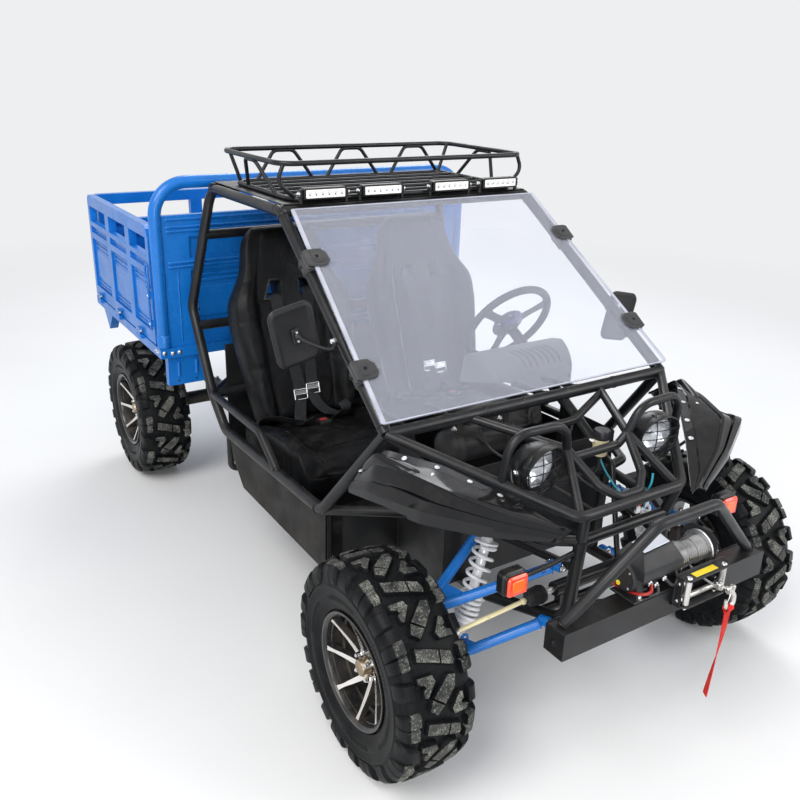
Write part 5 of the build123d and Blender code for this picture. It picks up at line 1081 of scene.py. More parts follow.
def make_fairlead():
    """Two plates with four rollers between them."""
    form = Form()
    low, high, half = 515, 613, 95
    outline = [(FAIR_X, -half), (FAIR_X + 30, -half), (FAIR_X + 44, -half + 22), (FAIR_X + 44, half - 22),
        (FAIR_X + 30, half), (FAIR_X, half)]
    outline = [(px, FAIR_MIDDLE + py) for px, py in outline]
    for z in (522, 606):
        form.prism(outline, z - 3, z + 3, "winch_black", 1.2)
    for ya, yb in ((-half, -58), (58, half)):
        form.block((FAIR_X, FAIR_MIDDLE + ya, low), (FAIR_X + 6, FAIR_MIDDLE + yb, high), "winch_black", 1)
    form.block((FAIR_X, FAIR_MIDDLE - 60, low), (FAIR_X + 6, FAIR_MIDDLE + 60, 534), "winch_black", 1)
    form.block((FAIR_X, FAIR_MIDDLE - 60, 596), (FAIR_X + 6, FAIR_MIDDLE + 60, high), "winch_black", 1)
    form.block((FAIR_X + 16, FAIR_MIDDLE - 50, 609), (FAIR_X + 36, FAIR_MIDDLE + 40, 610.2), "yellow_paint",
        0.3)
    for y in (FAIR_MIDDLE - 72, FAIR_MIDDLE + 72):
        form.bar((FAIR_X + 30, y, 525.5), (FAIR_X + 30, y, 602.5), 9.5, "worn_zinc", 28, 2)
        form.dome((FAIR_X + 30, y, 609), Z, 9, "bright_zinc", 0.6)
        form.bolt((FAIR_X + 30, y, 519), (0, 0, -1), 6.5)
    for z in (538, 591):
        form.bar((FAIR_X + 17, FAIR_MIDDLE - 82, z), (FAIR_X + 17, FAIR_MIDDLE + 82, z), 8.5, "worn_zinc",
            28, 2)
        for face in (1, -1):
            form.bolt((FAIR_X + 17, FAIR_MIDDLE + face * 90, z), (0, face, 0), 5.5)
    for y in (FAIR_MIDDLE - half + 2, FAIR_MIDDLE + half - 6):
        form.block((FAIR_X, y, low + 4), (FAIR_X + 28, y + 4, high - 4), "winch_black", 0.8)
    for dy in (-88, 88):
        for z in (545, 583):
            form.bolt((FAIR_X + 6, FAIR_MIDDLE + dy * 0.93, z), X, 6)
    form.piece("roller_fairlead", "zinc_steel", "fairlead")


HOOK = (1568, 150)


def make_hook():
    """The rope's end with its clamp, clevis and hook."""
    form = Form()
    x, y = HOOK
    rope = smooth_path([(1450, 100, 592), (1496, 105, 574), (1530, 114, 566), (1550, 130, 562),
        (x - 3, y - 4, 560)])
    for strand in range(6):
        line = []
        for i, point in enumerate(rope):
            run = (rope[min(i + 1, len(rope) - 1)] - rope[max(i - 1, 0)]).normalized()
            across = run.cross(Vector(Z)).normalized()
            up = across.cross(run)
            turn = 2 * pi * strand / 6 + i * 0.9
            line.append(point + across * (2.2 * cos(turn)) + up * (2.2 * sin(turn)))
        form.pipe(line, 1.7, "steel_rope", 8)
    # Clamp on the rope's end: two nuts on a saddle.
    form.block((1536, 112, 556), (1552, 132, 574), "worn_zinc", 2.5)
    for dy in (-4, 6):
        form.bolt((1544 + dy * 0.4, 118 + dy, 574), (0.1, 0, 1), 4.5)
        form.bolt((1540, 116 + dy * 1.6, 556), (0, 0, -1), 4.5)
    # Clevis, pin and hook.
    for dy in (-9, 9):
        form.stand((x - 5, y + dy - 1.8, 0), Y, Z)
        form.prism([(566, -6), (566, 6), (560, 9), (545, 8), (542, 0), (545, -8), (560, -9)], 0, 3.6,
            "worn_zinc", 0.8)
        form.home()
    form.bar((x - 5, y - 15, 558), (x - 5, y + 15, 558), 4.2, "bright_zinc", 16)
    form.bolt((x - 5, y + 13, 558), Y, 5.5, washer=False)
    form.ring((x - 5, y, 554), X, 8, 3.2, "worn_zinc", 32, 10)
    claw = smooth_path([(x, y, 560), (x, y + 3, 548), (x, y + 13, 534), (x, y + 15, 514), (x, y + 8, 502),
        (x, y - 4, 499.6), (x, y - 13, 506), (x, y - 16, 520), (x, y - 19, 528)], 6)
    form.pipe(claw, lambda t: 6.8 - 3.2 * max(0, t - 0.55) / 0.45 + 0.8 * sin(pi * t), "worn_zinc", 16)
    form.pipe(smooth_path([(x + 4, y - 8, 549), (x + 5, y - 13, 536), (x + 4, y - 17, 524)], 5), 2,
        "bright_zinc", 10)
    form.piece("clevis_hook", "zinc_steel", "winch_hook")


STRAP_ROUTE = ((1568, 150, 492.7), (1568, 149.5, 450), (1568, 146, 392), (1567.4, 139, 330),
    (1566.6, 130, 268), (1566, 123, 206))
STRAP_WIDE = 26
STRAP_HALF = 1.5


def nurbs_line(points, name):
    """Points, in millimetres, along the smooth spline that a route gives."""
    data = bpy.data.curves.new(name, "CURVE")
    data.dimensions = "3D"
    data.resolution_u = 10
    spline = data.splines.new("NURBS")
    spline.points.add(len(points) - 1)
    for target, point in zip(spline.points, points):
        target.co = (*[c * MM for c in point], 1)
    spline.order_u = 3
    spline.use_endpoint_u = True
    probe = bpy.data.objects.new(name, data)
    bpy.context.scene.collection.objects.link(probe)
    line_mesh = bpy.data.meshes.new_from_object(probe)
    line = [vert.co / MM for vert in line_mesh.vertices]
    bpy.data.objects.remove(probe)
    bpy.data.curves.remove(data)
    bpy.data.meshes.remove(line_mesh)
    return line


def make_strap():
    """The red pull strap: it hangs from the hook and turns a little on its way down."""
    x, y = HOOK
    loop = Form()
    ring = []
    for turn in turns(24):
        ring.append((x + 9.5 * sin(turn), y, 498 - 9.5 * cos(turn) - (6 if cos(turn) > 0.95 else 0)))
    loop.pipe(ring, 0, "red_webbing", 12, loop=True, flat=(12, 1.4, Y))
    loop_piece = loop.piece("strap_loop", "red_webbing", "pull_strap")
    line = nurbs_line(STRAP_ROUTE, "strap_route")

    def facing(share):
        turn = radians(58) * share ** 1.3
        return Vector((-sin(turn), cos(turn), 0))

    form = Form()
    form.pipe(line, 0, "red_webbing", 16, flat=(STRAP_WIDE / 2, STRAP_HALF, facing))
    strap = form.piece("pull_strap_webbing", "red_webbing", "pull_strap")


def make_dampers():
    """Coil-over dampers: a white spring between two seats round a silver damper."""
    run = Vector(SHOCK_HIGH) - Vector(SHOCK_LOW)
    long = run.length
    for name, side in SIDES:
        form = Form(side)
        form.stand(SHOCK_LOW, run, X)
        # Damper body, rod, adjusting collar, seats and the two eyes.
        form.lathe(((14, 12), (40, 12), (42, 20), (50, 20), (52, 8), (118, 8), (119, 12.5), (122, 15),
            (long - 36, 15)), "damper_silver", 40)
        for low in (43, long - 40):
            form.lathe(((low, 26), (low + 1, 36.5), (low + 7, 36.5), (low + 8, 30), (low + 9, 22)),
                "white_paint", 48)
        form.lathe(((long - 40, 20), (long - 22, 17), (long - 14, 13)), "damper_silver", 32)
        for end in (0, long):
            form.bar((-15, 0, end), (15, 0, end), 13.8, "damper_silver", 32, 2)
            form.bar((-17, 0, end), (17, 0, end), 8, "cable_black", 24, 1)
            for face in (1, -1):
                form.bolt((face * 17, 0, end), (face, 0, 0), 7)
        start, end = 52, long - 46
        line = []
        for step in range(int(COIL_TURNS * 24) + 1):
            turn = step / 24
            share = turn / COIL_TURNS
            # The ends of the wire lie flat on the seats.
            lift = min(max((turn - 0.75) / (COIL_TURNS - 1.05), 0), 1)
            # The lower half is wound closer than the upper one.
            lift = lift * 0.66 if lift < 0.54 else 0.3564 + (lift - 0.54) * 1.399
            line.append((COIL_RADIUS * cos(2 * pi * turn), COIL_RADIUS * sin(2 * pi * turn),
                start + 6 * min(share * 8, 1) - 3 + (end - start - 6) * lift))
        form.pipe(line, COIL_WIRE, "white_paint", 14)
        form.piece(f"coil_over_{name}", "white_paint", "front_dampers", "front_springs")


def make_nose_parts():
    """The lamp, reservoir and pipes inside the nose."""
    form = Form()
    form.stand((1262, 60, 722), X, Z)
    form.lathe(((-22, 4), (-20, 18), (-4, 24), (0, 30), (20, 30), (23, 28.5), (23, 24.5), (18, 23.5)),
        "lamp_black", 40)
    form.lathe(((17, 23.5), (21, 23), (25, 19), (27.5, 10), (28, 1)), "red_lens", 32)
    for turn in range(0, 360, 60):
        form.bar(polar(12, radians(turn), 22), polar(12, radians(turn), 28.4), 3.4, "red_paint", 12, 1.5)
    form.home()
    form.block((1272, 20, 712), (1284, 60, 732), "cast_black", 1.5)
    form.block((1272, 20, 712), (1303, 30, 764), "cast_black", 1.5)
    form.block((1292, 36, 694), (1300, 52, 716), "white_paint", 2)
    form.bolt((1290, 19, 740), (0, -1, 0), 6)
    form.cable([(1240, 60, 722), (1216, 66, 700), (1222, 92, 664), (1240, 120, 640)], 4, "cable_black", 10)
    form.cable([(1290, 96, 806), (1292, 92, 776), (1286, 84, 740), (1290, 78, 700)], 3.2, "teal_wire", 10)
    form.cable([(1292, 138, 664), (1280, 120, 646), (1262, 96, 652), (1250, 60, 640), (1258, 10, 628)], 3.2,
        "teal_wire", 10)
    form.piece("marker_lamp", "red_paint", "horn")
    form = Form()
    x, y = 1112.7, 60
    form.at = Matrix.Translation((x, y, 0))
    form.lathe(((800, 17), (803, 21), (812, 23), (852, 23.5), (856, 24)), "beige_plastic", 40)
    for z in (818, 834):
        form.lathe(((z, 23.3), (z + 0.6, 24), (z + 2.2, 24), (z + 2.8, 23.4)), "beige_plastic", 40,
            caps=False)
    profile = [(855, 24), (856, 24.9), (880, 24.9), (884, 22.5), (884.3, 1)]
    form.lathe(profile, "lamp_black", 40)
    for turn in turns(30):
        form.bar(polar(24.9, turn, 858), polar(24.9, turn, 878), 1, "lamp_black", 6, 0.4)
    form.ring((-8, -31, 852), (0.2, 0.3, 1), 6.5, 2, "white_paint", 24, 8)
    form.lathe(((788, 6), (801, 7.5)), "cable_black", 16)
    form.home()
    form.cable([(x, y, 790), (x - 4, y + 4, 760), (x - 30, y + 10, 720), (x - 52, y + 20, 690)], 5,
        "cable_black", 10)
    form.block((x + 10, y - 10, 828), (x + 34, y + 10, 844), "cast_black", 1.5)
    form.piece("brake_reservoir_body", "beige_plastic", "brake_reservoir")


def make_nose():
    make_headlamps()
    make_indicators()
    make_winch()
    make_fairlead()
    make_hook()
    make_dampers()
    make_nose_parts()


# Cabin. Tables of the seats hold (share of the height, value) or (x, value).
SEAT_Y = 310
BACK_FOOT = (-95, SEAT_Y, 560)
BACK_RUN = Vector((-230, 0, 730))
BACK_LONG = BACK_RUN.length
BACK_OUT = Vector((BACK_RUN.z, 0, -BACK_RUN.x)).normalized()
BACK_AXES = (BACK_FOOT, BACK_OUT, Y)
BACK_DEEP = -88
BACK_HALF = ((0, 200), (0.25, 226), (0.5, 249), (0.63, 243), (0.77, 176), (0.93, 150), (1, 112))
BACK_WING = ((0, 46), (0.3, 56), (0.62, 58), (0.76, 20), (0.88, 6), (1, 0))
BACK_PANEL = ((0, 128), (0.65, 140), (0.8, 118), (1, 84))
BACK_SEAMS = (0.29, 0.53, 0.72)
# A belt slot: distance from the seat's middle and height up the back.
BELT_SLOT = ((40, 486), (108, 486), (80, 548), (40, 548))
CUSHION_TOP = ((-185, 541), (-110, 543), (200, 588), (300, 590), (340, 574), (355, 552))
CUSHION_BOLSTER = ((-185, 4), (-60, 24), (60, 48), (230, 36), (310, 18), (355, 2))
CUSHION_PANEL = 158
CUSHION_HALF = 240
CUSHION_SEAMS = (-20, 262)
# Below this height the cushion's cover is held.
CUSHION_FREE = 520
CUSHION_FLOOR = 430.5


def level(table, at, soft=0):
    """The value of a table of (place, value) at a place, smoothed over a span."""
    if soft:
        return sum(level(table, at + soft * (k / 4 - 1)) for k in range(9)) / 9
    for (a, one), (b, two) in zip(table, table[1:]):
        if at <= b:
            return one + (two - one) * max(at - a, 0) / (b - a)
    return table[-1][1]


def groove(distance, width, depth):
    """How far a sewn seam pulls the cover in."""
    return depth * exp(-(distance / width) ** 2)


def cover(across, along, panel, half, bolster, seams, crown):
    """Height of a sewn cover: a crowned middle panel between two bolsters with cross seams."""
    if across <= panel:
        high = crown * (1 - (across / panel) ** 4)
    else:
        share = (across - panel) / (half - panel)
        high = bolster * sin(pi / 2 * min(share / 0.62, 1)) ** 1.2 * (1 - 0.42
            * max(share - 0.62, 0) / 0.38)
        pull = sum(groove(along - seam, 6, 5) for seam in seams) * min(share * 4, 1)
        fold = 0.9 * sin(along * 0.11 + across * 0.06) * sin(along * 0.031 + 1.3) * sin(pi * share)
        high += fold - pull
    return high - groove(across - panel, 5, 4.5)


def back_front(share, y):
    """How far a seat's back comes out, at a share of its height."""
    half, panel, wing = (level(table, share, 0.035) for table in (BACK_HALF, BACK_PANEL, BACK_WING))
    return cover(abs(y), share * BACK_LONG, panel, half, wing, [seam * BACK_LONG for seam in BACK_SEAMS], 6)


def cushion_top(x, y):
    """Height of a cushion at a place."""
    bolster = level(CUSHION_BOLSTER, x, 30)
    high = cover(abs(y), x, CUSHION_PANEL, CUSHION_HALF, bolster, CUSHION_SEAMS, 9)
    seams = sum(groove(x - seam, 5, 4) for seam in CUSHION_SEAMS)
    return level(CUSHION_TOP, x, 14) + high - (seams if abs(y) <= CUSHION_PANEL else 0)


def spread(count):
    """Places from -1 to 1, closer together towards the ends."""
    return [0.55 * sin(pi / 2 * (2 * i / count - 1)) + 0.45 * (2 * i / count - 1) for i in range(count + 1)]


def back_rows():
    """Rings round a seat's back, in the back's own axes: across, up and out."""
    shares = [0, 0.006, 0.014, 0.03] + [0.05 + 0.9 * i / 52 for i in range(53)] + [0.962, 0.974, 0.984,
        0.992, 0.998]
    rows = []
    for share in shares:
        half = level(BACK_HALF, share, 0.035)
        close = sqrt(max(1 - max((share - 0.945) / 0.055, (0.02 - share) / 0.02, 0) ** 2, 0.02))
        ring = [(half * w, back_front(share, half * w)) for w in spread(40)]
        edge = ring[-1][1]
        side = [(half + 5, edge * 0.55 - 8), (half + 7, -34), (half + 3, -66), (half - 10, -83),
            (half * 0.8, BACK_DEEP), (half * 0.4, BACK_DEEP - 1)]
        ring += side + [(0, BACK_DEEP - 1)] + [(-y, out) for y, out in reversed(side)]
        rise = share * BACK_LONG
        rows.append([(y * (0.8 + 0.2 * close), rise, BACK_DEEP / 2 + (out - BACK_DEEP / 2) * close)
            for y, out in ring])
    return rows


def cushion_rows():
    """Rings round a cushion, from its rear to its nose."""
    places = [-185, -183, -178, -168] + [-155 + 470 * i / 44 for i in range(45)]
    places += [325, 335, 343, 349, 353, 355]
    rows = []
    for x in places:
        close = sqrt(max(1 - max((x - 312) / 43.2, (-166 - x) / 19.2, 0) ** 2, 0.01))
        ring = [(CUSHION_HALF * w, cushion_top(x, CUSHION_HALF * w)) for w in spread(40)]
        edge = ring[-1][1]
        side = [(245, edge - 16), (246, 500), (244, 462), (238, 438), (225, 431), (110, CUSHION_FLOOR)]
        ring += side + [(0, CUSHION_FLOOR)] + [(-y, z) for y, z in reversed(side)]
        rows.append([(x, SEAT_Y + y * (0.86 + 0.14 * close), 506 + (z - 506) * (0.25 + 0.75 * close))
            for y, z in ring])
    return rows


def puff(piece, held, cap):
    """Let air fill a padded piece for a short cloth run; held tells which points are sewn down."""
    mesh = piece.data
    rest = [vert.co.copy() for vert in mesh.vertices]
    group = piece.vertex_groups.new(name="sewn")
    group.add([vert.index for vert in mesh.vertices if held(vert.co / MM)], 1, "REPLACE")
    cloth = piece.modifiers.new("puff", "CLOTH")
    rules = cloth.settings
    rules.vertex_group_mass = "sewn"
    rules.use_pressure = True
    rules.uniform_pressure_force = 4
    rules.effector_weights.gravity = 0
    scene = bpy.context.scene
    for step in range(1, 21):
        scene.frame_set(step)
    grown = piece.evaluated_get(bpy.context.evaluated_depsgraph_get()).data
    ends = [vert.co.copy() for vert in grown.vertices]
    piece.modifiers.remove(cloth)
    for vert, start, end in zip(mesh.vertices, rest, ends):
        move = end - start
        vert.co = start + move * min(1, cap * MM / max(move.length, 1e-9))
    piece.vertex_groups.clear()
    scene.frame_set(1)


def cut(piece, form):
    """Take a form's space out of a piece."""
    tool = form.piece("cutter", None)
    knife = piece.modifiers.new("cut", "BOOLEAN")
    knife.object = tool
    knife.solver = "EXACT"
    shape = bpy.data.meshes.new_from_object(piece.evaluated_get(bpy.context.evaluated_depsgraph_get()))
    piece.modifiers.remove(knife)
    piece.data = shape
    bpy.data.objects.remove(tool)


def make_seats():
    """Padded cushions and backs, with slots for the belts."""
    for name, side in SIDES:
        form = Form(side)
        form.skin([[Vector(p) for p in row] for row in cushion_rows()], "seat_black")
        cushion = form.piece(f"seat_cushion_{name}", "seat_black", "seats", sharp=80)
        form = Form(side)
        form.stand(*BACK_AXES)
        form.skin(back_rows(), "seat_black")
        back = form.piece(f"seat_back_{name}", "seat_black", "seats", sharp=80)
        low = BACK_FOOT[2]

        def held_cushion(p):
            across = abs(abs(p.y) - SEAT_Y)
            to_seam = min(abs(p.x - seam) for seam in CUSHION_SEAMS)
            return p.z < CUSHION_FREE or abs(across - CUSHION_PANEL) < 7 or to_seam < 5

        def held_back(p):
            from_foot = p - Vector((BACK_FOOT[0], p.y, low))
            across = abs(abs(p.y) - SEAT_Y)
            share = from_foot.dot(BACK_RUN.normalized()) / BACK_LONG
            if from_foot.dot(BACK_OUT) < -25 or abs(across - level(BACK_PANEL, share, 0.035)) < 7:
                return True
            to_seam = min(abs(share - seam) for seam in BACK_SEAMS)
            return across > level(BACK_PANEL, share) and to_seam < 0.008

        puff(cushion, held_cushion, 8)
        puff(back, held_back, 7)
        for piece in (cushion, back):
            soften = piece.modifiers.new("soften", "SUBSURF")
            soften.levels = soften.render_levels = 1
        tool = Form(side)
        tool.stand(*BACK_AXES)
        for hand in (1, -1):
            outline = [(hand * y, rise) for y, rise in BELT_SLOT][::hand]
            tool.prism(outline, -120, 60, "seat_black", 0.5)
        cut(back, tool)
        make_seat_trim(name, side)


def make_seat_trim(name, side):
    """Piping on the seams, bezels of the belt slots, and slides below the cushion."""
    form = Form(side)
    form.stand(*BACK_AXES)
    for hand in (1, -1):
        line = []
        for step in range(40):
            share = 0.02 + 0.68 * step / 39
            y = level(BACK_PANEL, share, 0.035)
            line.append((hand * y, share * BACK_LONG, back_front(share, y) + 1.5))
        form.pipe(line, 2.4, "seat_black", 8)
        outline = [(hand * y, rise) for y, rise in BELT_SLOT][::hand]
        rows = [[(p[0], p[1], out) for p in inset(outline, by)] for by, out in ((-11, 1), (-10, 8),
            (-7, 11), (-2, 10), (0.6, 6), (0.8, BACK_DEEP - 3), (-6, BACK_DEEP - 3))]
        form.skin(rows, "black_plastic", caps=False)
    form.home()
    for hand in (1, -1):
        y = hand * CUSHION_PANEL
        line = [(x, SEAT_Y + y, cushion_top(x, y) + 1.5) for x in range(-110, 341, 12)]
        form.pipe(line, 2.4, "seat_black", 8)
        form.block((-150, SEAT_Y + hand * 150 - 12, 421), (270, SEAT_Y + hand * 150 + 12, 431),
            "zinc_steel", 2)
    form.piece(f"seat_trim_{name}", "black_plastic", "seats")


def make_harnesses():
    """Shoulder straps from the belt slots to two adjusters, with their loose ends on the cushion."""
    upper = [(72, 520, -60), (72, 514, -8), (71, 496, 12), (64, 440, 12), (50, 340, 11.5), (36, 226, 11.5),
        (30, 152, 12), (28, 124, 14)]
    for name, side in SIDES:
        form = Form(side)
        for hand in (1, -1):
            shift = -16 if hand == 1 else 0
            form.at = stand(*BACK_AXES) @ Matrix.Translation((0, shift, 0))
            line = smooth_path([(hand * y, rise, out) for y, rise, out in upper], 6)
            form.pipe(line, 0, "black_webbing", 12, flat=(24, 0.9, X))
            fold = smooth_path([(hand * 28, 124, 15), (hand * 28, 157, 15), (hand * 30, 168, 14.6)], 4)
            form.pipe(fold, 0, "black_webbing", 12, flat=(23, 0.9, X))
            # Adjuster: a frame with two cross bars and a lifting tab.
            keep = form.at
            form.at = keep @ Matrix.Translation((hand * 28, 110, 17))
            for rise in (-20, 0, 20):
                form.bar((-27, rise, 0), (27, rise, 0), 3.4, "bright_zinc", 12)
            for end in (-27, 27):
                form.bar((end, -22, 0), (end, 22, 0), 3.4, "bright_zinc", 12)
            form.block((-22, 2, 2), (22, 17, 4.6), "bright_zinc", 0.8)
            form.block((-20, -18, 1), (20, -3, 3.2), "black_plastic", 0.8)
            form.at = keep
            lower = [(28, 110, 14), (34, 84, 20), (48, 50, 34), (62, 18, 54), (66, 4, 84), (58, 8, 124),
                (70, 24, 150)]
            if hand == -1:
                lower = [(28, 110, 14), (24, 80, 24), (32, 44, 44), (56, 14, 70), (92, 4, 100),
                    (110, 20, 118), (102, 48, 110)]
            form.pipe(smooth_path([(hand * y, rise, out) for y, rise, out in lower], 7), 0, "black_webbing",
                12, flat=(24, 0.9, (1, 0, 0.1)))
        form.home()
        # Lap belt ends and the buckle beside the seat.
        for hand in (1, -1):
            line = smooth_path([(-80, SEAT_Y + hand * 232, 500), (-86, SEAT_Y + hand * 222, 580),
                (-50, SEAT_Y + hand * 170, 600), (-20, SEAT_Y + hand * 90, 578),
                (16, SEAT_Y + hand * 36, 574)], 7)
            form.pipe(line, 0, "black_webbing", 12, flat=(24, 0.9, lambda share: (1, 0, 0.3 + share)))
        form.stand((30, SEAT_Y, 580), (-0.15, 0, 1), X)
        form.prism(rounded(64, 52, 10), -4, 12, "black_plastic", 4)
        form.prism(rounded(26, 30, 5), 11, 14, "red_paint", 1.5)
        form.piece(f"harness_{name}", "black_webbing", "seat_harnesses")


WHEEL_CENTRE = (375, 290, 985)
GRIP_CIRCLE = 172
SCREW_CIRCLE = 52.5
COLUMN_RUN = Vector((cos(radians(30)), 0, -sin(radians(30))))


def make_steering_wheel():
    """Ring with finger grips, three drilled spokes, a blue boss with white screws and the shaft."""
    form = Form()
    form.stand(WHEEL_CENTRE, COLUMN_RUN * -1, Y)
    rows = []
    for turn in turns(96):
        grip = 13.6 + (0.5 * cos(turn * 48) if sin(turn) < 0.3 else 0)
        ring = []
        for lean in turns(14):
            reach = GRIP_CIRCLE + grip * cos(lean) * (1 if cos(lean) > 0 else 1.12)
            ring.append((reach * cos(turn), reach * sin(turn), grip * sin(lean)))
        rows.append(ring)
    form.skin(rows, "wheel_rubber", loop=True)
    for turn in (90, 210, 330):
        keep = form.at
        form.at = keep @ Matrix.Rotation(radians(turn), 4, "Z")
        rows = []
        for reach, wide, low in ((40, 30, -3), (60, 20, -2.5), (100, 16.5, -1.5), (140, 18, -0.5),
                (163, 26, 0)):
            rows.append([(reach, -wide, low), (reach, wide, low), (reach, wide * 0.92, low + 4),
                (reach, -wide * 0.92, low + 4)])
        form.skin(rows, "lamp_black")
        form.prism([(x + 95, y) for x, y in rounded(52, 13, 6)], 2.2, 3.4, "wheel_rubber", 0.4)
        form.at = keep
    form.lathe(((-22, 30), (-14, 34), (-6, 52), (-4, 62), (4, 64), (9, 60), (14, 46), (16, 43)), "hub_blue",
        56)
    form.lathe(((15, 42), (19, 40), (24, 30), (26, 16), (26.5, 1)), "lamp_black", 48)
    for screw in range(6):
        turn = radians(60 * screw + 12)
        form.dome(polar(SCREW_CIRCLE, turn, 11.5), polar(0.2, turn, 1), 5.6, "screw_white", 0.7)
        form.dome(polar(SCREW_CIRCLE, turn, -4.5), polar(0.2, turn, -1), 5.6, "screw_white", 0.7)
    form.lathe(((-29.5, 26), (-27, 29), (-12, 30), (0, 28)), "cast_black", 40)
    form.lathe(((-96, 11), (-20, 11)), "worn_zinc", 24)
    form.piece("steering_wheel_trim", "wheel_rubber", "steering_wheel", body="steering_wheel")


def make_dashboard():
    """Hood with a rolled rim, louvres, a gauge, switches and vents, on two stays."""
    form = Form()
    roof = [(500, 852), (502, 900), (510, 944), (524, 958), (560, 965), (600, 963), (640, 956), (676, 940),
        (697, 922), (700, 900), (700, 852)]
    rows = []
    for y, by in ((-20, 14), (-18, 7), (-12, 2), (-2, 0), (20, 0), (60, 0), (95, 0), (130, 0), (170, 0),
            (180, 0), (240, 0), (300, 0), (360, 0), (382, 0), (392, 2), (398, 7), (400, 14)):
        trim = [(x + (600 - x) * by / 100, z - by if z > 860 else z) for x, z in roof]
        # The passenger's end thins to a visor, and the outer end is cut back towards the front.
        thin = min(max((y - 20) / 150, 0), 1)
        cut = 74 * min(max((y - 180) / 180, 0), 1)
        row = []
        for x, z in trim + [(x + (600 - x) * 0.07, 854) for x, z in (trim[-1], trim[0])]:
            front = min(max((x - 560) / 100, 0), 1)
            keep = 1 - front * (1 - thin) * 0.72
            row.append((x, y - cut * max(x - 560, 0) / 140, z if z > 925 else 925 - (925 - z) * keep))
        rows.append(row)
    form.skin(rows, "dash_grey")
    for y in (120, 146, 172, 198, 224, 250, 276):
        line = []
        for step in range(9):
            x = 590 + 96 * step / 8
            high = level([(px, pz) for px, pz in roof[3:9]], x)
            line.append((x, y + 12 * sin(pi * step / 8), high))
        form.pipe(line, 2.8, "cable_black", 8)
    for x, y, z in ((701, 215, 880), (701, 310, 880)):
        form.dome((x, y, z), X, 5.5, "cable_black", 0.5)
    form.stand((501, 150, 905), (-1, 0, 0.08), Y)
    form.prism(rounded(230, 78, 16), -4, 3, "black_plastic", 2)
    form.lathe(((2, 38), (9, 38), (10, 35), (5, 33.5)), "lamp_chrome", 48)
    form.lathe(((3, 33.8), (5.4, 33), (5.4, 1)), "grey_dial", 40)
    for k in range(11):
        turn = radians(215 - 25 * k)
        form.bar(polar(26, turn, 5.6), polar(31, turn, 5.6), 0.8, "cable_black", 6, 0.2)
    form.bar((0, 0, 6.2), (17, 16, 6.2), 0.9, "red_paint", 6, 0.2)
    form.dome((0, 0, 6), Z, 3.4, "cable_black", 0.5)
    for x in (-92, -68, 62, 86):
        form.prism([(x + px, py) for px, py in rounded(18, 30, 3)], 2, 8, "lamp_black", 2)
    form.home()
    for y in (60, 190):
        form.pipe([(695, y, 890), (790, y, 901), (868.5, y, 911)], 10, "black_tube", 18)
        form.ring((860, y, 910), (1, 0, 0.12), 10.4, 2.2, "cast_black", 20, 6)
    form.piece("dash_hood", "black_plastic", "dashboard")


# Mirrors: name, side, middle, and the arm's place along X.
MIRRORS = (("left", 1, (575, 655, 1020), 640), ("right", -1, (575, 690, 1140), 600))
COWL_END = Vector((887, 559, 913))
ROOF_END = Vector((145, 520, 1420))


def make_mirrors():
    """Plates on a ball clamp, each on an arm from the pillar."""
    for name, side, middle, arm in MIRRORS:
        form = Form(side)
        x, y, z = middle
        form.at = stand((x, y, z), X, Z) @ Matrix.Rotation(radians(-12), 4, "Z")
        plate = rounded(186, 144, 30, 7)
        levels = ((7, 0), (1, 3), (0, 8), (3, 12.5), (7, 14.5), (10, 15.8), (15, 15.8), (19, 14.2))
        rows = [[(p[0], p[1], high) for p in inset(plate, by)] for by, high in levels]
        form.skin(rows, "black_plastic")
        form.prism(inset(plate, 8), -0.6, 1.4, "mirror_glass", 0.5)
        # Ball clamp in the middle of the back.
        form.prism(rounded(46, 26, 5), 13, 24, "lamp_black", 2.5)
        form.dome((0, 0, 24), Z, 11, "lamp_black", 1)
        for up in (14, -14):
            form.bolt((up, 0, 24), Z, 4.4, washer=False)
        form.home()
        pillar = lerp(COWL_END, ROOF_END, (COWL_END.x - arm) / (COWL_END.x - ROOF_END.x))
        out = Vector((0, y - pillar.y, 0)).normalized()
        line = smooth_path([(x + 30, y, z), (x + 36, y - 22, z - 16),
            (x + 40, (y + pillar.y) / 2 + 10, (z + pillar.z) / 2 - 22),
            (x + 44, pillar.y + 44, pillar.z - 18), tuple(pillar + out * 18)], 8)
        form.pipe(line, 5.6, "lamp_black", 14)
        form.bar(pillar + out * 17, pillar + out * 30, 9.5, "bright_zinc", 6)
        form.bar(pillar + out * 30, pillar + out * 36, 7.5, "bright_zinc", 16)
        run = (ROOF_END - COWL_END).normalized()
        form.bar(pillar - run * 14, pillar + run * 14, 21.5, "lamp_black", 32, 2)
        form.piece(f"mirror_{name}", "black_plastic", "mirrors")


# Corners of the windscreen on the left: its foot and its head.
SCREEN_FOOT = (894, 579, 948)
SCREEN_HEAD = (198, 514, 1434)
SCREEN_RUN = Vector((-696, 0, 486))
SCREEN_OUT = Vector((486, 0, 696)).normalized()
CLAMP_SHARES = (0.22, 0.74)


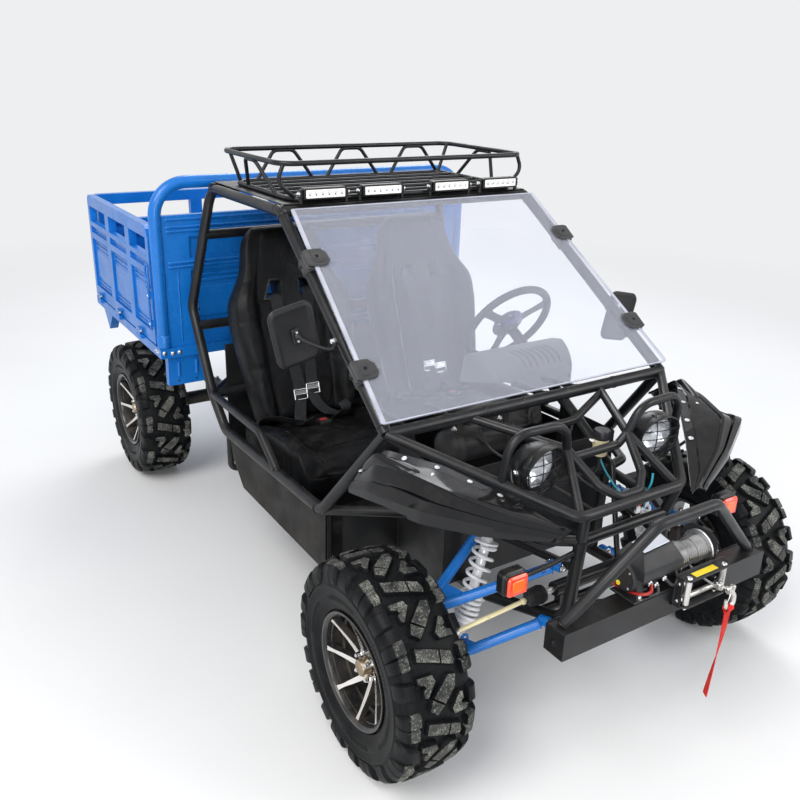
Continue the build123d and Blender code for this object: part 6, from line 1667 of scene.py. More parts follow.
def make_windscreen():
    """The clear sheet with pale strips on its edges, partly protective film and partly a painted highlight
    where the edge catches light, and the four clamps that hold it to the cage.
    """
    form = Form()
    form.stand((SCREEN_FOOT[0], 0, SCREEN_FOOT[2]), SCREEN_OUT, Y)
    long = SCREEN_RUN.length
    low, high = SCREEN_FOOT[1], SCREEN_HEAD[1]
    outline = []
    for (x, y), angles in (((low - 12, 12), (-90, -60, -30, 0)), ((high - 12, long - 12), (0, 30, 60, 90)),
            ((12 - high, long - 12), (90, 120, 150, 180)), ((12 - low, 12), (180, 210, 240, 270))):
        outline += [(x + 12 * cos(radians(t)), y + 12 * sin(radians(t))) for t in angles]
    form.prism(outline, -2.5, 2.5, "clear_screen", 0.6)
    # Pale strips on the edges: protective film, and a painted highlight where the sheet's edge catches
    # light.
    for hand in (1, -1):
        strip = [(low - 15, 4), (high - 15, long - 4), (high - 1, long - 4), (low - 1, 4)]
        form.prism([(hand * x, y) for x, y in strip][::-hand], 2.5, 2.9, "screen_edge", 0.15)
    for half, bottom, top in ((low, 1, 5), (high, long - 6, long - 1)):
        strip = [(4 - half, bottom), (half - 4, bottom), (half - 4, top), (4 - half, top)]
        form.prism(strip, 2.5, 2.9, "screen_edge", 0.15)
    form.piece("windscreen_sheet", "clear_screen", "windscreen")
    form = Form()
    for side in (1, -1):
        form.side = side
        run = (ROOF_END - COWL_END).normalized()
        for share in CLAMP_SHARES:
            edge = lerp(SCREEN_FOOT, SCREEN_HEAD, share)
            form.stand(edge, SCREEN_OUT, Y)
            # Pads above and below the sheet; the outer end wraps the tube.
            for low, high, shrink in ((2.8, 11.5, 0), (-14, -2.8, 4)):
                pad = [(-58 + shrink, -16), (-58 + shrink, 16), (-40, 36), (6, 36), (22, 30), (22, -30),
                    (6, -36), (-40, -36)]
                form.prism(pad[::-1], low, high, "clamp_grey", 4)
            rib = [(-44, -12), (-30, -24), (0, -24), (0, 24), (-30, 24), (-44, 12)]
            form.prism(rib, 11, 14, "clamp_grey", 2.2)
            form.prism(inset(rib, 7), 13.5, 15, "clamp_grey", 1)
            form.bolt((-16, 0, 14.5), Z, 4.2, "lamp_black")
            form.home()
            near = COWL_END + run * (edge - COWL_END).dot(run)
            form.bar(near - run * 30, near + run * 30, 23, "clamp_grey", 40, 3)
            for end in (-22, 22):
                form.ring(near + run * end, run, 23, 1.6, "clamp_grey", 40, 6)
            form.bolt(near + run * 6 + Vector((0, 23, 0)), Y, 5, "lamp_black")
    form.piece("screen_clamp_set", "lamp_black", "screen_clamps")


def make_light_bars():
    """Four lamps with six warm cells each, a finned back and a bracket with a screw at each end."""
    form = Form()
    for y in (-371, -146, 146, 371):
        form.stand((160, y, 1475), (1, 0, 0.02), Y)
        form.prism(rounded(160, 38, 5), -16, 18, "lamp_black", 2)
        form.prism(rounded(146, 27, 3), 17, 18.6, "led_face", 0.6)
        for cell in range(6):
            keep = form.at
            form.at = keep @ Matrix.Translation((-60 + 24 * cell, 0, 18.4))
            form.lathe(((0, 10.4), (0.8, 10), (0.3, 8), (0.2, 3.4)), "lamp_chrome", 20)
            form.dome((0, -4, 0.2), Z, 2.6, "cable_black", 0.4)
            form.at = keep
        for fin in range(9):
            form.block((-72 + 17 * fin, -16, -19), (-69 + 17 * fin, 16, -15), "lamp_black", 0.6)
        for hand in (1, -1):
            form.block((hand * 86 - 5, -14, -10), (hand * 86 + 5, 14, 10), "lamp_black", 2)
            form.bolt((hand * 91, 0, 0), (hand, 0, 0), 6)
            form.block((hand * 86 - 5, -34, -6), (hand * 86 + 5, -12, 6), "lamp_black", 1.2)
    form.home()
    form.cable([(140, -455, 1462), (132, -300, 1458), (134, -60, 1457), (132, 200, 1458), (136, 440, 1464)],
        3, "cable_black", 8)
    form.piece("light_bar_set", "lamp_black", "light_bars")


def make_pedals():
    """Brake and throttle, with ribbed pads."""
    form = Form()
    for y, pad_z, half in ((200, 475, 40), (290, 465, 24)):
        form.cable([(893, y, 600), (884, y, 560), (872, y, pad_z + 30), (859, y, pad_z)], 7, "zinc_steel",
            14)
        form.stand((858, y, pad_z), (-1, 0, 0.12), Z)
        form.prism(rounded(70, 2 * half, 8), -2, 6, "cable_black", 2)
        for rib in range(-4, 5):
            form.block((rib * 7 - 1.4, -half + 5, 5.5), (rib * 7 + 1.4, half - 5, 8), "cable_black", 0.8)
        form.home()
        form.block((886, y - 14, 586), (899.5, y + 14, 614), "zinc_steel", 2)
        form.bar((889, y - 18, 600), (889, y + 18, 600), 6, "bright_zinc", 16)
    form.piece("pedal_set", "zinc_steel", "pedals")


def make_cabin():
    make_seats()
    make_harnesses()
    make_steering_wheel()
    make_dashboard()
    make_mirrors()
    make_windscreen()
    make_light_bars()
    make_pedals()


# Body, front suspension and drive.
# Cross-sections of a fender: x, inner y and z, ridge y and z, outer y and z.
FENDER = ((835, 578, 812, 616, 786, 650, 744), (935, 588, 893, 620, 860, 650, 772),
    (1050, 474, 866, 588, 864, 642, 800), (1185, 362, 808, 540, 852, 630, 825),
    (1265, 288, 768, 420, 798, 475, 778), (1335, 225, 733, 250, 738, 282, 722))
RIVETS = (980, 1050, 1121, 1186)
# Points of a fender's ring that other parts start from.
INNER, FLANGE, RIDGE, BAND, LIP, UNDERSIDE = 1, 2, 6, 11, 13, 19


def fender_relief(form):
    """On a fender: the teardrop bulge, the blade on the ridge, the front band and the pale flange strip."""
    rows = []
    for i in range(25):
        u = i / 24
        x = 846 + 225 * u
        ring = fender_ring(x)
        full = max(sqrt(u) * (1 - u) * 2.6, 0.015)
        across = ring[RIDGE] - ring[3]
        middle, half = lerp(ring[3], ring[RIDGE], 0.66), across * (0.50 * full ** 0.6)
        up = Vector((0.34, 0.94)) * (24 * full)
        rows.append([(x, *(middle + half * cos(t) + up * (sin(t) if sin(t) > 0 else 0.6 * sin(t))))
            for t in turns(20)])
    form.skin(rows, "gloss_black")
    rows = []
    for i in range(25):
        x = 1015 + 315 * i / 24
        ring = fender_ring(x)
        wide = 15 - 9 * i / 24
        middle = lerp(ring[5], ring[RIDGE], 0.5)
        rows.append([(x, middle.x + dy, middle.y + dz) for dy, dz in ((-wide, -4), (-wide * 0.5, 5),
            (wide * 0.7, 6), (wide, -5))])
    form.skin(rows, "gloss_black")
    rows = []
    for i in range(21):
        x = 1128 + 204 * i / 20
        ring = fender_ring(x)
        top = lerp(ring[LIP], ring[BAND], min(1, 0.25 + i / 5))
        size = min(1, (ring[LIP] - ring[RIDGE]).length / 90)
        rows.append([(x, p.x, p.y) for p in (top + Vector((-4, -5)) * size, top + Vector((1, 5)) * size,
            ring[LIP] + Vector((5, 4)) * size, ring[LIP + 1] + Vector((6, -3)) * size,
            ring[LIP + 1] + Vector((-1, -6)) * size)])
    form.skin(rows, "gloss_black")
    rows = []
    for i in range(29):
        x = 905 + 252 * i / 28
        ring = fender_ring(x)
        ends = lerp(ring[INNER], ring[FLANGE], 0.08), lerp(ring[INNER], ring[FLANGE], 0.97)
        rows.append([(x, p.x, p.y + dz) for p, dz in ((ends[0], -1), (ends[0], 1.2), (ends[1], 1.2),
            (ends[1], -1))])
    form.skin(rows, "flange_grey")


def fender_ring(x):
    """Points round a fender at one x: flange, hump, ridge, groove, outer band, lip and underside."""
    inner, ridge, outer = [Vector((level([(row[0], row[1 + k]) for row in FENDER], x, 12),
        level([(row[0], row[2 + k]) for row in FENDER], x, 12))) for k in (0, 2, 4)]
    wide = (ridge - inner).length
    size = min(1, (outer - inner).length / 200)
    out = Vector((0.28, 0.96)) * size
    flange = min(40 / max(wide, 1), 0.42)
    return [inner + Vector((0, -9)), inner, lerp(inner, ridge, flange),
        lerp(inner, ridge, flange * 1.12) + out * 5, lerp(inner, ridge, 0.62) + out * 8,
        lerp(inner, ridge, 0.86) + out * 6, ridge + out * 3, lerp(ridge, outer, 0.2) + out * 1,
        lerp(ridge, outer, 0.46) + out * 1, lerp(ridge, outer, 0.5) - out * 6,
        lerp(ridge, outer, 0.58) - out * 6, lerp(ridge, outer, 0.62) + out * 5,
        lerp(ridge, outer, 0.9) + out * 6, outer + out * 3, outer + Vector((1, -25)) * size,
        outer + Vector((-3, -26)) * size, outer + Vector((-5, -6)) * size,
        lerp(ridge, outer, 0.4) - out * 11, ridge - out * 9, lerp(inner, ridge, 0.5) - out * 5,
        inner + Vector((5, -6)), inner + Vector((3, -10))]


def make_fenders():
    """The front fenders with their rivets and stays."""
    for name, side in SIDES:
        form = Form(side)
        places = [835, 838, 845] + [857 + 466 * i / 34 for i in range(35)] + [1330, 1335]
        rows = [[(x, p.x, p.y) for p in fender_ring(x)] for x in places]
        form.skin(rows, "gloss_black")
        for x in RIVETS:
            ring = fender_ring(x)
            here, edge = ring[INNER], ring[FLANGE]
            middle = lerp(here, edge, 0.55)
            up = (0.12, -(edge - here).normalized().y, (edge - here).normalized().x)
            form.dome((x, middle.x, middle.y + 1), up, 8.5, "screw_white", 0.42, 20)
            form.ring((x, middle.x, middle.y + 0.6), up, 9.2, 1.2, "cable_black", 20, 6)
        fender_relief(form)
        ring = fender_ring(1078)
        form.dome((1078, ring[4].x, ring[4].y), (0, 0.3, 1), 6, "screw_white", 0.4)
        ring = fender_ring(846)
        form.dome((846, ring[RIDGE].x, ring[RIDGE].y + 3), (-0.3, 0.3, 1), 7, "screw_white", 0.4)
        # Stays under the fender to the frame.
        for x in (930, 1150):
            ring = fender_ring(x)
            form.pipe([(x, ring[UNDERSIDE].x + 20, ring[UNDERSIDE].y - 4),
                (x, ring[UNDERSIDE].x, ring[UNDERSIDE].y - 30), (x - 10, ring[INNER].x - 10,
                ring[INNER].y - 60)], 5, "black_tube", 10)
        form.piece(f"fender_{name}_shell", "gloss_black", "fenders", sharp=28)


ARM_FEET = (((1246.3, 228, 390.2), (989.5, 279.3, 334.9), (-0.959, 0.192, -0.207), 16, 228),
    ((1251.4, 212.9, 575), (990.5, 285.7, 575), (-0.963, 0.269, 0), 14, 428))
KINGPIN = (FRONT_AXLE_X, 545)
ARM_WIRE = 15.5


def make_arms():
    """Blue tube arms with welded bushes, gusset plates and zinc pivot bolts."""
    for name, side in SIDES:
        form = Form(side)
        for front, rear, run, bush, ball_z in ARM_FEET:
            eye = Vector((*KINGPIN, ball_z))
            run = Vector(run)
            for foot in (front, rear):
                foot = Vector(foot)
                out = (eye - foot).normalized()
                form.bar(foot + out * (bush - 2), eye - out * 12, ARM_WIRE, "blue_paint", 28, 2)
                form.bar(foot - run * 18, foot + run * 18, bush, "blue_paint", 28, 2)
                form.bar(foot - run * 21, foot + run * 21, bush * 0.62, "cable_black", 24, 1)
                form.ring(foot + out * (bush + 2), out, ARM_WIRE + 0.6, 2.4, "blue_paint", 28, 8)
                for end in (1, -1):
                    form.bolt(foot + run * 21 * end, run * end, 8)
            form.bar(eye - Vector((0, 0, 13)), eye + Vector((0, 0, 13)), 24, "blue_paint", 32, 2.5)
            form.bar(eye - Vector((0, 0, 20)), eye + Vector((0, 0, 20)), 15, "cable_black", 28, 5)
            for end in (1, -1):
                form.bolt(eye + Vector((0, 0, 24 * end)), (0, 0, end), 9, washer=False)
            plate_z = Vector((0, 0, 2.5))
            web = [eye + (Vector(foot) - eye) * share for foot, share in ((front, 0.05), (front, 0.36),
                (rear, 0.36), (rear, 0.05))]
            form.skin([[p - plate_z for p in web], [p + plate_z for p in web]], "blue_paint")
            if ball_z < 300:
                ends = [lerp(eye, foot, 0.45) for foot in (front, rear)]
                form.bar(ends[0], ends[1], ARM_WIRE, "blue_paint", 28, 2)
                middle = Vector(SHOCK_LOW)
                for dx in (-23, 19):
                    tab = [(-17, -24), (17, -24), (13, 8), (6, 14), (-6, 14), (-13, 8)]
                    form.stand(middle + Vector((dx, 0, 0)), X, Y)
                    form.prism(tab, 0, 4, "blue_paint", 1)
                    form.home()
        form.piece(f"arm_{name}", "blue_paint", "front_arms")


# The rack's axis and the tie rod's outer end.
RACK_X = 1190
RACK_Z = 440
ROD_END = (1165, 545, 395)


def make_steering_rack():
    """Rack bar, pleated bellows, pale zinc tie rods with jam nuts and the two ends."""
    form = Form()
    form.bar((RACK_X, -224.5, RACK_Z), (RACK_X, 224.5, RACK_Z), 9.8, "worn_zinc", 24)
    for side in (1, -1):
        form.side = side
        form.stand((RACK_X, 194, RACK_Z), Y, Z)
        profile = [(0, 26), (6, 26.5), (8, 23)]
        for fold in range(6):
            start = 9 + fold * 7.6
            tip = 29 - fold * 0.7
            profile += [(start, 23), (start + 2.2, tip), (start + 4.2, tip), (start + 6.6, 23 - fold * 0.6)]
        profile += [(57, 15), (62, 14), (63, 11)]
        form.lathe(profile, "cable_black", 36)
        form.home()
        low, high = Vector((RACK_X, 226, RACK_Z)), Vector(ROD_END)
        run = (high - low).normalized()
        form.bar(low + run * 20, high - run * 10, 6.8, "yellow_zinc", 20)
        form.bar(low + run * 34, low + run * 44, 10.5, "yellow_zinc", 6, 1)
        form.bar(high - run * 62, high - run * 48, 11, "bright_zinc", 6, 1)
        form.bar(high - run * 48, high - run * 6, 9.4, "cast_black", 20, 2)
        form.bar(high - Vector((0, 0, 12)), high + Vector((0, 0, 12)), 14, "cast_black", 28, 3)
        form.dome(high + Vector((0, 0, 11)), Z, 11, "bright_zinc", 0.4)
        form.bar(high - Vector((0, 0, 17)), high - Vector((0, 0, 12)), 9, "cable_black", 20, 1.5)
    form.piece("rack_and_rods", "yellow_zinc", "steering_rack", body="steering_rack")


def make_knuckles():
    """Cast uprights with ribs, a brake caliper and its hose."""
    for name, side in SIDES:
        form = Form(side)
        x, y = KINGPIN
        rows = []
        for z, wide, deep in ((262, 16, 15), (268, 20, 19), (290, 22, 21), (317, 30, 22), (345, 22, 21),
                (385, 20, 20), (394, 18, 18), (398, 15, 15)):
            rows.append([(x + px, y + 1 + py, z) for px, py in rounded(wide * 2, deep * 2, 8, 4)])
        form.skin(rows, "cast_black")
        form.bar((x, y, 216), (x, y, 440), 9.8, "worn_zinc", 20)
        form.stand((x, y, TYRE_RADIUS), Y, Z)
        form.lathe(((18, 30), (22, 40), (28, 44), (34, 44), (36, 40), (37, 30), (44, 19)), "cast_black", 40)
        form.lathe(((30, 14.9), (191, 14.9), (192, 13)), "worn_zinc", 28)
        form.home()
        arm = [(x, y - 10), (x + 82, y - 9), (x + 96, y - 13), (x + 103, y - 6), (x + 103, y + 6),
            (x + 96, y + 13), (x + 82, y + 9), (x, y + 10)]
        form.prism(arm, 365.2, 376.8, "cast_black", 2.5)
        form.bar((x + 90, y, 352), (x + 90, y, 365.5), 9, "bright_zinc", 6, 1.5)
        # Caliper behind the axle, inside the disc.
        form.block((x - 62, y - 12, 296), (x - 24, y + 24, 344), "cast_black", 5)
        form.bar((x - 44, y - 17, 312), (x - 44, y - 8, 312), 13, "cast_black", 24, 2)
        form.bolt((x - 44, y - 17, 334), (0, -1, 0), 5)
        form.cable([(x - 44, y - 18, 312), (x - 56, y - 48, 330), (x - 58, y - 84, 372),
            (x - 50, y - 96, 402)], 3.2, "cable_black", 10)
        form.piece(f"upright_{name}", "cast_black", f"knuckle_{name}", body=f"knuckle_{name}")


def make_engine():
    """Engine and gearbox: ribbed crankcase, finned cylinder, covers, carburettor, filter and muffler."""
    form = Form()
    form.block((-830, -150, 344), (-470, 150, 470), "cast_black", 14)
    form.block((-858, -96, 362), (-800, 96, 452), "cast_black", 10)
    for y in range(-130, 131, 26):
        form.block((-826, y - 2, 468), (-660, y + 2, 480), "cast_black", 1.5)
    for side in (1, -1):
        form.side = side
        form.stand((-560, 146, 420), Y, Z)
        form.lathe(((0, 74), (24, 74), (34, 68), (38, 52), (36, 40), (42, 30), (42, 2)), "cast_black", 56)
        for turn in turns(8):
            form.bolt(polar(66, turn, 32), Z, 5, washer=False)
        form.stand((-740, 146, 410), Y, Z)
        form.lathe(((0, 56), (20, 56), (28, 50), (30, 22), (40, 18), (40, 2)), "worn_zinc", 48)
        form.home()
    form.side = 1
    form.stand((-520, 0, 462), (0.35, 0, 1), Y)
    for fin in range(9):
        form.prism(rounded(172 - 3 * (fin % 2), 130, 14), 4 + 11 * fin, 8.5 + 11 * fin, "worn_zinc", 1.2)
    form.lathe(((0, 52), (104, 52)), "cast_black", 40)
    form.prism(rounded(150, 116, 18), 100, 128, "worn_zinc", 6)
    for x, y in ((60, 44), (-60, 44), (60, -44), (-60, -44)):
        form.bolt((x, y, 128), Z, 6.5)
    form.home()
    form.cable([(-560, -40, 545), (-610, -60, 560), (-650, -80, 562)], 21, "cast_black", 24)
    form.bar((-700, -80, 556), (-645, -80, 556), 29, "worn_zinc", 32, 3)
    form.bar((-800, -84, 552), (-700, -84, 552), 52, "black_plastic", 48, 8)
    form.cable([(-500, 50, 530), (-470, 120, 530), (-500, 178, 500), (-620, 188, 492)], 17, "worn_zinc", 24)
    form.bar((-846, 160, 520), (-610, 160, 520), 50, "cast_black", 48, 12)
    form.bar((-858, 168, 520), (-846, 168, 520), 14, "worn_zinc", 24, 1)
    for x in (-790, -670):
        form.ring((x, 160, 520), X, 50.5, 2.6, "worn_zinc", 48, 8)
    form.cable([(-470, -120, 440), (-452, -160, 470), (-470, -196, 540), (-560, -200, 580)], 9,
        "cable_black", 14)
    form.block((-640, 10, 560), (-560, 90, 606), "black_plastic", 6)
    form.piece("engine_unit", "cast_black", "engine")


# Half lengths of the axle tube and of the whole axle.
TUBE_HALF = 585
AXLE_HALF = 726


def make_rear_axle():
    """Axle tube with a ribbed differential, flanges and a torque tube."""
    form = Form()
    x, z = REAR_AXLE_X, TYRE_RADIUS
    form.stand((x, 0, z), Y, X)
    form.lathe(((-TUBE_HALF, 32), (TUBE_HALF, 32)), "cast_black", 40)
    form.lathe(((-100, 50), (-92, 56), (-62, 102), (-52, 106), (-8, 106), (-7, 114), (7, 114), (8, 106),
        (52, 106), (62, 102), (92, 56), (100, 50)), "cast_black", 56)
    for turn in turns(12):
        form.bolt(polar(108.5, turn, 7), Z, 5, washer=False)
    form.lathe(((-AXLE_HALF, 14.8), (-TUBE_HALF, 14.8)), "worn_zinc", 28)
    form.lathe(((TUBE_HALF, 14.8), (AXLE_HALF, 14.8)), "worn_zinc", 28)
    for hand in (1, -1):
        form.lathe([(hand * a, r) for a, r in ((540, 32), (548, 54), (556, 54), (560, 32))], "cast_black",
            40)
        form.ring((0, 0, hand * 130), Z, 32.5, 3, "cast_black", 36, 8)
    form.home()
    form.bar((-1040, 0, 372), (-861, 0, 375), 27.8, "cast_black", 36, 3)
    form.bar((-890, 0, 375), (-878, 0, 375), 44, "cast_black", 40, 2)
    for turn in turns(6):
        form.bolt((-890, 36 * cos(turn), 375 + 36 * sin(turn)), (-1, 0, 0), 4.6, washer=False)
    form.dome((x - 112, 0, z + 20), (-1, 0, 0.1), 9, "bright_zinc", 0.5)
    form.cable([(x + 40, 120, 352), (x + 20, 260, 356), (x + 24, 430, 354), (x + 10, 540, 350)], 3.2,
        "cable_black", 10)
    form.piece("rear_axle_unit", "cast_black", "rear_axle")


# Eyes of the leaf springs.
EYES_X = (-835, -1375)
EYE_Z = 455.7


def make_leaf_springs():
    """Four leaves a side with rolled eyes, clips, a clamp plate and two U bolts."""
    form = Form()
    for side in (1, -1):
        form.side = side
        y = 330
        for leaf in range(4):
            reach = 266 - 52 * leaf
            rows = []
            for step in range(21):
                along = -reach + 2 * reach * step / 20
                high = 373 - 7 * leaf + 74 * (abs(along) / 270) ** 1.7
                rows.append([(REAR_AXLE_X + along, y + py, high + pz) for py, pz in rounded(46, 6.4, 2, 2)])
            form.skin(rows, "cast_black")
        for x in EYES_X:
            form.bar((x, y - 25, EYE_Z), (x, y + 25, EYE_Z), 13, "cast_black", 28, 2)
            form.bar((x, y - 28, EYE_Z), (x, y + 28, EYE_Z), 7, "bright_zinc", 20, 1)
        for x in (-990, -1220):
            form.block((x - 9, y - 27, 362), (x + 9, y + 27, 392), "cast_black", 2)
        form.block((-1160, y - 38, 376), (-1050, y + 38, 384), "cast_black", 2)
        for x in (-1140, -1070):
            loop = [(x, y - 30, 392), (x, y - 30, 300), (x, y - 26, 284), (x, y, 281.5), (x, y + 26, 284),
                (x, y + 30, 300), (x, y + 30, 392)]
            form.pipe(smooth_path(loop, 4), 5.5, "worn_zinc", 12)
            for dy in (-30, 30):
                form.bolt((x, y + dy, 384), Z, 7.5)
    form.piece("leaf_spring_set", "cast_black", "rear_springs")


def make_cowl_drum():
    """The filter drum behind the cowl, on two straps."""
    form = Form()
    form.stand((845, -335, 800), Y, Z)
    form.lathe(((0, 2), (1, 30), (4, 44), (12, 53), (20, 54), (24, 56.5), (34, 56.5), (38, 54), (228, 54),
        (232, 56.5), (242, 56.5), (246, 54), (256, 51), (263, 42), (265, 24), (265, 2)), "black_plastic",
        64)
    form.home()
    for y in (-290, -115):
        form.block((838, y - 9, 850), (884, y + 9, 854), "cast_black", 1.5)
        band = [(845 + 55.4 * cos(radians(a)), y, 800 + 55.4 * sin(radians(a))) for a in range(0, 360, 10)]
        form.pipe(band, 0, "cast_black", 12, loop=True, flat=(10, 1, Y))
        form.block((872, y - 9, 850), (878, y + 9, 900), "cast_black", 1.5)
        form.bolt((845, y, 856), Z, 6)
    form.cable([(850, -70, 800), (856, -30, 796), (880, 0, 770), (886, 20, 720)], 8, "cable_black", 12)
    form.piece("cowl_drum_shell", "black_plastic", "cowl_drum")


def make_body():
    make_fenders()
    make_arms()
    make_steering_rack()
    make_knuckles()
    make_engine()
    make_rear_axle()
    make_leaf_springs()
    make_cowl_drum()


# Cargo bed: pressed panels, latches, hinges, bolts and lamps. Panel bays: from and to along the gate.
SIDE_BAYS = ((-1516, -1252), (-1192, -935), (-875, -646))
TAIL_BAYS = ((-677, -250), (-190, 190), (250, 677))
PANEL_Z = (823, 1063)
GATE_OUT = 751
GATE_RECESS = 14
BED_REAR = -1558


def press(form, a, b, z_low, z_high):
    """A pressed panel in local axes, along X and up Y: a raised field and two pairs of ribs."""
    middle, wide, tall = (a + b) / 2, b - a, z_high - z_low
    field = [(middle + x, (z_low + z_high) / 2 + y) for x, y in rounded(wide - 26, tall - 96, 12)]
    form.prism(field, -1, 4, "blue_paint", 2)
    form.prism(inset(field, 10), 3, 6, "blue_paint", 1.6)
    for z in (z_high - 13, z_high - 31, z_low + 13, z_low + 31):
        form.prism([(middle + x, z + y) for x, y in rounded(wide - 20, 10, 4.9)], -1, 5.5, "blue_paint", 3)


def latch(form):
    """A sprung hook with its rod and two guides, on the front end of a side gate."""
    x, y = -626, GATE_OUT + 8
    form.pipe([(x, y, 840), (x, y, 1012), (x, y + 1, 1024)], 5, "blue_paint", 12)
    hook = ((0, 0, 1020), (8, 3, 1046), (-8, 5, 1072), (-4, 3, 1104), (10, 2, 1118), (18, 0, 1104),
        (12, 0, 1070), (18, 0, 1040), (10, 0, 1012))
    form.pipe(smooth_path([(x + dx, y + dy, z) for dx, dy, z in hook], 6), 4, "blue_paint", 12)
    for z in (866, 985):
        form.block((x - 13, GATE_OUT - 1, z - 11), (x + 13, GATE_OUT + 13, z + 11), "blue_paint", 3)
        form.dome((x, GATE_OUT + 13, z), Y, 4.5, "bright_zinc", 0.6)
    form.ring((x, y, 1020), Z, 7, 2.6, "blue_paint", 20, 8)


def make_gates():
    """Pressed panels, latches and hinge bolts of the three gates."""
    for name, side in SIDES:
        form = Form(side)
        for a, b in SIDE_BAYS:
            # Local X runs backwards so that local Z faces out.
            form.stand((0, GATE_OUT - GATE_RECESS, 0), Y, (-1, 0, 0))
            press(form, -b, -a, *PANEL_Z)
            form.home()
            form.block((a + 3, GATE_OUT - 31, 1139), (b - 3, GATE_OUT + 1.5, 1145), "blue_paint", 1.5)
        latch(form)
        for x in (-1444, -1121, -799):
            for dx in (-22, 22):
                form.bolt((x + dx, GATE_OUT + 8.4, 796), Y, 5.5, "worn_zinc")
        form.piece(f"gate_{name}_trim", "blue_paint", body=f"gate_{name}")
    form = Form()
    for a, b in TAIL_BAYS:
        form.stand((BED_REAR + GATE_RECESS, 0, 0), (-1, 0, 0), (0, -1, 0))
        press(form, -b, -a, *PANEL_Z)
        form.home()
    for y in (-480, 0, 480):
        for dy in (-22, 22):
            form.bolt((BED_REAR - 8.4, y + dy, 796), (-1, 0, 0), 5.5, "worn_zinc")
    form.piece("tailgate_trim", "blue_paint", body="tailgate")


SHEET_FRONT = -573


def make_headboard_trim():
    """Ribs on the pressed sheet, sleeves at the foot of the hoop, bolts, and the pressed plates below."""
    form = Form()
    form.stand((SHEET_FRONT, 0, 0), X, Y)
    for z, half, high in ((1292, 690, 14.5), (1262, 690, 14.5), (1245, 690, 14.5), (1104, 690, 16),
            (1121, 690, 16), (1062, 584, 6), (1040, 584, 6), (860, 584, 6), (838, 584, 6)):
        form.prism([(x, z + y) for x, y in rounded(2 * half, 11, 5.4)], -1, high, "blue_paint", 3.4)
    form.prism([(x, 950 + y) for x, y in rounded(1150, 126, 10)], -1, 4, "blue_paint", 2)
    for hand in (1, -1):
        form.prism([(hand * 652 + x, 940 + up) for x, up in rounded(6, 290, 2.9)], 9, 13, "blue_paint", 1.8)
    form.home()
    for side in (1, -1):
        form.side = side
        form.at = Matrix.Translation((-575, 726, 0))
        form.lathe(((776, 25.4), (778, 27.4), (826, 27.4), (829, 25.4)), "blue_paint", 44, caps=False)
        form.home()
        for y, z in ((700, 752), (672, 753), (735, 756)):
            form.bolt((-550, y, z), X, 6)
        form.bolt((-580, GATE_OUT, 757), Y, 6.5)
        form.bolt((-610, GATE_OUT, 757), Y, 5)
        # Slots pressed in the plate below, and two holes drawn as thin dark discs: painted shade where the
        # openings would be.
        for y in (600, 676):
            form.stand((-563.5, y, 676), Vector((0.997, 0, -0.077)), Z)
            form.prism(rounded(66, 13, 6), -1, 4, "blue_paint", 2)
            form.prism(rounded(56, 6, 2.8), 3, 5.4, "blue_paint", 1.2)
            form.stand((-569.2, y, 622), Vector((0.997, 0, -0.077)), Z)
            # A thin dark disc: painted shade standing for a hole.
            form.lathe(((0, 4.6), (0.7, 4.6)), "cable_black", 20)
        form.home()
    form.piece("bed_front_trim", "blue_paint", body="bed")


def make_tail_lamps():
    """Two lamps of three lenses each."""
    form = Form()
    for side in (1, -1):
        form.side = side
        form.stand((-1530, 615, 702), (-1, 0, 0), Y)
        form.prism(rounded(112, 59, 8), 0, 18, "lamp_black", 3)
        for x, wide, paint in ((-37, 32, "orange_lens"), (0, 36, "red_lens"), (37, 32, "red_lens")):
            form.prism([(x + px, py) for px, py in rounded(wide, 49, 4)], 17, 26, paint, 2.5)
        form.bolt((-18.5, 0, 18), Z, 3, washer=False)
        form.home()
    form.piece("tail_lamp_set", "red_lens", "tail_lamps", body="bed")


def make_bed():
    make_gates()
    make_headboard_trim()
    make_tail_lamps()


# Small parts on the frame: weld beads, bolts, sleeves and wires. Bead: place, direction, tube radius.
BEADS = (((887, 559, 913), (-0.82, -0.04, 0.56), 19, 24), ((145, 520, 1420), (0.82, 0.04, -0.56), 19, 26),
    ((-329, 620, 633), (0, 0, 1), 19, 24), ((-509, 620, 952), (0, -1, 0), 19, 22),
    ((-465, 530, 1420), (1, 0, 0), 19, 24), ((287, 620, 541), (-0.8, 0, 0.55), 16, 22),
    ((610, 620, 557), (-1, 0, -0.05), 19, 26), ((145, 520, 1420), (-1, 0, 0), 19, 30),
    ((1452, 372, 562), (0.16, -0.5, 0.84), 16, 3))


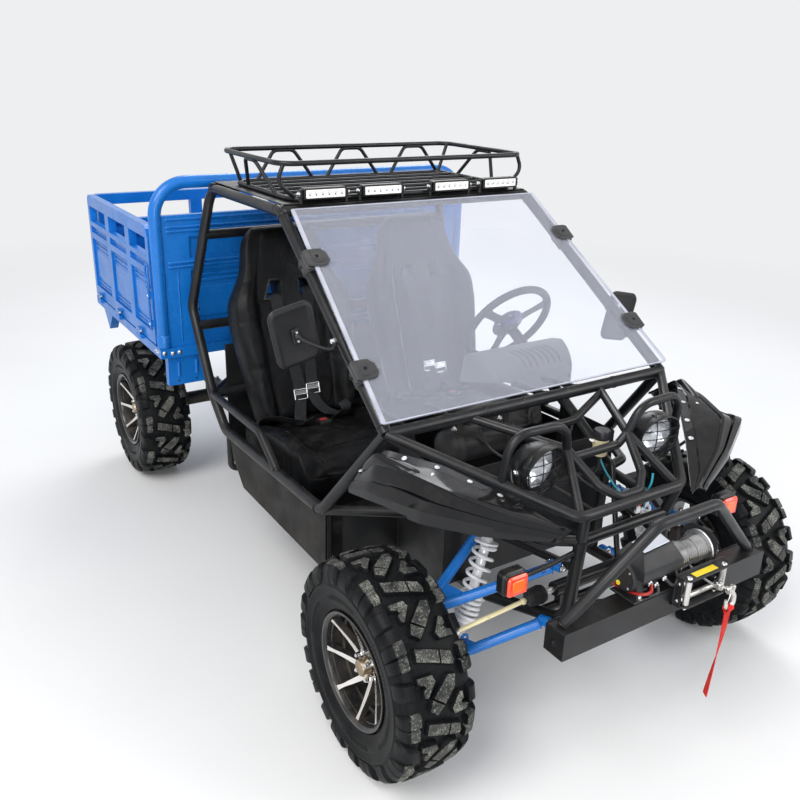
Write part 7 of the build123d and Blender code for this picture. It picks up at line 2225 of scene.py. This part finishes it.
def make_frame_trim():
    """Beads, sleeves, lips, bolts and wires on the frame."""
    form = Form()
    for side in (1, -1):
        form.side = side
        for place, run, radius, along in BEADS:
            run = Vector(run).normalized()
            form.ring(Vector(place) + run * along, run, radius + 0.4, 2.2, "black_tube", 36, 8)
    form.side = 1
    # Sleeves on the cowl bar.
    for y in (-210, -60, 120, 330):
        form.bar((887, y - 5, 913), (887, y + 5, 913), 20.2, "black_tube", 40, 1.2)
    # Lips along the open top of the bumper beam.
    for x in (1423, 1489):
        form.bar((x, -396, 560.4), (x, 396, 560.4), 2.2, "black_tube", 10)
    for side in (1, -1):
        form.side = side
        form.bar((1424, 397, 560.4), (1488, 397, 560.4), 2.2, "black_tube", 10)
        form.bolt((1456, 399, 520), Y, 7, "lamp_black")
        # The dampers' upper bolts.
        form.bolt(Vector(SHOCK_HIGH) + Vector((22, 0, 0)), X, 9)
    form.side = 1
    form.cable([(900, -240, 870), (912, -200, 800), (960, -150, 760), (1080, -60, 700), (1160, 10, 650)],
        4.5, "cable_black", 10)
    form.cable([(960, 190, 780), (1040, 150, 730), (1120, 120, 700), (1230, 96, 668)], 3.2, "teal_wire", 10)
    form.cable([(905, 150, 840), (980, 60, 760), (1080, 20, 720), (1190, 60, 690), (1236, 60, 706)], 4,
        "cable_black", 10)
    form.piece("frame_trim", "black_tube")


def soften_edges():
    """Round the edges of the pressed and folded parts that stay as they come."""
    for name in ("bed_tray", "headboard", "gate_left", "gate_right", "tailgate", "side_skirts", "bumper",
            "floor_tub", "roof_panel"):
        join = nodes[name].modifiers.new("join", "WELD")
        join.merge_threshold = 0.00002
        edge = nodes[name].modifiers.new("edge", "BEVEL")
        edge.width = 0.0022
        edge.segments = 2
        edge.limit_method = "ANGLE"
        edge.angle_limit = radians(40)
        edge.harden_normals = True


bpy.context.scene.view_settings.view_transform = "Standard"
make_camera()
make_strap()
make_stage()
dress_nodes()
soften_edges()
make_wheels()
make_nose()
make_cabin()
make_body()
make_bed()
make_frame_trim()
